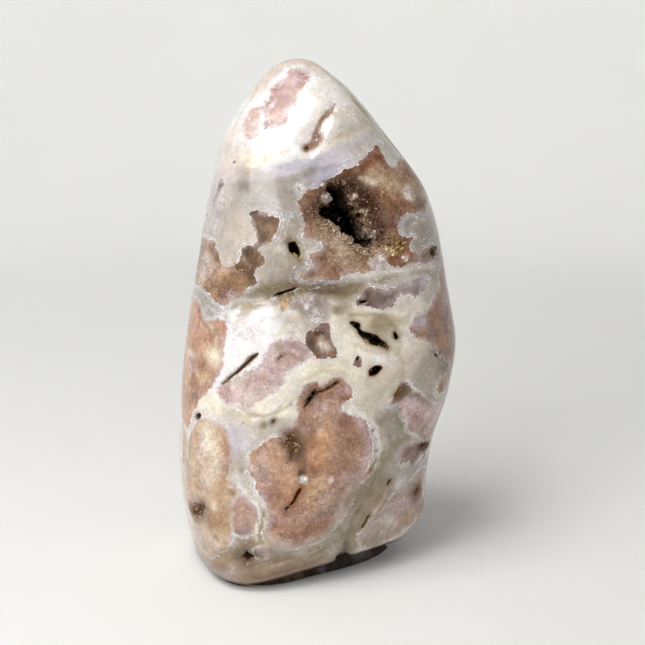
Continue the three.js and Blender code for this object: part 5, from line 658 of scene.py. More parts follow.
    ('i', 316.4, 62.0, 2.55, 2.32, 'bark', 0.95),
    ('i', 314.5, 59.3, 1.82, 1.65, 'umber', 0.8),
    ('i', 324.5, 57.6, 1.57, 1.35, 'pinkpale', 0.7),
    ('i', 330.4, 54.3, 3.19, 2.49, 'lilac', 0.5),
    ('i', 333.5, 48.5, 3.92, 2.74, 'dusk', 0.6),
    ('i', 343.3, 39.7, 4.63, 2.8, 'bark', 0.9),
    ('i', 330.8, 39.3, 3.59, 2.72, 'cocoa', 0.6),
    ('i', 341.9, 24.9, 3.61, 1.9, 'cocoa', 0.9),
    ('i', 310.7, 19.2, 1.15, 1.2, 'coffee', 0.6),
    ('i', 331.5, 22.4, 3.62, 2.57, 'lilac', 0.5),
    ('i', 323.4, 18.4, 3.52, 3.12, 'pinkpale', 0.6),
    ('i', 311.6, 11.4, 1.44, 1.64, 'tan', 0.7),
    ('o', 251.7, 109.2, 1.17, 1.2, 'khaki', 0.8),
    ('o', 258.6, 103.2, 1.17, 1.18, 'khaki', 0.9),
    ('b', 249.9, 90.8, 1.46, 1.52, 'gold', 0.85),
    ('b', 249.0, 89.1, 0.78, 0.79, 'khaki', 0.6),
    ('o', 245.8, 93.3, 1.19, 1.22, 'khaki', 0.5),
    ('o', 260.2, 95.1, 1.04, 1.07, 'khaki', 0.6),
    ('o', 305.1, 145.0, 2.71, 3.29, 'bone', 0.55),
    ('o', 265.7, 91.1, 2.68, 2.81, 'mauve', 0.42),
    ('o', 256.8, 90.0, 1.77, 1.83, 'dusk', 0.5),
    ('o', 285.7, 92.0, 2.48, 2.5, 'olive', 0.55),
    ('o', 242.6, 92.1, 2.14, 2.17, 'olive', 0.45),
    ('o', 250.6, 86.5, 1.78, 1.78, 'greige', 0.5),
    ('o', 245.6, 102.8, 2.68, 2.64, 'warmgrey', 0.5),
    ('i', 317.1, 61.6, 1.83, 1.66, 'bark', 0.9),
    ('i', 344.5, 102.7, 3.24, 1.58, 'umber', 0.6),
    ('o', 228.3, 142.7, 2.24, 2.71, 'pinkwhite', 0.5),
    ('i', 214.0, 23.2, 6.17, 4.54, 'tan', 0.4),
    ('i', 264.7, 112.1, 2.07, 2.05, 'cinnamon', 0.5),
    ('i', 256.8, 30.8, 2.73, 2.82, 'cinnamon', 0.5),
    ('i', 228.1, 22.1, 3.4, 2.67, 'tan', 0.5),
    ('o', 227.8, 12.2, 3.92, 3.1, 'earth', 0.7),
    ('o', 328.9, 30.4, 2.49, 1.88, 'pale', 0.5),
    ('i', 296.9, 92.1, 1.81, 1.81, 'umber', 0.6),
    ('o', 312.5, 47.3, 2.5, 2.4, 'khaki', 0.35),
    ('i', 275.4, 64.6, 1.84, 1.87, 'pinkpale', 0.5),
    ('o', 280.0, 88.5, 1.53, 1.49, 'khaki', 0.8),
    ('o', 284.8, 88.9, 2.79, 2.77, 'olive', 0.65),
    ('o', 265.8, 91.6, 2.09, 2.22, 'dusk', 0.75),
    ('o', 267.8, 88.2, 1.78, 1.78, 'mauve', 0.45),
    ('o', 253.7, 85.6, 2.07, 2.07, 'greige', 0.6),
    # bronze in the long groove: painted shade
    ('o', 277.0, 94.9, 2.71, 2.91, 'bronze', 0.8),
    ('o', 268.5, 95.3, 1.8, 1.88, 'bronze', 0.7),
    ('o', 245.5, 54.4, 1.21, 1.23, 'khaki', 0.75),
    ('o', 249.1, 55.6, 0.9, 0.93, 'bark', 0.5),
    ('o', 240.3, 39.9, 0.92, 0.94, 'khaki', 0.45),
    ('o', 242.0, 14.0, 1.25, 1.74, 'olive', 0.6),
    ('o', 301.6, 73.3, 1.63, 1.53, 'white', 0.95),
    ('o', 269.1, 103.7, 1.78, 1.77, 'white', 0.95),
    ('b', 262.3, 89.7, 0.89, 0.9, 'white', 0.8),
    ('o', 288.5, 57.4, 0.96, 0.94, 'white', 0.8),
    ('o', 284.0, 59.4, 0.83, 0.78, 'white', 0.9),
    ('o', 296.9, 55.0, 0.87, 0.85, 'white', 0.9),
    ('o', 321.8, 31.8, 0.87, 0.87, 'coffee', 0.6),
    ('b', 304.6, 50.6, 0.83, 0.81, 'umber', 0.95),
    ('b', 307.6, 46.8, 0.77, 0.75, 'khaki', 0.95),
    ('b', 309.3, 43.4, 0.88, 0.84, 'umber', 0.95),
    ('b', 310.3, 39.8, 1.42, 0.96, 'khaki', 0.95),
    ('b', 309.5, 37.1, 1.03, 0.76, 'cocoa', 0.9),
    ('o', 254.3, 122.9, 0.38, 0.39, 'rosebrown', 0.9),
    ('o', 259.3, 123.9, 0.35, 0.36, 'cocoa', 0.8),
    ('b', 193.2, 113.6, 1.23, 0.54, 'cocoa', 0.85),
    ('b', 203.0, 120.1, 0.97, 0.44, 'cocoa', 0.7),
    ('b', 205.7, 123.2, 0.85, 0.45, 'cocoa', 0.6),
    ('o', 236.1, 54.5, 0.4, 0.37, 'mauve', 0.8),
    ('o', 220.9, 136.3, 0.38, 0.39, 'plum', 0.9),
    ('o', 323.9, 151.4, 0.71, 0.89, 'lavgrey', 0.8),
    ('b', 333.4, 72.5, 0.66, 0.44, 'coffee', 0.9),
    ('b', 335.3, 71.3, 1.0, 0.64, 'coffee', 0.9),
]
# frosted, fibrous places of the chalcedony: degrees, height, reach, strength
FIBRES = [
    (231.8, 80.7, 5.47, 1.0),
    (239.9, 85.1, 4.82, 0.9),
    (228.8, 72.7, 3.86, 0.8),
    (263.6, 92.5, 2.89, 1.0),
    (266.6, 87.0, 2.89, 0.9),
    (256.8, 83.0, 2.57, 0.7),
    (325.1, 83.5, 3.22, 1.0),
    (322.5, 80.6, 2.57, 0.8),
    (323.3, 94.0, 2.57, 0.8),
    (315.3, 151.3, 2.89, 0.9),
    (262.9, 120.7, 1.61, 0.7),
    (209.4, 119.3, 3.86, 0.5),
    (206.2, 111.5, 3.22, 0.5),
    (226.2, 118.4, 3.22, 0.35),
    (240.3, 119.3, 3.22, 0.25),
    (252.2, 115.5, 2.89, 0.4),
    (247.0, 107.4, 2.57, 0.5),
    (308.5, 148.3, 2.57, 0.9),
    (323.3, 143.4, 2.89, 0.6),
    (340.0, 136.1, 2.89, 0.5),
    (262.1, 128.7, 2.89, 0.2),
    (319.5, 134.4, 2.57, 0.5),
    (251.5, 12.1, 2.57, 0.5),
    (271.1, 12.4, 2.89, 0.5),
    (297.3, 31.8, 2.57, 0.4),
    (318.9, 77.8, 2.89, 0.5),
    (309.6, 71.7, 2.89, 0.4),
    (322.3, 146.8, 2.89, 0.9),
    (215.0, 137.1, 3.22, 0.8),
    (234.2, 134.8, 4.5, 0.8),
    (251.4, 139.9, 5.14, 0.5),
    (297.1, 155.2, 2.57, 0.7),
    (136.1, 142.9, 2.57, 0.6),
    (259.8, 123.6, 2.57, 0.8),
    (269.1, 104.0, 2.25, 0.8),
    (331.7, 117.3, 1.93, 0.5),
    (219.6, 86.9, 2.89, 0.7),
    (244.5, 43.3, 2.57, 0.7),
    (239.3, 33.7, 2.25, 0.7),
    (323.3, 50.7, 2.25, 0.4),
    (323.5, 40.4, 2.25, 0.4),
    (325.8, 80.3, 2.57, 0.6),
    (258.7, 70.6, 1.93, 0.5),
    (286.3, 56.9, 2.57, 0.7),
    (274.5, 73.8, 1.61, 0.4),
    (241.0, 52.0, 2.57, 0.5),
    (219.1, 58.8, 2.57, 0.6),
    (294.9, 55.8, 1.93, 0.7),
    (257.2, 67.0, 1.93, 0.5),
    (30.0, 128.0, 8.0, 0.8),
    (60.0, 112.0, 9.0, 0.8),
    (100.0, 122.0, 8.0, 0.7),
    (86.0, 88.0, 8.0, 0.7),
    (125.0, 76.0, 9.0, 0.9),
    (110.0, 40.0, 8.0, 0.7),
    (150.0, 60.0, 8.0, 0.8),
    (172.0, 96.0, 8.0, 0.7),
    (178.0, 66.0, 7.0, 0.7),
    (20.0, 86.0, 7.0, 0.7),
    (50.0, 44.0, 8.0, 0.7),
    (75.0, 140.0, 7.0, 0.8),
]
# the open hollows: outline on the surface, direction inwards, depth; dark sets how much painted shade fills each one
HOLLOWS = [
    dict(name='main_hollow', depth=22, dir=[-0.093, 0.981, -0.169], pts=[[3.5, -20.4, 124.3], [6.6, -20.2, 124.6], [8.3, -20.2, 124.2], [9.2, -20.4, 122.9], [9.7, -20.6, 121.5], [10.2, -20.8, 120.2], [10.8, -20.8, 118.9], [12.2, -20.8, 118.0], [12.9, -20.9, 116.5], [14.2, -20.9, 116.0], [14.1, -21.0, 114.4], [14.3, -21.1, 113.3], [15.3, -21.1, 111.4], [15.8, -21.1, 109.6], [17.1, -20.8, 108.4], [17.8, -20.6, 107.6], [16.7, -20.9, 106.7], [16.4, -21.2, 105.7], [15.2, -21.7, 105.9], [13.8, -22.1, 106.9], [12.1, -22.7, 107.5], [11.8, -22.4, 108.9], [9.5, -22.9, 110.3], [6.7, -23.5, 112.4], [5.7, -23.3, 114.0], [4.0, -23.4, 115.0], [2.4, -23.6, 115.8], [1.2, -23.2, 117.5], [2.3, -22.2, 118.9], [4.6, -21.6, 119.3], [5.2, -21.0, 121.0], [4.2, -20.7, 122.5]], stain=('coffee', 1.8, 0.7), dark=2.2, ragged=1.1, wall=1.0, wider=1.0),
    dict(name='upper_pit', depth=7, dir=[-0.02, 0.983, -0.18], pts=[[-7.8, -26.3, 108.3], [-7.1, -26.2, 108.4], [-6.1, -26.2, 108.8], [-5.1, -26.1, 107.0], [-4.5, -26.6, 105.3], [-4.6, -27.0, 104.1], [-5.4, -26.9, 104.3], [-6.0, -26.5, 105.0], [-7.1, -26.4, 105.5], [-7.7, -26.3, 106.5]], stain=('khaki', 1.1, 0.8), wall=0.7, dark=2.0, ragged=0.5, wider=0.15, crystals=0.3, tones=['gold', 'honey', 'coffee']),
    dict(name='long_slit', depth=3.6, dir=[-0.003, 0.992, -0.129], pts=[[-12.9, -26.2, 92.4], [-11.4, -26.3, 93.4], [-9.6, -26.3, 94.1], [-7.5, -26.2, 94.6], [-5.7, -26.2, 95.3], [-4.4, -26.0, 95.0], [-6.0, -26.1, 94.2], [-7.8, -26.5, 93.2], [-9.6, -26.6, 92.6], [-11.7, -26.5, 92.0]], stain=('khaki', 1.5, 0.9), wall=0.9, dark=0.85, ragged=0.5),
    dict(name='right_hollow', depth=9, dir=[-0.094, 0.973, -0.213], pts=[[10.5, -26.4, 84.1], [11.8, -26.1, 84.3], [13.2, -26.0, 83.6], [13.6, -25.9, 82.2], [14.6, -25.7, 81.0], [17.0, -25.3, 80.6], [18.8, -24.8, 79.4], [20.1, -24.5, 78.1], [21.3, -24.0, 77.1], [22.2, -24.0, 75.5], [21.0, -24.5, 75.7], [19.1, -25.1, 76.5], [17.0, -25.7, 77.3], [15.5, -26.0, 78.3], [14.3, -26.0, 79.8], [13.0, -26.2, 80.9], [12.4, -26.1, 82.1], [11.2, -26.3, 83.1]], stain=('khaki', 1.2, 0.6), wall=0.85, dark=2.2, ragged=0.9, wider=0.2, crystals=0.3, csize=0.3, tones=['bark', 'coffee', 'honey', 'umber']),
    dict(name='rimmed_pit', depth=3.5, dir=[-0.031, 0.99, -0.138], pts=[[23.6, -22.9, 80.5], [24.3, -22.8, 80.1], [25.0, -22.7, 78.6], [24.8, -22.8, 77.9], [24.1, -22.8, 78.1], [23.8, -22.9, 79.2]], stain=('khaki', 0.8, 0.8), wall=0.55, dark=1.4, ragged=0.5, wider=0.15, crystals=0.5, tones=['gold', 'honey', 'coffee'], csize=0.22),
    dict(name='round_pit', depth=5.5, dir=[-0.113, 0.973, -0.199], pts=[[16.4, -27.3, 68.2], [16.3, -27.0, 69.5], [17.5, -26.5, 70.4], [19.1, -26.3, 70.7], [20.1, -26.2, 70.1], [19.5, -26.3, 69.0], [18.3, -26.7, 67.9], [17.0, -27.1, 67.7]], stain=('cinnamon', 0.7, 0.7), wall=0.8, dark=2.0, ragged=0.6, wider=0.2, crystals=0.3, tones=['rust', 'honey', 'bark']),
    dict(name='pin_pit', depth=2.2, dir=[-0.119, 0.972, -0.202], pts=[[13.1, -28.3, 73.4], [12.8, -28.4, 73.0], [12.4, -28.5, 73.0], [12.1, -28.6, 73.3], [12.2, -28.5, 73.8], [12.5, -28.4, 74.2], [12.9, -28.2, 74.2], [13.1, -28.2, 73.9]], stain=('rosebrown', 0.6, 0.6), wall=0.5, dark=0.8, ragged=0.4),
    dict(name='olive_slit', depth=1.4, dir=[0.212, 0.961, -0.176], pts=[[-28.5, -27.7, 65.3], [-26.9, -28.1, 67.0], [-25.3, -28.6, 68.7], [-23.8, -29.0, 70.2], [-22.5, -29.3, 71.6], [-21.0, -29.6, 73.0], [-19.5, -29.9, 74.6], [-17.3, -30.3, 75.9], [-17.1, -30.4, 75.3], [-18.6, -30.3, 73.8], [-20.1, -30.0, 72.3], [-21.6, -29.7, 70.7], [-22.9, -29.4, 69.4], [-24.1, -29.1, 68.5], [-25.6, -28.6, 67.4], [-27.2, -28.2, 65.7]], stain=('khaki', 0.3, 0.8), wall=0.55, dark=0.45, ragged=0.25, wider=0.12),
    dict(name='oval_brow', depth=2.6, dir=[-0.135, 0.982, -0.133], pts=[[-3.7, -32.3, 59.7], [-3.0, -31.6, 61.0], [-2.4, -31.2, 62.2], [-1.5, -31.0, 63.7], [-0.5, -31.1, 65.1], [0.8, -30.6, 64.7], [2.0, -30.3, 64.7], [3.5, -30.0, 65.5], [5.0, -29.8, 66.6], [6.8, -29.4, 67.3], [7.8, -29.2, 66.9], [6.4, -29.3, 65.2], [4.7, -29.8, 64.2], [2.9, -30.4, 63.5], [0.9, -30.8, 63.1], [-0.1, -31.1, 62.2], [-1.3, -31.7, 60.8], [-2.7, -32.4, 59.3]], stain=('cinnamon', 1.6, 0.7), wall=1.0, dark=0.6, ragged=0.6, crystals=1.6, tones=['cocoa', 'umber', 'cinnamon', 'dusk'], csize=0.2),
    dict(name='oval_hollow', depth=1.7, dir=[-0.037, 0.994, -0.099], pts=[[-9.6, -33.5, 52.1], [-7.9, -33.5, 52.7], [-6.4, -33.4, 52.5], [-5.1, -33.4, 50.5], [-4.0, -33.3, 48.1], [-4.5, -33.3, 46.1], [-5.5, -33.3, 44.9], [-6.9, -33.4, 43.4], [-8.0, -33.4, 44.3], [-8.4, -33.5, 46.5], [-9.4, -33.5, 48.0], [-9.1, -33.5, 50.0]], stain=('umber', 1.6, 0.7), dark=0.3, ragged=1.0, crystals=2.2, tones=['umber', 'honey', 'cocoa', 'sand'], csize=0.22),
    dict(name='oval_slit', depth=2.2, dir=[-0.111, 0.981, -0.157], pts=[[-4.5, -33.3, 34.4], [-3.8, -33.2, 33.4], [-4.9, -33.5, 31.5], [-5.9, -33.8, 29.7], [-7.4, -34.1, 28.4], [-7.9, -34.1, 29.2], [-6.8, -33.8, 30.9], [-5.9, -33.5, 33.2]], stain=('rust', 1.0, 0.7), wall=0.8, dark=0.34, ragged=0.3),
    dict(name='low_left_pit', depth=2.2, dir=[0.754, 0.649, 0.101], pts=[[-40.2, -18.5, 21.4], [-38.3, -22.6, 24.8], [-35.6, -28.7, 28.4], [-33.8, -30.4, 27.8], [-33.8, -29.8, 25.2], [-35.6, -24.9, 20.8], [-37.9, -21.8, 18.9], [-39.8, -18.4, 18.9]], stain=('cocoa', 1.6, 0.6), dark=0.2, wall=1.6, ragged=1.4, crystals=2.4, tones=['umber', 'cocoa', 'dusk', 'lilac', 'tan'], csize=0.26),
    dict(name='star_pit', depth=1.8, dir=[0.118, 0.992, 0.053], pts=[[-23.8, -32.2, 11.2], [-22.2, -32.3, 12.1], [-21.3, -33.1, 14.1], [-20.7, -32.6, 12.8], [-19.0, -33.1, 12.2], [-17.3, -33.9, 13.0], [-19.0, -32.8, 11.1], [-20.3, -32.5, 10.1], [-21.2, -32.4, 9.3], [-22.0, -32.3, 10.5]], stain=('bronze', 1.8, 0.85), dark=0.9, wall=0.9, ragged=0.3),
    dict(name='tip_crack', depth=0.42, dir=[-0.078, 0.92, -0.383], pts=[[5.3, -7.6, 147.5], [5.7, -7.8, 146.9], [4.8, -8.7, 145.2], [3.7, -9.9, 143.8], [2.4, -10.6, 142.9], [1.6, -11.5, 141.7], [1.5, -12.6, 140.0], [2.7, -14.8, 137.8], [2.4, -15.6, 136.8], [0.8, -16.4, 135.3], [-1.5, -16.5, 134.2], [-3.2, -16.5, 134.3], [-3.3, -16.2, 135.1], [-1.9, -15.1, 136.4], [-1.0, -14.3, 137.6], [-0.5, -13.3, 139.2], [0.4, -12.2, 141.0], [1.3, -11.1, 142.7], [2.7, -9.8, 144.4], [4.1, -8.6, 145.8]], stain=('cinnamon', 0.35, 0.8), dark=0.12, wall=0.9, ragged=1.2, crystals=3.0, tones=['dusk', 'cinnamon', 'lavgrey', 'bone', 'cocoa'], csize=0.22),
    dict(name='limb_pocket', depth=2.2, dir=[-0.772, 0.604, -0.201], pts=[[35.4, -10.6, 104.1], [36.8, -8.5, 104.2], [37.8, -7.3, 102.9], [37.6, -8.2, 101.3], [36.4, -10.2, 100.9], [35.4, -11.1, 102.1]], stain=('coffee', 1.0, 0.6), dark=0.7, crystals=1.2, tones=['gold', 'coffee', 'umber']),
    dict(name='right_pocket', depth=1.6, dir=[-0.785, 0.602, 0.146], pts=[[31.8, -16.4, 41.1], [33.0, -15.2, 42.0], [34.8, -12.5, 41.7], [36.5, -8.4, 39.8], [35.9, -9.0, 37.8], [33.6, -13.3, 38.4]], stain=('umber', 1.2, 0.7), dark=0.45, wall=1.2, ragged=1.0, crystals=2.0, tones=['bark', 'umber', 'honey', 'khaki'], csize=0.2),
    dict(name='corner_pocket', depth=1.3, dir=[-0.78, 0.624, 0.038], pts=[[30.8, -13.3, 23.8], [31.5, -12.6, 25.6], [32.7, -11.1, 26.9], [33.5, -9.4, 25.2], [32.7, -10.6, 23.6], [31.6, -12.1, 22.7]], stain=('cocoa', 1.4, 0.7), dark=0.3, wall=1.2, ragged=1.0, crystals=2.0, tones=['cocoa', 'umber', 'mauve'], csize=0.2),
    dict(name='lobe_pocket', depth=1.6, dir=[-0.101, 0.99, -0.102], pts=[[14.3, -24.4, 17.5], [15.3, -24.3, 19.8], [16.7, -24.0, 21.6], [17.5, -23.9, 21.1], [17.0, -24.1, 19.7], [15.9, -24.2, 17.6], [14.9, -24.3, 16.7]], stain=('khaki', 1.2, 0.7), dark=0.5, wall=0.8, ragged=0.8, crystals=1.6, tones=['coffee', 'umber', 'khaki'], csize=0.2),
    dict(name='lobe_slit', depth=1.4, dir=[-0.265, 0.961, -0.075], pts=[[22.2, -21.9, 30.4], [22.8, -21.6, 32.1], [23.9, -21.3, 32.6], [23.9, -21.1, 31.3], [22.9, -21.7, 30.0]], stain=('khaki', 1.0, 0.6), dark=0.6, wall=0.6, ragged=0.4),
    dict(name='purple_hole', depth=3.0, dir=[0.04, 0.925, -0.377], pts=[[12.9, -24.9, 90.3], [13.7, -24.6, 90.9], [15.0, -24.7, 91.0], [15.6, -25.0, 90.5], [14.5, -25.2, 89.9], [13.3, -25.2, 89.9]], stain=('coffee', 1.0, 0.6), dark=1.0, wall=0.6, ragged=0.5),
    dict(name='left_pit', depth=2.2, dir=[0.674, 0.716, -0.181], pts=[[-37.1, -23.9, 53.8], [-36.5, -24.3, 55.1], [-35.5, -25.3, 55.5], [-35.1, -25.8, 54.8], [-35.6, -25.6, 53.7], [-36.5, -24.8, 52.9]], dark=1.0, wall=0.5, ragged=0.2),
    dict(name='centre_pit', depth=1.0, dir=[-0.103, 0.977, -0.187], pts=[[-1.0, -30.1, 82.0], [0.5, -29.8, 83.0], [2.0, -29.5, 83.5], [3.2, -29.5, 82.4], [3.6, -29.6, 80.9], [2.0, -30.0, 80.4], [0.2, -30.3, 80.4]], dark=0.25, crystals=1.2, tones=['plum', 'cocoa', 'dusk']),
    dict(name='flank_pit', depth=1.4, dir=[0.409, 0.898, -0.162], pts=[[-24.6, -21.9, 100.2], [-23.4, -22.4, 100.7], [-22.1, -23.3, 100.3], [-20.7, -24.3, 99.8], [-20.3, -24.7, 98.8], [-21.3, -24.4, 98.2], [-22.6, -23.7, 98.6], [-24.0, -22.7, 99.2]], stain=('honey', 1.4, 0.6), dark=0.42, wall=1.4, ragged=1.0, crystals=1.6, tones=['honey', 'umber', 'sand', 'tan'], csize=0.2),
    dict(name='back_hollow', depth=13, dir=[0.146, -0.986, -0.086], pts=[[-6.9, 28.7, 103.3], [-4.0, 28.8, 106.4], [-1.3, 29.1, 107.5], [1.2, 29.4, 107.6], [3.4, 29.8, 106.4], [3.4, 30.3, 102.8], [3.5, 30.6, 98.7], [0.8, 30.5, 94.9], [-2.3, 30.0, 94.3], [-4.4, 29.7, 95.4], [-6.2, 29.4, 96.5], [-8.7, 28.7, 98.6]], crystals=0.8, dark=0.8),
    dict(name='back_pit', depth=6, dir=[-0.289, -0.825, -0.486], pts=[[9.8, 27.8, 113.9], [8.9, 27.1, 116.0], [8.2, 26.2, 118.1], [9.1, 25.2, 119.2], [10.4, 24.3, 120.2], [12.8, 23.8, 119.8], [14.5, 24.6, 117.1], [15.4, 25.6, 115.2], [15.5, 26.4, 113.6], [15.9, 27.2, 111.0], [14.1, 27.9, 110.3], [11.7, 28.0, 112.2]], crystals=0.8, dark=0.8),
    dict(name='back_slit', depth=5, dir=[0.299, -0.944, -0.137], pts=[[-12.1, 30.1, 63.9], [-8.2, 30.9, 66.0], [-4.7, 31.5, 67.3], [-0.8, 32.2, 68.4], [-3.3, 32.1, 65.6], [-7.2, 31.7, 62.9], [-10.4, 31.1, 60.7], [-14.3, 30.1, 58.1], [-18.9, 28.2, 55.6], [-19.0, 28.0, 57.1], [-18.4, 28.3, 58.8], [-15.7, 29.2, 61.4]], crystals=0.8, dark=0.8),
    dict(name='back_pocket', depth=5, dir=[0.047, -0.997, -0.062], pts=[[-0.7, 34.0, 47.2], [-0.8, 33.9, 50.0], [2.4, 34.2, 51.2], [5.8, 34.5, 49.6], [8.2, 34.6, 48.6], [10.3, 34.6, 47.1], [12.4, 34.4, 44.6], [10.4, 34.7, 42.6], [7.4, 34.9, 41.8], [4.2, 34.8, 41.7], [1.8, 34.5, 43.4], [-0.1, 34.1, 45.0]], crystals=0.8, dark=0.8),
    dict(name='back_low_pit', depth=4, dir=[0.36, -0.922, 0.144], pts=[[-25.9, 23.0, 26.2], [-24.7, 23.8, 28.2], [-23.8, 24.3, 29.5], [-22.7, 25.0, 30.7], [-20.9, 25.8, 31.6], [-18.9, 26.6, 31.2], [-18.2, 26.4, 29.5], [-17.5, 25.9, 27.9], [-18.9, 25.4, 26.5], [-20.4, 24.8, 25.6], [-22.1, 24.3, 24.9], [-24.2, 23.5, 24.9]], crystals=0.8, dark=0.8),
    dict(name='side_hollow', depth=6, dir=[0.775, -0.624, -0.096], pts=[[-36.4, 12.3, 83.1], [-36.6, 11.2, 86.6], [-36.0, 11.3, 90.1], [-35.0, 12.6, 92.9], [-33.5, 15.0, 91.4], [-32.0, 17.0, 89.1], [-31.1, 18.2, 85.1], [-31.9, 17.9, 81.7], [-32.3, 18.0, 78.4], [-33.5, 17.0, 75.7], [-35.2, 14.8, 74.7], [-36.4, 12.8, 79.0]], crystals=0.8, dark=0.8),
    dict(name='side_pit', depth=4, dir=[-0.836, -0.512, -0.197], pts=[[33.7, 18.2, 105.7], [34.2, 16.8, 107.5], [35.1, 15.0, 108.4], [36.0, 13.6, 107.7], [36.7, 12.5, 106.4], [36.7, 13.6, 104.2], [36.8, 14.4, 102.6], [36.6, 15.5, 100.6], [35.8, 17.5, 99.2], [34.6, 19.0, 99.8], [34.3, 18.6, 102.3], [33.8, 18.8, 103.7]], crystals=0.8, dark=0.8),
    dict(name='side_slit', depth=3.5, dir=[-0.965, -0.203, 0.168], pts=[[42.4, 12.4, 57.1], [42.5, 13.9, 60.5], [42.6, 14.8, 63.5], [42.9, 13.8, 63.6], [43.2, 12.3, 62.2], [43.4, 11.1, 61.9], [43.5, 8.9, 59.0], [43.0, 7.0, 55.2], [42.6, 7.3, 53.8], [42.4, 7.9, 53.1], [42.1, 8.4, 52.4], [42.3, 10.3, 54.4]], crystals=0.8, dark=0.8),
    dict(name='back_top_pit', depth=3.5, dir=[0.156, -0.947, -0.28], pts=[[-10.4, 21.6, 134.4], [-9.4, 21.3, 136.1], [-8.0, 21.6, 136.2], [-6.8, 21.4, 137.2], [-5.3, 21.6, 137.2], [-4.5, 22.2, 135.5], [-5.1, 22.8, 133.4], [-6.3, 23.0, 132.1], [-7.2, 23.3, 130.6], [-8.5, 23.1, 130.5], [-9.7, 22.7, 130.9], [-10.5, 22.1, 132.3]], crystals=0.8, dark=0.8),
    dict(name='side_low_pit', depth=3.2, dir=[0.991, -0.107, -0.086], pts=[[-44.7, -1.2, 41.1], [-44.6, -0.5, 41.9], [-44.4, 0.5, 43.1], [-44.2, 2.4, 42.7], [-44.0, 3.9, 41.4], [-44.2, 3.9, 39.9], [-44.3, 4.0, 38.6], [-44.5, 3.2, 37.6], [-44.8, 1.7, 37.4], [-44.9, -0.1, 37.3], [-44.9, -1.6, 38.5], [-44.8, -2.3, 40.0]], crystals=0, dark=0.8),
    # the notch in the broken underside: its near-black ring is painted shade
    dict(name='underside_hollow', depth=1.6, dir=[-0.201, 0.352, 0.914], pts=[[-9.0, -26.0, 2.1], [-1.0, -25.6, 4.2], [4.6, -24.4, 5.4], [6.6, -27.8, 7.1], [10.4, -26.4, 7.7], [11.6, -21.8, 6.5], [17.0, -18.2, 6.8], [21.6, -13.6, 6.5], [25.0, -8.0, 5.5], [26.0, -1.0, 3.4], [21.0, -5.0, 3.4], [14.0, -11.0, 3.4], [6.0, -17.0, 3.2], [-2.0, -21.4, 2.5], [-9.0, -24.0, 1.4]], stain=('painted_shade', 1.0, 0.4), dark=0.0, wall=1.0, ragged=1.0),
    dict(name='brow_dark', depth=2.4, dir=[-0.057, 0.974, -0.22], pts=[[-2.4, -31.4, 61.3], [-1.8, -31.0, 62.7], [-1.0, -31.0, 64.1], [-0.0, -30.7, 64.2], [0.2, -30.8, 63.1], [-0.5, -31.2, 62.0], [-1.5, -31.7, 60.8]], stain=('umber', 0.8, 0.7), wall=0.7, dark=1.2, ragged=0.4),
    dict(name='tip_dot', depth=1.3, dir=[-0.14, 0.916, -0.377], pts=[[-3.5, -16.3, 134.9], [-2.9, -15.8, 135.7], [-1.9, -15.4, 135.9], [-1.5, -15.6, 135.4], [-2.1, -16.2, 134.5], [-3.1, -16.5, 134.3]], stain=('cinnamon', 0.8, 0.8), dark=0.55, wall=0.7, ragged=0.6),
    dict(name='oval_dot', depth=1.0, dir=[-0.111, 0.987, -0.119], pts=[[-9.4, -34.4, 28.2], [-8.1, -34.2, 28.8], [-7.5, -34.1, 28.1], [-8.4, -34.3, 27.3], [-9.3, -34.4, 27.4]], dark=0.8, wall=0.4, ragged=0.1),
    dict(name='right_crack', depth=1.4, dir=[-0.645, 0.76, -0.075], pts=[[36.1, -17.4, 73.3], [36.7, -16.8, 73.0], [37.3, -16.4, 72.0], [38.2, -15.4, 71.1], [37.8, -15.9, 70.4], [37.1, -16.6, 71.0], [36.8, -16.8, 72.0]], dark=1.0, wall=0.4, ragged=0.2),
    dict(name='olive_pit', depth=1.0, dir=[0.03, 0.993, -0.114], pts=[[-13.4, -33.3, 55.3], [-12.4, -33.3, 56.4], [-11.5, -33.3, 56.0], [-12.1, -33.4, 54.9], [-13.0, -33.4, 54.5]], dark=0.5, wall=0.6, ragged=0.2),
    dict(name='brown_pit', depth=0.9, dir=[-0.364, 0.932, -0.006], pts=[[23.3, -24.9, 60.5], [24.0, -24.7, 62.0], [25.0, -24.3, 63.5], [25.7, -24.0, 64.1], [26.7, -23.4, 63.4], [27.2, -23.0, 61.8], [26.1, -23.5, 60.7], [24.9, -24.1, 59.7]], dark=0.4, wall=1.2, crystals=1.0, tones=['cocoa', 'umber']),
    dict(name='mauve_crack', depth=0.6, dir=[0.067, 0.978, -0.198], pts=[[-11.7, -31.6, 74.1], [-10.5, -31.5, 75.2], [-9.4, -31.5, 76.0], [-9.3, -31.6, 75.5], [-10.3, -31.7, 74.5], [-11.2, -31.7, 73.8]], dark=0.4, wall=0.4, ragged=0.3),
]
# the shallow unpolished bowl round the main hollow
BOWL = [(286.9, 125.9), (297.2, 126.5), (302.9, 126.7), (306.2, 124.3), (311.7, 123.0), (315.8, 121.6), (313.4, 118.2), (310.6, 116.0), (312.8, 113.6), (315.8, 111.1), (319.8, 108.9), (325.0, 107.7), (325.6, 105.6), (325.3, 103.5), (319.4, 102.7), (313.7, 103.3), (307.9, 103.2), (300.5, 103.7), (294.3, 104.8), (287.9, 106.1), (282.2, 107.9), (277.2, 110.0), (271.7, 112.3), (266.3, 115.2), (263.4, 117.2), (264.5, 119.6), (268.7, 121.7), (274.0, 123.8), (280.6, 125.2)]
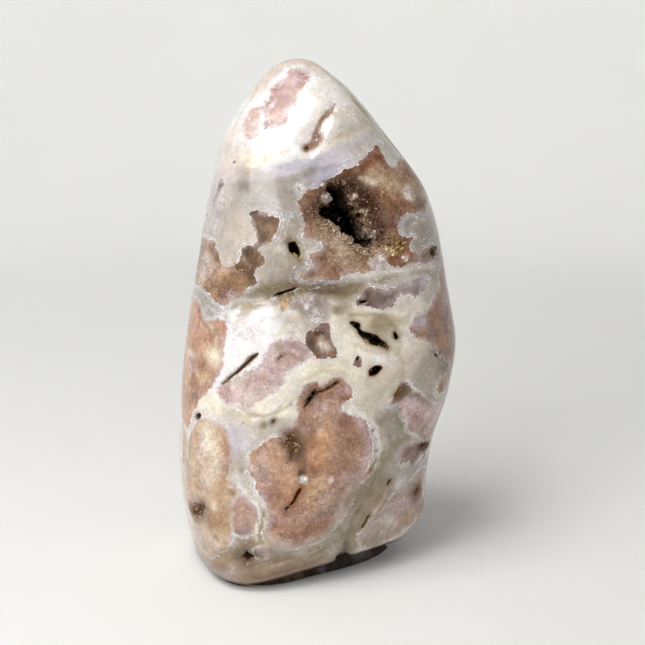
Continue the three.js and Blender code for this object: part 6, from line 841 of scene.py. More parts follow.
# crystal clusters: degrees, height, reach, tones, crystals per square mm, crystal radius
CLUSTERS = [
    (320.5, 106.2, 1.77, ['gold', 'goldcream', 'honey', 'amber'], 4.0, 0.27),
    (314.3, 105.0, 1.61, ['gold', 'goldcream', 'bone', 'amber'], 4.0, 0.26),
    (307.4, 105.0, 1.29, ['gold', 'sand', 'bone'], 3.0, 0.25),
    (299.7, 105.5, 1.29, ['sand', 'honey', 'bone'], 3.0, 0.24),
    (276.5, 121.7, 0.77, ['ash', 'bone'], 0.5, 1.1),
    (316.0, 121.9, 0.96, ['gold', 'bone', 'sand'], 2.2, 0.3),
    (297.2, 121.7, 1.13, ['dusk', 'cocoa', 'sand'], 1.0, 0.5),
    (304.9, 111.0, 1.45, ['ash', 'dusk', 'cocoa'], 0.8, 0.55),
    (269.2, 36.7, 0.9, ['bone', 'pinkwhite'], 0.9, 0.95),
    (279.2, 113.7, 0.96, ['gold', 'bone', 'sand'], 2.6, 0.24),
    (286.6, 110.2, 1.29, ['sand', 'bone', 'honey'], 2.6, 0.25),
    (322.2, 102.5, 0.96, ['bone', 'pinkwhite'], 1.2, 0.6),
    (344.6, 103.0, 0.8, ['gold', 'amber'], 2.0, 0.26),
    (256.1, 104.9, 0.8, ['gold', 'honey'], 2.2, 0.3),
    (296.3, 78.3, 1.29, ['gold', 'honey', 'bone'], 2.0, 0.2),
    (307.5, 76.2, 0.96, ['gold', 'honey', 'rust'], 2.4, 0.2),
    (274.6, 75.3, 1.29, ['rust', 'honey'], 1.6, 0.2),
]

FLOOR_COLOUR = (0.96, 0.962, 0.955)
WORLD_STRENGTH = 0.20
# soft boxes: name, place, aim, width, height, watts, colour, spread
LAMPS = [
    ("overhead", (-0.21, -0.17, 0.70), (0.0, 0.0, 0.07), 0.32, 0.30, 2.30, (1.0, 0.99, 0.97)),
    ("window", (-0.34, -0.46, 0.46), (0.0, 0.0, 0.08), 0.34, 0.34, 1.85, (1.0, 0.99, 0.97)),
    ("wall_wash", (0.0, 0.26, 0.66), (0.0, 0.62, 0.16), 0.60, 0.16, 0.22, (1.0, 1.0, 1.0), 110),
]


# ---------------------------------------------------------------- shape of the stone, mm
def hermite(zs, vs, z):
    """Cubic through a table, with slopes from the neighbours."""
    zs = np.asarray(zs, float); vs = np.asarray(vs, float); z = np.clip(z, zs[0], zs[-1])
    m = np.empty_like(vs)
    m[1:-1] = (vs[2:] - vs[:-2]) / (zs[2:] - zs[:-2])
    m[0] = (vs[1] - vs[0]) / (zs[1] - zs[0]); m[-1] = (vs[-1] - vs[-2]) / (zs[-1] - zs[-2])
    i = np.clip(np.searchsorted(zs, z, side="right") - 1, 0, len(zs) - 2)
    h = zs[i + 1] - zs[i]; t = (z - zs[i]) / h
    return ((2*t**3 - 3*t**2 + 1) * vs[i] + (t**3 - 2*t**2 + t) * h * m[i]
            + (-2*t**3 + 3*t**2) * vs[i + 1] + (t**3 - t**2) * h * m[i + 1])


def smooth(a, b, x):
    t = np.clip((x - a) / (b - a), 0, 1)
    return t * t * (3 - 2 * t)


def soft_min(a, b, k):
    h = np.maximum(k - np.abs(a - b), 0) / k
    return np.minimum(a, b) - h * h * k * 0.25


def body(theta, z, scale=1.0):
    """Points of the plain form for angles theta and heights z."""
    a = np.sqrt(np.maximum(hermite(SECTION_Z, np.array(HALF_WIDTH) ** 2, z), 0))
    b = np.sqrt(np.maximum(hermite(SECTION_Z, np.array(HALF_DEPTH) ** 2, z), 0))
    n = hermite(SECTION_Z, SQUARENESS, z); psi = np.radians(hermite(SECTION_Z, TURN_DEG, z))
    a = np.maximum(a, 1e-6); b = np.maximum(b, 1e-6)
    c = np.abs(np.cos(theta - psi)); s = np.abs(np.sin(theta - psi))
    r = ((c / a) ** n + (s / b) ** n) ** (-1 / n) * scale
    off = (np.degrees(theta) - 246.0 + 180.0) % 360.0 - 180.0
    r = r * (1 + 0.105 * np.exp(-(off / 26.0) ** 2) * smooth(14.0, 1.0, z))      # the foot reaches forward
    cx = hermite(SECTION_Z, CENTRE_X, z); cy = hermite(SECTION_Z, CENTRE_Y, z)
    p = np.stack([cx + r * np.cos(theta), cy + r * np.sin(theta), z + 0 * theta], -1)
    az = np.clip(z, 32, 118)
    A0 = np.stack([hermite(SECTION_Z, CENTRE_X, az) + 0 * theta, hermite(SECTION_Z, CENTRE_Y, az) + 0 * theta, az + 0 * theta], -1)
    d = p - A0; rho = np.linalg.norm(d, axis=-1); D = d / np.maximum(rho, 1e-9)[..., None]
    for P0, Nn, k in FLATS:
        Nn = np.array(Nn) / np.linalg.norm(Nn)
        den = D @ Nn; num = (np.array(P0) - A0) @ Nn
        rp = np.where(den > 1e-4, num / np.maximum(den, 1e-4), 1e6)
        rp = np.where(num < 0.5, rho, rp)
        rho = soft_min(rho, rp, k)
    return A0 + D * rho[..., None]


def to_line(p, pts):
    """Distance from points p to a line through pts."""
    pts = np.asarray(pts, float)
    if len(pts) == 1:
        return np.linalg.norm(p - pts[0], axis=-1)
    best = None
    for a, b in zip(pts[:-1], pts[1:]):
        ab = b - a; t = np.clip(((p - a) @ ab) / max(ab @ ab, 1e-9), 0, 1)
        d = np.linalg.norm(p - (a + t[..., None] * ab), axis=-1)
        best = d if best is None else np.minimum(best, d)
    return best


def relief_at(p):
    d = np.zeros(p.shape[:-1])
    for v, w, a, f in SWELLS:
        v = np.array(v) / np.linalg.norm(v); d += a * np.sin(p @ v * (2 * np.pi / w) + f)
    for pts, s, a in RELIEF:
        r = to_line(p, pts); d += a * np.exp(-r * r / (2 * s * s))
    return d * smooth(0.5, 7.0, p[..., 2])


def surface(theta, z):
    """Points with their relief, and the normals and the two tangents there."""
    theta = np.asarray(theta, float); z = np.asarray(z, float)
    e = 0.004; zl = np.maximum(z - 0.25, 0); zh = np.minimum(z + 0.25, TOP - 1e-3)
    p = body(theta, z); dt = body(theta + e, z) - body(theta - e, z); dz = body(theta, zh) - body(theta, zl)
    n = np.cross(dt, dz); n /= np.maximum(np.linalg.norm(n, axis=-1, keepdims=True), 1e-12)
    th = dt / np.maximum(np.linalg.norm(dt, axis=-1, keepdims=True), 1e-12)
    return p + n * relief_at(p)[..., None], n, th, np.cross(n, th)


# ---------------------------------------------------------------- noise and outlines
def cell(i, j, k, seed):
    h = (i.astype(np.uint32) * np.uint32(374761393) + j.astype(np.uint32) * np.uint32(668265263)
         + k.astype(np.uint32) * np.uint32(2147483647) + np.uint32((seed * 144665 + 977) & 0xFFFFFFFF))
    h = (h ^ (h >> np.uint32(13))) * np.uint32(1274126177)
    h = (h ^ (h >> np.uint32(16))) * np.uint32(2246822519)
    return (h ^ (h >> np.uint32(15))).astype(np.float64) / 4294967295.0


def noise(p, size, seed=0, octaves=1):
    """Value noise, 0 to 1, of the given feature size in mm."""
    out = 0; amp = 1.0; total = 0
    for o in range(octaves):
        q = p / size * 2 ** o + 57.3 * (o + 1) + seed * 3.7
        i = np.floor(q); f = q - i; u = f * f * (3 - 2 * f); i = i.astype(np.int64) + 5000
        v = 0
        for dx in (0, 1):
            for dy in (0, 1):
                for dz in (0, 1):
                    w = (u[..., 0] if dx else 1 - u[..., 0]) * (u[..., 1] if dy else 1 - u[..., 1]) * (u[..., 2] if dz else 1 - u[..., 2])
                    v = v + w * cell(i[..., 0] + dx, i[..., 1] + dy, i[..., 2] + dz, seed + o)
        out = out + amp * v; total += amp; amp *= 0.5
    return out / total


def rounded(pts, k=3):
    """A closed Catmull-Rom curve through pts."""
    p = np.asarray(pts, float); n = len(p); out = []
    for i in range(n):
        a, b, c, d = p[i - 1], p[i], p[(i + 1) % n], p[(i + 2) % n]
        for s in range(k):
            t = s / k
            out.append(0.5 * (2*b + (c - a)*t + (2*a - 5*b + 4*c - d)*t*t + (3*b - a - 3*c + d)*t**3))
    return np.array(out)


def inside(poly, q):
    """Even-odd test of 2D points q in a closed outline."""
    r = np.zeros(len(q), bool); x, y = q[:, 0], q[:, 1]
    for (x0, y0), (x1, y1) in zip(poly, np.roll(poly, -1, 0)):
        if y0 == y1:
            continue
        r ^= ((y0 > y) != (y1 > y)) & (x < (x1 - x0) * (y - y0) / (y1 - y0) + x0)
    return r


def unwrap(t, about):
    return (np.asarray(t, float) - about + 180) % 360 - 180 + about


# ---------------------------------------------------------------- the mesh: a grid round the stone, finer at the front and at the hollows
COLS, RINGS, CROWD = 268, 288, 0.45
DROP = (0.25, 0.5, 0.75, 1.0)                          # the broken underside falls to the floor in these steps
BASE_RINGS = (0.95, 0.93, 0.90, 0.86, 0.82, 0.78, 0.74, 0.70, 0.65, 0.60, 0.54, 0.46, 0.36, 0.22)
phi = np.linspace(0, 2 * np.pi, COLS, endpoint=False) + math.radians(90)
COL_THETA = phi - CROWD * np.sin(phi - math.radians(270))
COL_THETA = np.append(COL_THETA, COL_THETA[0] + 2 * np.pi)
zz = np.unique(np.concatenate([np.linspace(0, 150, 1501), TOP - (TOP - 150) * (1 - np.linspace(0, 1, 800)) ** 2]))
rr = 0.5 * (np.sqrt(np.maximum(hermite(SECTION_Z, np.array(HALF_WIDTH) ** 2, zz), 0)) + np.sqrt(np.maximum(hermite(SECTION_Z, np.array(HALF_DEPTH) ** 2, zz), 0)))
run = np.concatenate([[0], np.cumsum(np.hypot(np.diff(zz), np.diff(rr)))])
RING_Z = np.interp(np.linspace(0, run[-1], RINGS + 1), run, zz)

for v in HOLLOWS:
    pts = rounded(v["pts"], 2); d = np.array(v["dir"], float); d /= np.linalg.norm(d)
    e1 = np.cross(d, (0, 0, 1)); e1 /= np.linalg.norm(e1); e2 = np.cross(e1, d)
    c = pts.mean(0); poly = np.stack([(pts - c) @ e1, (pts - c) @ e2], -1)
    area = 0.5 * abs(sum(a[0] * b[1] - a[1] * b[0] for a, b in zip(poly, np.roll(poly, -1, 0))))
    edge_len = sum(np.linalg.norm(a - b) for a, b in zip(poly, np.roll(poly, -1, 0)))
    v.update(c=c, d=d, e1=e1, e2=e2, poly=poly, reach=np.abs(poly).max() + 3.0, inr=2 * area / edge_len)


def hollow_field(p, v, n=None):
    """How far each point of p lies inside the outline of hollow v, mm, and which points it concerns."""
    near = np.where((np.linalg.norm(p - v["c"], axis=-1) < v["reach"] * 1.5 + 2) & (np.abs((p - v["c"]) @ v["d"]) < 9))[0]
    if len(near) == 0:
        return near, None
    q = p[near] - v["c"]; u = np.stack([q @ v["e1"], q @ v["e2"]], -1); poly = v["poly"]; best = None
    for a, b in zip(poly, np.roll(poly, -1, 0)):
        ab = b - a; t = np.clip(((u - a) @ ab) / max(ab @ ab, 1e-9), 0, 1); dd = np.linalg.norm(u - (a + t[:, None] * ab), axis=-1)
        best = dd if best is None else np.minimum(best, dd)
    return near, np.where(inside(poly, u), best, -best)


def fine_quads():
    """Grid quads that touch a hollow's wall, to be cut in four."""
    u = (np.arange(COLS) + 0.5); th = 0.5 * (COL_THETA[:-1] + COL_THETA[1:]); z = 0.5 * (RING_Z[:-2] + RING_Z[1:-1])
    TH, ZZ = np.meshgrid(th, z); p = surface(TH.ravel(), ZZ.ravel())[0]
    keep = np.zeros(len(p), bool)
    for v in HOLLOWS:
        near, f = hollow_field(p, v)
        if len(near):
            keep[near[f > (-0.7 if v["depth"] > 1.5 else -0.3)]] = True
    return keep.reshape(TH.shape)


def build_grid():
    fine = fine_quads()
    R, C = fine.shape
    full = np.zeros((R + 2, C), bool); full[1:-1] = fine
    split_h = full[:-1] | full[1:]                     # edge along ring r, from column c
    split_v = fine | np.roll(fine, 1, 1)               # edge up column c, from ring r
    uv = []; ids = {}

    def vert(a, b):
        key = (int(round(a * 2)) % (2 * COLS), int(round(b * 2)))
        if key not in ids:
            ids[key] = len(uv); uv.append((key[0] / 2, b))
        return ids[key]
    for r in range(RINGS):
        for c in range(COLS):
            vert(c, r)
    faces = []; fuv = []
    for r in range(R):
        for c in range(C):
            if fine[r, c]:
                for i in (0, .5):
                    for j in (0, .5):
                        ring = [(c + i, r + j), (c + i + .5, r + j), (c + i + .5, r + j + .5), (c + i, r + j + .5)]
                        faces.append([vert(*k) for k in ring]); fuv.append(ring)
            else:
                ring = [(c, r)]
                if split_h[r, c]: ring.append((c + .5, r))
                ring.append((c + 1, r))
                if split_v[r, (c + 1) % C]: ring.append((c + 1, r + .5))
                ring.append((c + 1, r + 1))
                if split_h[r + 1, c]: ring.append((c + .5, r + 1))
                ring.append((c, r + 1))
                if split_v[r, c]: ring.append((c, r + .5))
                faces.append([vert(*k) for k in ring]); fuv.append(ring)
    return np.array(uv), faces, fuv


grid_uv, faces, face_uv = build_grid()
V_THETA = np.interp(grid_uv[:, 0], np.arange(COLS + 1), COL_THETA)
V_Z = np.interp(grid_uv[:, 1], np.arange(RINGS + 1), RING_Z)
P, Nrm, Th, Tv = surface(V_THETA, V_Z)
side_count = len(P)
pole = len(P)
P = np.vstack([P, [[*(body(np.array([0.0]), np.array([TOP - 1e-4]))[0][:2]), body(np.array([0.0]), np.array([TOP - 1e-4]))[0][2]]]])
Nrm = np.vstack([Nrm, [[0, 0, 1]]]); Th = np.vstack([Th, [[1, 0, 0]]]); Tv = np.vstack([Tv, [[0, 1, 0]]])
V_THETA = np.append(V_THETA, 0); V_Z = np.append(V_Z, TOP)
top_ring = [i for i in range((RINGS - 1) * COLS, RINGS * COLS)]
for c in range(COLS):
    faces.append([top_ring[c], top_ring[(c + 1) % COLS], pole]); face_uv.append([(c, RINGS - 1), (c + 1, RINGS - 1), (c + .5, RINGS)])
# the base, ring by ring to its middle: flat where it stands, sloping where it is broken away
last = list(range(COLS))
base_theta = COL_THETA[:-1]
foot = body(base_theta, np.zeros(COLS)); broken = smooth(0.3, 2.5, foot[:, 2])
wide = 0.05 + 0.07 * np.exp(-(((np.degrees(base_theta) + 176.0) % 360.0 - 180.0) / 26.0) ** 2)
for f in DROP + BASE_RINGS:
    first = len(P) < side_count + 1 + COLS * len(DROP)
    k = (1 - 0.01 * 4 * f) * (1 - broken) + (1 + wide * f) * broken if first else f * (1 + (wide + 0.01) * broken)
    q = body(base_theta, np.zeros(COLS), k); q[:, 2] = foot[:, 2] * (1 - f) if first else 0.0
    f = 1.0 if first else f
    dt = body(base_theta + 0.01, np.zeros(COLS), f) - body(base_theta - 0.01, np.zeros(COLS), f); ds = body(base_theta, np.zeros(COLS), f + 0.01) - body(base_theta, np.zeros(COLS), f - 0.01)
    nn = np.cross(dt, ds); nn /= np.linalg.norm(nn, axis=-1, keepdims=True); nn *= np.where(nn[:, 2:] > 0, -1, 1)
    new = list(range(len(P), len(P) + COLS)); P = np.vstack([P, q]); Nrm = np.vstack([Nrm, nn])
    a = dt / np.linalg.norm(dt, axis=-1, keepdims=True); Th = np.vstack([Th, a]); Tv = np.vstack([Tv, np.cross(nn, a)])
    V_THETA = np.append(V_THETA, V_THETA[:COLS]); V_Z = np.append(V_Z, np.full(COLS, 0.0))
    for c in range(COLS):
        faces.append([last[(c + 1) % COLS], last[c], new[c], new[(c + 1) % COLS]]); face_uv.append(None)
    last = new
mid = np.array([hermite(SECTION_Z, CENTRE_X, 0.0), hermite(SECTION_Z, CENTRE_Y, 0.0), 0.0]).reshape(3)
P = np.vstack([P, [mid]]); Nrm = np.vstack([Nrm, [[0, 0, -1]]]); Th = np.vstack([Th, [[1, 0, 0]]]); Tv = np.vstack([Tv, [[0, 1, 0]]])
V_THETA = np.append(V_THETA, 0); V_Z = np.append(V_Z, 0)
for c in range(COLS):
    faces.append([last[(c + 1) % COLS], last[c], len(P) - 1]); face_uv.append(None)
REST = P.copy()                                        # the polished surface, before hollows and grain

# ---------------------------------------------------------------- paint
def tone(name):
    c = np.array(PALETTE[name]) / 255.0
    return np.where(c <= 0.04045, c / 12.92, ((c + 0.055) / 1.055) ** 2.4)


warp = np.stack([noise(REST, 5.0, 11 + k, 2) - 0.5 for k in range(3)], -1) * 3.2 + np.stack([noise(REST, 1.6, 21 + k, 2) - 0.5 for k in range(3)], -1) * 1.3
SOFTP = REST + warp
small = np.stack([noise(REST, 1.8, 31 + k, 2) - 0.5 for k in range(3)], -1) * 0.9
CRISP = REST + small

num = np.zeros((len(P), 3)); den = np.full(len(P), 1e-9)
for t, z, rx, ry, name in ZONES:
    c, n, a, b = (k[0] for k in surface(np.array([math.radians(t)]), np.array([float(z)])))
    d = SOFTP - c
    w = np.exp(-((d @ a / rx) ** 2 + (d @ b / ry) ** 2 + (d @ n / (1.2 * max(rx, ry))) ** 2) * 0.9)
    w = w + 1e-4 * np.exp(-np.linalg.norm(d, axis=-1) / 18)
    num += w[:, None] * tone(name); den += w
OUT = num / den[:, None]

edge = np.full(len(P), -60.0); who = np.zeros(len(P), int)
for k, (name, style, tz) in enumerate(PATCHES):
    tz = np.array(tz, float); about = unwrap(tz[:, 0], tz[0, 0]).mean(); tz[:, 0] = unwrap(tz[:, 0], about)
    tz = rounded(tz, 2); line = surface(np.radians(tz[:, 0]), np.clip(tz[:, 1], 0.2, TOP - 1))[0]
    c = line.mean(0); reach = np.linalg.norm(line - c, axis=-1).max() + 9
    near = np.where(np.linalg.norm(REST - c, axis=-1) < reach)[0]
    p = REST[near]; best = None
    for a, b in zip(line, np.roll(line, -1, 0)):
        ab = b - a; t = np.clip(((p - a) @ ab) / max(ab @ ab, 1e-9), 0, 1); dd = np.linalg.norm(p - (a + t[:, None] * ab), axis=-1)
        best = dd if best is None else np.minimum(best, dd)
    ins = inside(tz, np.stack([unwrap(np.degrees(V_THETA[near]), about), V_Z[near]], -1))
    sd = np.where(ins, best, -best)
    win = sd > edge[near]
    edge[near[win]] = sd[win]; who[near[win]] = k
edge = np.maximum(edge, -12.0)


IN = np.zeros((len(P), 3)); soft = np.zeros(len(P)); rim = np.zeros(len(P)); grain = np.zeros(len(P)); frost = np.zeros(len(P))
n1 = smooth(0.36, 0.66, noise(SOFTP, 9.0, 3, 2)); n2 = smooth(0.46, 0.70, noise(SOFTP, 6.0, 5, 2))
for k, (name, style, tz) in enumerate(PATCHES):
    m = who == k; A, B, C, g, fr, ri, so = STYLES[style]
    col = tone(A)[None] * (1 - n1[m, None]) + tone(B)[None] * n1[m, None]
    col = col * (1 - 0.75 * n2[m, None]) + tone(C)[None] * 0.75 * n2[m, None]
    IN[m] = col; grain[m] = g; frost[m] = fr; rim[m] = ri; soft[m] = so

# painted shade in the grooves, partly mineral staining: olive on the chalcedony, cocoa on the patches
low = np.zeros(len(P))
for pts, s, a in RELIEF:
    if a < 0:
        low += -a * np.exp(-to_line(SOFTP * 0.5 + REST * 0.5, pts) ** 2 / (2 * (s * 0.85) ** 2))
g = smooth(0.5, 2.4, low) * 0.42
OUT = OUT * (1 - g[:, None]) + tone("olive") * g[:, None]
g = smooth(0.6, 2.4, low) * 0.25
IN = IN * (1 - g[:, None]) + tone("cocoa") * g[:, None]

# painted shade: the down-facing underside near the floor is painted near black, and the same mask makes it rough
g = smooth(0.40, 0.75, -Nrm[:, 2]) * smooth(16.0, 11.0, REST[:, 2]) * 0.92
base = 0.5 * tone("black") + (tone("painted_shade") - tone("black")) * (0.5 * smooth(0.40, 0.65, noise(REST, 2.4, 71, 3)))[:, None]
OUT = OUT * (1 - g[:, None]) + base * g[:, None]
IN = IN * (1 - g[:, None]) + base * g[:, None]
under = g

for layer, pts, r, name, s in LINES:
    line = surface(np.radians([q[0] for q in pts]), np.array([q[1] for q in pts], float))[0]
    d = to_line(SOFTP * 0.35 + CRISP * 0.65, line) / r; g = s * np.exp(-(d ** 2) * 0.9)
    if layer in "ob": OUT = OUT * (1 - g[:, None]) + tone(name) * g[:, None]
    if layer in "ib": IN = IN * (1 - g[:, None]) + tone(name) * g[:, None]
for layer, t, z, rx, ry, name, s in SPOTS:
    c, n, a, b = (k[0] for k in surface(np.array([math.radians(t)]), np.array([float(z)])))
    d = (CRISP if max(rx, ry) < 1.3 else SOFTP * 0.3 + CRISP * 0.7) - c
    q = np.sqrt((d @ a / rx) ** 2 + (d @ b / ry) ** 2 + (d @ n / (2.5 * max(rx, ry) + 1.5)) ** 2)
    g = s * (smooth(1.35, 0.45, q) if max(rx, ry) < 1.5 else np.exp(-0.85 * q ** 2.4))
    if layer in "ob": OUT = OUT * (1 - g[:, None]) + tone(name) * g[:, None]
    if layer in "ib": IN = IN * (1 - g[:, None]) + tone(name) * g[:, None]
# a ring of each hollow's stain tone, fading outwards from its outline; round the underside notch this ring is painted
# shade
for v in HOLLOWS:
    name, width, s = v.get("stain", ("cocoa", 0.5 + 0.25 * v["inr"], 0.5))
    near, f = hollow_field(CRISP, v)
    if len(near):
        ok = (Nrm[near] @ v["d"]) < 0.25; near, f = near[ok], f[ok]
        g = s * np.exp(-(np.maximum(-f, 0) / width) ** 2)
        OUT[near] = OUT[near] * (1 - g[:, None]) + tone(name) * g[:, None]
        IN[near] = IN[near] * (1 - g[:, None]) + tone(name) * g[:, None]
for t, z, r, so, ri in EDGES:
    c = surface(np.array([math.radians(t)]), np.array([float(z)]))[0][0]
    g = np.exp(-(np.linalg.norm(REST - c, axis=-1) / r) ** 2 * 1.2)
    soft = soft * (1 - g) + so * g; rim = rim * (1 - g) + ri * g

scratch = np.zeros(len(P))
for t, z, r, s in FIBRES:
    c = surface(np.array([math.radians(t)]), np.array([float(z)]))[0][0]
    scratch = np.maximum(scratch, s * smooth(1.3, 0.3, np.linalg.norm(SOFTP - c, axis=-1) / r))

# ---------------------------------------------------------------- relief of the unpolished parts
hollow_shade = np.zeros(len(P)); wet = np.zeros(len(P)); move = np.zeros((len(P), 3))
# the shallow unpolished bowl round the main hollow
tz = np.array(BOWL, float); tz = rounded(tz, 2); line = surface(np.radians(tz[:, 0]), tz[:, 1])[0]
c = line.mean(0); near = np.where(np.linalg.norm(REST - c, axis=-1) < 34)[0]; best = None
for a, b in zip(line, np.roll(line, -1, 0)):
    ab = b - a; t = np.clip(((REST[near] - a) @ ab) / max(ab @ ab, 1e-9), 0, 1); dd = np.linalg.norm(REST[near] - (a + t[:, None] * ab), axis=-1)
    best = dd if best is None else np.minimum(best, dd)
ins = inside(tz, np.stack([np.degrees(V_THETA[near]) % 360, V_Z[near]], -1))
bowl = np.full(len(P), -30.0); bowl[near] = np.where(ins, best, -best)
bowl += (noise(REST, 2.4, 41, 2) - 0.5) * 1.6
b1 = smooth(-0.4, 1.4, bowl); b2 = smooth(0.3, 8.0, bowl)
move -= Nrm * (0.5 * b1 + 3.4 * b2 + b1 * (noise(REST, 1.7, 43, 2) - 0.35) * 1.1 + b1 * (noise(REST, 0.7, 44, 1) - 0.5) * 0.35)[:, None]
grain = np.maximum(grain, b1)
rough = np.maximum(b1, under * 1.3)

for v in HOLLOWS:
    near, f = hollow_field(REST, v)
    if len(near) == 0:
        continue
    face = (Nrm[near] @ v["d"]) < 0.25
    near, f = near[face], f[face]
    f = f + v.get("wider", 0.0) + (noise(REST[near], 1.3, 51, 2) - 0.5) * v.get("ragged", 0.6)
    wall = v.get("wall", min(0.75 * v["inr"] + 0.2, 1.5))
    s = smooth(0.0, wall, f)
    floor = 1 + (noise(REST[near], 2.2, 52, 2) - 0.5) * 0.5 * v.get("rugged", 1.0)
    depth = v["depth"] * s * floor
    lip = 0.10 * np.exp(-np.maximum(-f, 0) / 0.5) * (f < 0)
    sideways = (np.stack([noise(REST[near], 1.1, 60 + k, 2) - 0.5 for k in range(3)], -1)) * (0.9 * s * min(1.0, v["depth"] / 5))[:, None]
    move[near] += v["d"] * (depth + lip)[:, None] + sideways
    # painted shade in the hollow, growing with depth and its dark factor
    hollow_shade[near] = np.maximum(hollow_shade[near], s ** 1.5 * floor * min(v["depth"], 2.4) * v.get("dark", 1.0))
    rough[near] = np.maximum(rough[near], s)
P = REST + move
stands = (REST[:, 2] < 0.02) & (V_Z < 0.01)
P[stands] = REST[stands]
P[:, 2] = np.maximum(P[:, 2], 0.0)


# ---------------------------------------------------------------- the stone as a Blender mesh
def add_mesh(name, verts, polys):
    me = bpy.data.meshes.new(name)
    me.from_pydata([tuple(v) for v in verts], [], polys)
    me.update()
    ob = bpy.data.objects.new(name, me)
    bpy.context.scene.collection.objects.link(ob)
    me.polygons.foreach_set("use_smooth", [True] * len(me.polygons))
    return ob


def put(me, name, kind, values):
    a = me.attributes.new(name, kind, "POINT")
    if kind == "FLOAT":
        a.data.foreach_set("value", np.asarray(values, np.float32).ravel())
    elif kind == "FLOAT_COLOR":
        v = np.ones((len(values), 4), np.float32); v[:, :3] = values; a.data.foreach_set("color", v.ravel())
    else:
        a.data.foreach_set("vector", np.asarray(values, np.float32).ravel())


stone = add_mesh("flower_agate_stone", P * 0.001, faces)
me = stone.data
put(me, "tone_in", "FLOAT_COLOR", IN)
put(me, "tone_out", "FLOAT_COLOR", OUT)
put(me, "edge_mm", "FLOAT", edge)
put(me, "hollow_shade_mm", "FLOAT", hollow_shade)
put(me, "finish", "FLOAT_VECTOR", np.stack([soft, rim, grain], -1))
put(me, "raw", "FLOAT_VECTOR", np.stack([rough, frost, scratch], -1))

# one chart round the side and one for the base
uvs = me.uv_layers.new(name="OFBake")
co = np.zeros((len(me.loops), 2), np.float32); k = 0
col_u = np.concatenate([[0], np.cumsum(np.linalg.norm(np.diff(np.vstack([REST[COLS*150:COLS*151], REST[COLS*150:COLS*150+1]]), axis=0), axis=1))]); col_u /= col_u[-1]
for f, ring in zip(faces, face_uv):
    for i, v in enumerate(f):
        if ring is None:
            co[k] = (0.06 + (REST[v, 0] - mid[0]) / 1000.0, 0.05 + (REST[v, 1] - mid[1]) / 1000.0)
        else:
            co[k] = (0.01 + 0.98 * np.interp(ring[i][0], np.arange(COLS + 1), col_u), 0.115 + 0.875 * ring[i][1] / RINGS)
        k += 1
uvs.uv.foreach_set("vector", co.ravel())


# ---------------------------------------------------------------- crystals that line the hollows
def crystal(sides=6):
    """A six-sided point, unit length along +Z, foot at the origin."""
    a = np.arange(sides) * 2 * math.pi / sides
    low = np.stack([np.cos(a), np.sin(a), np.zeros(sides)], -1); up = low.copy(); up[:, 2] = 0.62
    v = np.vstack([low, up, [[0, 0, 1.0]]]); f = [[i, (i + 1) % sides, sides + (i + 1) % sides, sides + i] for i in range(sides)]
    f += [[sides + i, sides + (i + 1) % sides, 2 * sides] for i in range(sides)] + [list(range(sides))[::-1]]
    return v, f


rng = np.random.default_rng(7)
nor = np.zeros(len(me.vertices) * 3, np.float32); me.vertices.foreach_get("normal", nor); nor = nor.reshape(-1, 3).astype(float)
area = np.zeros(len(P))
for pl in me.polygons:
    for v in pl.vertices:
        area[v] += pl.area * 1e6 / len(pl.vertices)
cv, cf = crystal()
all_v, all_f, all_c = [], [], []


def grow(mask, per_mm2, size, spread, tones, along=2.0, seed_tone=None, lean=0.45, sink=0.45, mixed=0.5, limit=100000, proud=None):
    idx = np.where(mask)[0]
    if len(idx) == 0:
        return
    count = int(min(limit, area[idx].sum() * per_mm2)); w = area[idx] / area[idx].sum()
    for i in rng.choice(idx, size=count, p=w):
        r = size * math.exp(rng.normal(0, spread)); n = nor[i] + rng.normal(0, lean, 3); n /= np.linalg.norm(n)
        a = np.cross(n, rng.normal(0, 1, 3)); a /= np.linalg.norm(a); b = np.cross(n, a); L = r * along * rng.uniform(0.75, 1.3)
        foot = P[i] + rng.normal(0, 0.18, 3) - n * L * sink
        q = foot + cv[:, :1] * a * r * rng.uniform(.8, 1.15) + cv[:, 1:2] * b * r + cv[:, 2:] * n * L
        base = tone(tones[rng.integers(len(tones))]); own = IN[i] if edge[i] > -0.5 else OUT[i]
        c = (base * mixed + own * (1 - mixed)) * rng.uniform(0.72, 1.25)
        # the paler point of each crystal is painted light, shining through the clear quartz
        tip = np.clip(c * 1.30 + 0.012, 0, 1)
        if proud is not None and (q[-1] - REST[i]) @ Nrm[i] > proud:      # ground off with the polished face
            continue
        k = len(all_v) * len(cv)
        all_v.append(q); all_f.extend([[k + j for j in face] for face in cf])
        all_c.append(np.vstack([np.tile(c * 0.75, (6, 1)), np.tile(c, (6, 1)), tip[None]]))


def grown(name):
    """The crystals grown so far as one mesh."""
    ob = add_mesh(name, np.vstack(all_v) * 0.001, all_f)
    ob.data.polygons.foreach_set("use_smooth", [False] * len(ob.data.polygons))
    put(ob.data, "tone", "FLOAT_COLOR", np.clip(np.vstack(all_c), 0, 1))
    all_v.clear(); all_f.clear(); all_c.clear()
    return ob


main = [v for v in HOLLOWS if v["name"] == "main_hollow"][0]
near, f = hollow_field(REST, main)
mh = np.full(len(P), -30.0); mh[near] = f; front = REST[:, 1] < 5
mh[~front] = -30
lower = ((REST - main["c"]) @ np.array([0.30, 0, -0.95])) > -1.0
grow((mh > -2.2) & (mh < 0.1) & lower, 4.6, 0.24, 0.45, ["bone", "sand", "honey", "tan"], mixed=0.35, along=2.2)
# dark brown crystals on the upper rim: partly their own colour, partly painted shade of the wall that faces down
grow((mh > -1.4) & (mh < 0.3) & ~lower, 3.4, 0.25, 0.45, ["umber", "cocoa", "coffee", "bark"], mixed=0.7, along=2.0)
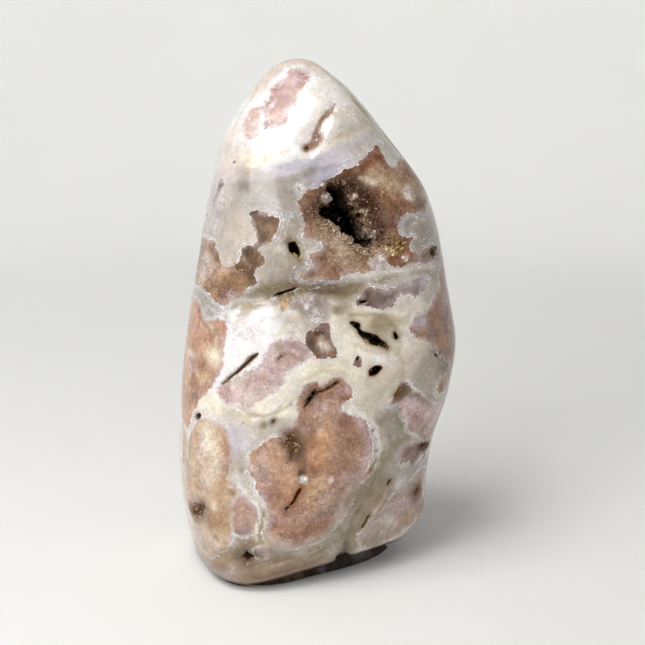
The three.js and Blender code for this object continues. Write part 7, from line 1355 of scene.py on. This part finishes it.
# near-black crystals deep in the main hollow: painted shade
grow((mh > 0.6) & (mh < 30), 0.40, 0.7, 0.35, ["black", "black", "bark"], mixed=0.97, along=1.9)
grow((bowl > 0.2) & (mh <= -0.6), 3.0, 0.17, 0.40, ["honey", "sand", "tan", "cocoa"], mixed=0.14, along=2.0, sink=0.5)
druse = grown("druse_crystals")
for t, z, r, tones, dens, size in CLUSTERS:
    c = surface(np.array([math.radians(t)]), np.array([float(z)]))[0][0]
    grow(np.linalg.norm(REST - c, axis=-1) < r, dens, size, 0.3, tones, mixed=0.8, along=1.8, sink=0.4)
for v in HOLLOWS:
    if v["name"] == "main_hollow" or v.get("crystals", 0) <= 0:
        continue
    near, f = hollow_field(REST, v); m = np.zeros(len(P), bool); m[near[(f > 0.15) & ((Nrm[near] @ v["d"]) < 0.25)]] = True
    grow(m, v["crystals"], v.get("csize", 0.24), 0.35, v.get("tones", ["honey", "umber", "tan", "coffee"]), mixed=0.7, along=1.8, proud=0.12)
pockets = grown("pocket_crystals")


# ---------------------------------------------------------------- materials
class Nodes:
    def __init__(self, name):
        self.mat = bpy.data.materials.new(name); self.mat.use_nodes = True
        self.t = self.mat.node_tree; self.t.nodes.clear()
        self.out = self.new("ShaderNodeOutputMaterial")

    def new(self, kind, **kw):
        n = self.t.nodes.new(kind)
        for k, v in kw.items():
            setattr(n, k, v)
        return n

    def put(self, sock, v):
        if isinstance(v, bpy.types.NodeSocket):
            self.t.links.new(v, sock)
        elif v is not None:
            sock.default_value = (*v, 1.0) if sock.type == "RGBA" and len(v) == 3 else v

    def m(self, op, a, b=None, c=None, clamp=False):
        n = self.new("ShaderNodeMath", operation=op, use_clamp=clamp)
        for s, v in zip(n.inputs, (a, b, c)):
            self.put(s, v)
        return n.outputs[0]

    def vm(self, op, a, b=None, scale=None):
        n = self.new("ShaderNodeVectorMath", operation=op)
        self.put(n.inputs[0], a); self.put(n.inputs[1], b)
        if scale is not None:
            self.put(n.inputs["Scale"], scale)
        return n.outputs[0]

    def mix(self, f, a, b, mode="MIX"):
        n = self.new("ShaderNodeMix", data_type="RGBA", blend_type=mode, clamp_factor=True)
        self.put(n.inputs[0], f); self.put(n.inputs[6], a); self.put(n.inputs[7], b)
        return n.outputs[2]

    def ramp(self, x, lo, hi, a=0.0, b=1.0):
        n = self.new("ShaderNodeMapRange", interpolation_type="SMOOTHSTEP", clamp=True)
        for s, v in zip(n.inputs[:5], (x, lo, hi, a, b)):
            self.put(s, v)
        return n.outputs[0]

    def noise(self, p, size, detail=2.0, rough=0.5, warp=0.0, out=0):
        n = self.new("ShaderNodeTexNoise")
        self.put(n.inputs["Vector"], p); n.inputs["Scale"].default_value = 1.0 / size
        n.inputs["Detail"].default_value = detail; n.inputs["Roughness"].default_value = rough; n.inputs["Distortion"].default_value = warp
        return n.outputs[out]

    def cells(self, p, size, feature="F1", out="Distance", smoothness=None):
        n = self.new("ShaderNodeTexVoronoi", feature=feature)
        self.put(n.inputs["Vector"], p); n.inputs["Scale"].default_value = 1.0 / size
        if smoothness is not None:
            n.inputs["Smoothness"].default_value = smoothness
        return n.outputs[out]

    def attr(self, name, out="Fac"):
        n = self.new("ShaderNodeAttribute", attribute_type="GEOMETRY", attribute_name=name)
        return n.outputs[out]

    def split(self, v):
        n = self.new("ShaderNodeSeparateXYZ"); self.put(n.inputs[0], v)
        return n.outputs

    def luma(self, c):
        n = self.new("ShaderNodeRGBToBW"); self.put(n.inputs[0], c)
        return n.outputs[0]

    def gauss(self, x, at, width):
        """1 at x = at, falling to 0 at width either side."""
        return self.ramp(self.m("ABSOLUTE", self.m("SUBTRACT", x, at)), 0.0, width, 1.0, 0.0)

    def grey(self, v):
        n = self.new("ShaderNodeCombineColor")
        for s in n.inputs[:3]:
            self.put(s, v)
        return n.outputs[0]


def rgb(name):
    return tuple(float(v) for v in tone(name))


N = Nodes("polished_agate")
P3 = N.vm("SCALE", N.new("ShaderNodeTexCoord").outputs["Object"], scale=1000.0)      # mm
e0 = N.attr("edge_mm"); hollow_shade_in = N.attr("hollow_shade_mm")
so, ri, gr = N.split(N.attr("finish", "Vector")); ro, fr, scr = N.split(N.attr("raw", "Vector"))
tin = N.attr("tone_in", "Color"); tin = N.mix(N.ramp(N.luma(tin), .45, .08), tin, N.mix(1.0, tin, (.86, .81, .72), "MULTIPLY")); tout = N.attr("tone_out", "Color")
nA = N.noise(P3, 1.5, 3, .62); nB = N.noise(P3, .5, 3, .6); nC = N.noise(P3, 5.0, 3, .55); cel = N.cells(P3, 1.25, "SMOOTH_F1", smoothness=.35)
e = N.m("ADD", e0, N.m("ADD", N.m("MULTIPLY", N.m("SUBTRACT", nA, .5), 1.9), N.m("ADD", N.m("MULTIPLY", N.m("SUBTRACT", nB, .5), 1.15), N.m("MULTIPLY", N.m("SUBTRACT", cel, .42), .9))))
e = N.m("ADD", e, N.m("MULTIPLY", N.m("MINIMUM", so, 1.4), N.m("MULTIPLY", N.m("SUBTRACT", N.noise(P3, .9, 4, .72, .5), .5), 4.0)))
ins = N.ramp(e, N.m("MULTIPLY", so, -.7), N.m("MULTIPLY", so, .7))

# the matrix: smooth, cloudy chalcedony
big = N.noise(P3, 8.0, 4, .55, .8); mid_ = N.noise(P3, 2.0, 4, .62, .6); fine = N.noise(P3, .42, 3, .6); hue = N.noise(P3, 11.0, 3, .55)
out = N.mix(1.0, N.mix(1.0, tout, N.grey(N.ramp(N.luma(tout), .26, .70, .84, 1.0)), "MULTIPLY"), N.grey(N.ramp(big, .34, .66, .90, 1.06)), "MULTIPLY")
out = N.mix(N.ramp(hue, .54, .68, 0, .16), out, rgb("lav")); out = N.mix(N.ramp(hue, .46, .34, 0, .09), out, rgb("goldcream"))
out = N.mix(1.0, out, N.grey(N.ramp(mid_, .34, .66, .90, 1.06)), "MULTIPLY")
out = N.mix(1.0, out, N.grey(N.ramp(fine, .30, .70, .90, 1.07)), "MULTIPLY")
# frosty, scratched places: white fibres with thin mauve lines between them
pale = N.ramp(N.luma(tout), .12, .42); scr = N.m("MULTIPLY", scr, pale)
fib = N.noise(P3, 1.25, 6, .74, 1.4); fi2 = N.noise(P3, .75, 4, .65, .8)
out = N.mix(N.m("MULTIPLY", N.m("MAXIMUM", scr, N.m("MULTIPLY", pale, N.ramp(hue, .46, .60, 0, .22))), N.ramp(fib, .42, .56, 0, .92)), out, rgb("white"))
thread = N.m("MAXIMUM", N.gauss(fib, .46, .045), N.m("MULTIPLY", N.gauss(fi2, .45, .05), .7))
out = N.mix(N.m("MULTIPLY", N.m("MULTIPLY", N.m("MAXIMUM", scr, .22), thread), N.ramp(nC, .40, .60, .15, .85)), out, rgb("mauve"))
# faint bands that follow the borders
ph = N.m("ADD", N.m("MULTIPLY", e, 8.6), N.m("MULTIPLY", nC, 9.0))
band = N.m("MULTIPLY", N.m("SINE", ph), N.m("MULTIPLY", N.ramp(e, -6.5, -3.0), N.ramp(e, -.5, -1.2)))
out = N.mix(1.0, out, N.grey(N.m("ADD", 1.0, N.m("MULTIPLY", N.m("MULTIPLY", band, .055), N.ramp(hue, .36, .56)))), "MULTIPLY")
# milky zone and broken dark line outside each border
gap = N.ramp(N.noise(P3, 6.5, 2, .5), .40, .56, .25, 1.0)
ri = N.m("MULTIPLY", ri, gap)
halo = N.m("MULTIPLY", N.ramp(e, -2.4, -.2), N.m("MULTIPLY", ri, N.ramp(nC, .34, .60, .15, .60)))
out = N.mix(halo, out, (0.66, 0.61, 0.64))
dark = N.m("MULTIPLY", N.gauss(e, -.62, .17), N.m("MULTIPLY", ri, N.ramp(nA, .40, .58, .05, .80)))
out = N.mix(dark, out, (0.30, 0.23, 0.24))
# tiny brown pits strung along the borders
pit = N.m("MULTIPLY", N.ramp(N.cells(P3, .62), .20, .10), N.m("MULTIPLY", N.gauss(e, -1.0, .55), N.m("MULTIPLY", ri, N.ramp(N.noise(P3, 3.1, 2, .5), .52, .62))))
out = N.mix(N.m("MULTIPLY", pit, .8), out, rgb("cocoa"))
# sparse specks
spk = N.m("MULTIPLY", N.ramp(N.cells(P3, 1.9), .12, .06), N.ramp(N.noise(P3, 2.7, 2, .5), .58, .66))
out = N.mix(N.m("MULTIPLY", spk, .5), out, rgb("dusk"))

# the patches: sugary quartz, mottled
i1 = N.noise(P3, 3.4, 4, .6, .8); i2 = N.noise(P3, .95, 4, .68, .4); sug = N.cells(P3, .45); ihue = N.noise(P3, 5.0, 3, .6)
inn = N.mix(N.ramp(i1, .54, .74, 0, .8), tin, N.mix(1.0, tin, (1.30, 1.32, 1.36), "MULTIPLY"))
inn = N.mix(N.m("MULTIPLY", N.ramp(i1, .54, .34), N.m("ADD", .28, N.m("MULTIPLY", gr, .55))), inn, N.mix(1.0, tin, (.58, .48, .41), "MULTIPLY"))
inn = N.mix(N.ramp(ihue, .56, .70, 0, .8), inn, N.mix(1.0, inn, (1.02, .97, 1.08), "MULTIPLY"))
inn = N.mix(N.m("ADD", .40, N.m("MULTIPLY", gr, .70), clamp=True), inn, N.grey(N.ramp(i2, .32, .68, .76, 1.18)), "MULTIPLY")
inn = N.mix(1.0, inn, N.grey(N.m("ADD", 1.0, N.m("MULTIPLY", N.m("SUBTRACT", .45, sug), N.m("MULTIPLY", gr, .34)))), "MULTIPLY")
inn = N.mix(1.0, inn, N.grey(N.ramp(fine, .30, .70, .88, 1.09)), "MULTIPLY")
# dark crackle in the grainy ones
crk = N.m("MAXIMUM", N.gauss(N.noise(P3, 2.3, 4, .62, .9), .50, .050), N.m("MULTIPLY", N.gauss(N.noise(P3, 1.1, 3, .6, .6), .47, .060), .7))
inn = N.mix(N.m("MULTIPLY", N.m("MULTIPLY", crk, N.m("ADD", gr, .20)), N.ramp(nC, .40, .56, .05, .95)), inn, N.mix(1.0, tin, (.34, .25, .21), "MULTIPLY"))
frs = N.m("MULTIPLY", N.ramp(e, 2.2, .05), N.m("MULTIPLY", fr, N.ramp(N.noise(P3, 7.5, 2, .5), .46, .60, 0, 1.5)))
inn = N.mix(frs, inn, (0.60, 0.47, 0.48))
rimd = N.m("MULTIPLY", N.gauss(e, .42, .40), N.m("MULTIPLY", ri, N.ramp(nA, .42, .60, .10, .50)))
inn = N.mix(rimd, inn, N.mix(1.0, tin, (.52, .42, .38), "MULTIPLY"))
# brown staining in the raw, grainy parts
stain = N.m("MULTIPLY", gr, N.ramp(N.noise(P3, 1.3, 4, .7), .56, .72, 0, .5))
inn = N.mix(stain, inn, rgb("umber"))
col = N.mix(ins, out, inn)
line = N.m("MULTIPLY", N.gauss(e, N.m("MULTIPLY", so, -1.2), N.m("ADD", .20, N.m("MULTIPLY", so, .35))), N.m("MULTIPLY", ri, N.ramp(N.noise(P3, 2.6, 3, .6), .38, .58, .30, 1.05)))
col = N.mix(line, col, (0.97, 0.95, 0.965))
line2 = N.m("MULTIPLY", N.gauss(e, -1.02, .17), N.m("MULTIPLY", ri, N.ramp(nA, .42, .56, .1, .9)))
col = N.mix(line2, col, (0.95, 0.93, 0.945))
line3 = N.m("MULTIPLY", N.gauss(N.m("ADD", e, nC), -2.1, .16), N.m("MULTIPLY", ri, N.ramp(i1, .44, .58, 0, .7)))
col = N.mix(line3, col, (0.93, 0.91, 0.90))

# hollows: painted shade, the walls going brown and then near black with depth
wall = N.mix(N.ramp(i2, .35, .65), rgb("bark"), rgb("umber")); deep = N.mix(N.ramp(hollow_shade_in, .40, 1.5), wall, (0.006, 0.004, 0.003))
col = N.mix(N.ramp(hollow_shade_in, .02, .5, 0, .95), col, deep)
chk = N.m("MULTIPLY", N.gauss(hollow_shade_in, .30, .30), N.ramp(nB, .44, .60, 0, .85)); col = N.mix(chk, col, N.mix(N.ramp(nA, .45, .6), rgb("rust"), rgb("gold")))

bs = N.new("ShaderNodeBsdfPrincipled")
N.put(bs.inputs["Base Color"], col)
raw = N.m("MAXIMUM", ro, N.m("MULTIPLY", N.m("MULTIPLY", gr, .35), ins))
N.put(bs.inputs["Roughness"], N.m("ADD", N.m("ADD", N.m("ADD", .13, N.m("MULTIPLY", scr, .22)), N.m("MULTIPLY", mid_, .08)), N.m("MULTIPLY", raw, .38)))
bs.inputs["IOR"].default_value = 1.54
bs.inputs["Subsurface Weight"].default_value = 0.12
bs.inputs["Subsurface Radius"].default_value = (1.0, 0.72, 0.60)
bs.inputs["Subsurface Scale"].default_value = 0.0011
N.put(bs.inputs["Coat Weight"], N.m("MULTIPLY", N.m("SUBTRACT", 1.0, raw, clamp=True), 0.18))
N.put(bs.inputs["Specular IOR Level"], N.m("SUBTRACT", .5, N.m("MULTIPLY", raw, .34)))
bs.inputs["Coat Roughness"].default_value = 0.06
hgt = N.m("ADD", N.m("MULTIPLY", N.m("MULTIPLY", raw, N.m("SUBTRACT", .5, sug)), .16), N.m("ADD", N.m("MULTIPLY", N.m("MULTIPLY", raw, i2), .30), N.m("ADD", N.m("MULTIPLY", big, .05), N.m("MULTIPLY", N.m("MULTIPLY", ins, fine), .006))))
hgt = N.m("SUBTRACT", hgt, N.m("MULTIPLY", N.m("ADD", pit, spk), .08))
bp = N.new("ShaderNodeBump"); bp.inputs["Distance"].default_value = 0.001; bp.inputs["Strength"].default_value = 1.0
N.put(bp.inputs["Height"], hgt); N.put(bs.inputs["Normal"], bp.outputs[0])
N.t.links.new(bs.outputs[0], N.out.inputs["Surface"])
stone.data.materials.append(N.mat)

D = Nodes("druse_quartz")
Q3 = D.vm("SCALE", D.new("ShaderNodeTexCoord").outputs["Object"], scale=1000.0)
dc = D.mix(1.0, D.attr("tone", "Color"), D.grey(D.ramp(D.noise(Q3, .5, 3, .6), .3, .7, .8, 1.2)), "MULTIPLY")
ds = D.new("ShaderNodeBsdfPrincipled"); D.put(ds.inputs["Base Color"], dc)
D.put(ds.inputs["Roughness"], D.ramp(D.noise(Q3, 1.1, 2, .5), .35, .65, .10, .34))
ds.inputs["IOR"].default_value = 1.55; ds.inputs["Coat Weight"].default_value = 0.5; ds.inputs["Coat Roughness"].default_value = 0.04
D.t.links.new(ds.outputs[0], D.out.inputs["Surface"])
druse.data.materials.append(D.mat); pockets.data.materials.append(D.mat)

for ob in (stone, druse, pockets):
    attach(ob, "root")
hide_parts("stone")


# ---------------------------------------------------------------- stage, light and camera
def plain(name, colour, rough=0.9):
    S = Nodes(name); b = S.new("ShaderNodeBsdfPrincipled"); T3 = S.new("ShaderNodeTexCoord").outputs["Object"]
    S.put(b.inputs["Base Color"], S.mix(S.ramp(S.noise(T3, .05, 3, .5), .3, .7), colour, tuple(c * .985 for c in colour)))
    b.inputs["Roughness"].default_value = rough; b.inputs["Specular IOR Level"].default_value = 0.2
    S.t.links.new(b.outputs[0], S.out.inputs["Surface"])
    return S.mat


ring, prof = 96, [(0.0, 0.0), (0.30, 0.0), (0.50, 0.0)] + [(0.50 + 0.14 * math.sin(a), 0.14 - 0.14 * math.cos(a)) for a in np.radians(np.arange(10, 91, 10))] + [(0.64, 0.36)]
sv = [(0, 0, -0.0002)]; sf = []
for r, z in prof[1:]:
    sv += [(r * math.cos(2 * math.pi * i / ring), r * math.sin(2 * math.pi * i / ring), z - 0.0002) for i in range(ring)]
sf += [[0, 1 + i, 1 + (i + 1) % ring] for i in range(ring)]
for k in range(len(prof) - 2):
    a, b = 1 + k * ring, 1 + (k + 1) * ring
    sf += [[a + i, b + i, b + (i + 1) % ring, a + (i + 1) % ring] for i in range(ring)]
floor = add_mesh("studio_floor", sv, sf)
floor.data.materials.append(plain("pale_floor", FLOOR_COLOUR))

world = bpy.data.worlds.new("studio"); bpy.context.scene.world = world; world.use_nodes = True
bg = world.node_tree.nodes["Background"]; bg.inputs[0].default_value = (1.0, 0.995, 0.98, 1); bg.inputs[1].default_value = WORLD_STRENGTH


def softbox(name, at, to, w, h, power, colour=(1, 1, 1), spread=180):
    L = bpy.data.lights.new(name, "AREA"); L.shape = "RECTANGLE"; L.size = w; L.size_y = h; L.energy = power; L.color = colour
    L.spread = math.radians(spread)
    o = bpy.data.objects.new(name, L); o.location = at
    o.rotation_euler = (Vector(to) - Vector(at)).to_track_quat("-Z", "Y").to_euler()
    bpy.context.scene.collection.objects.link(o)


for l in LAMPS:
    softbox(*l)

cam = bpy.data.cameras.new("camera"); cam.sensor_width = 36.0; cam.lens = 1150.0 / 645.0 * 36.0
cam.clip_start = 0.01; cam.clip_end = 10.0
eye = bpy.data.objects.new("camera", cam); eye.location = (0.00212, -0.35951, 0.1673); eye.rotation_euler = (math.radians(76), 0, 0)
bpy.context.scene.collection.objects.link(eye); bpy.context.scene.camera = eye
bpy.context.scene.view_settings.view_transform = "Standard"
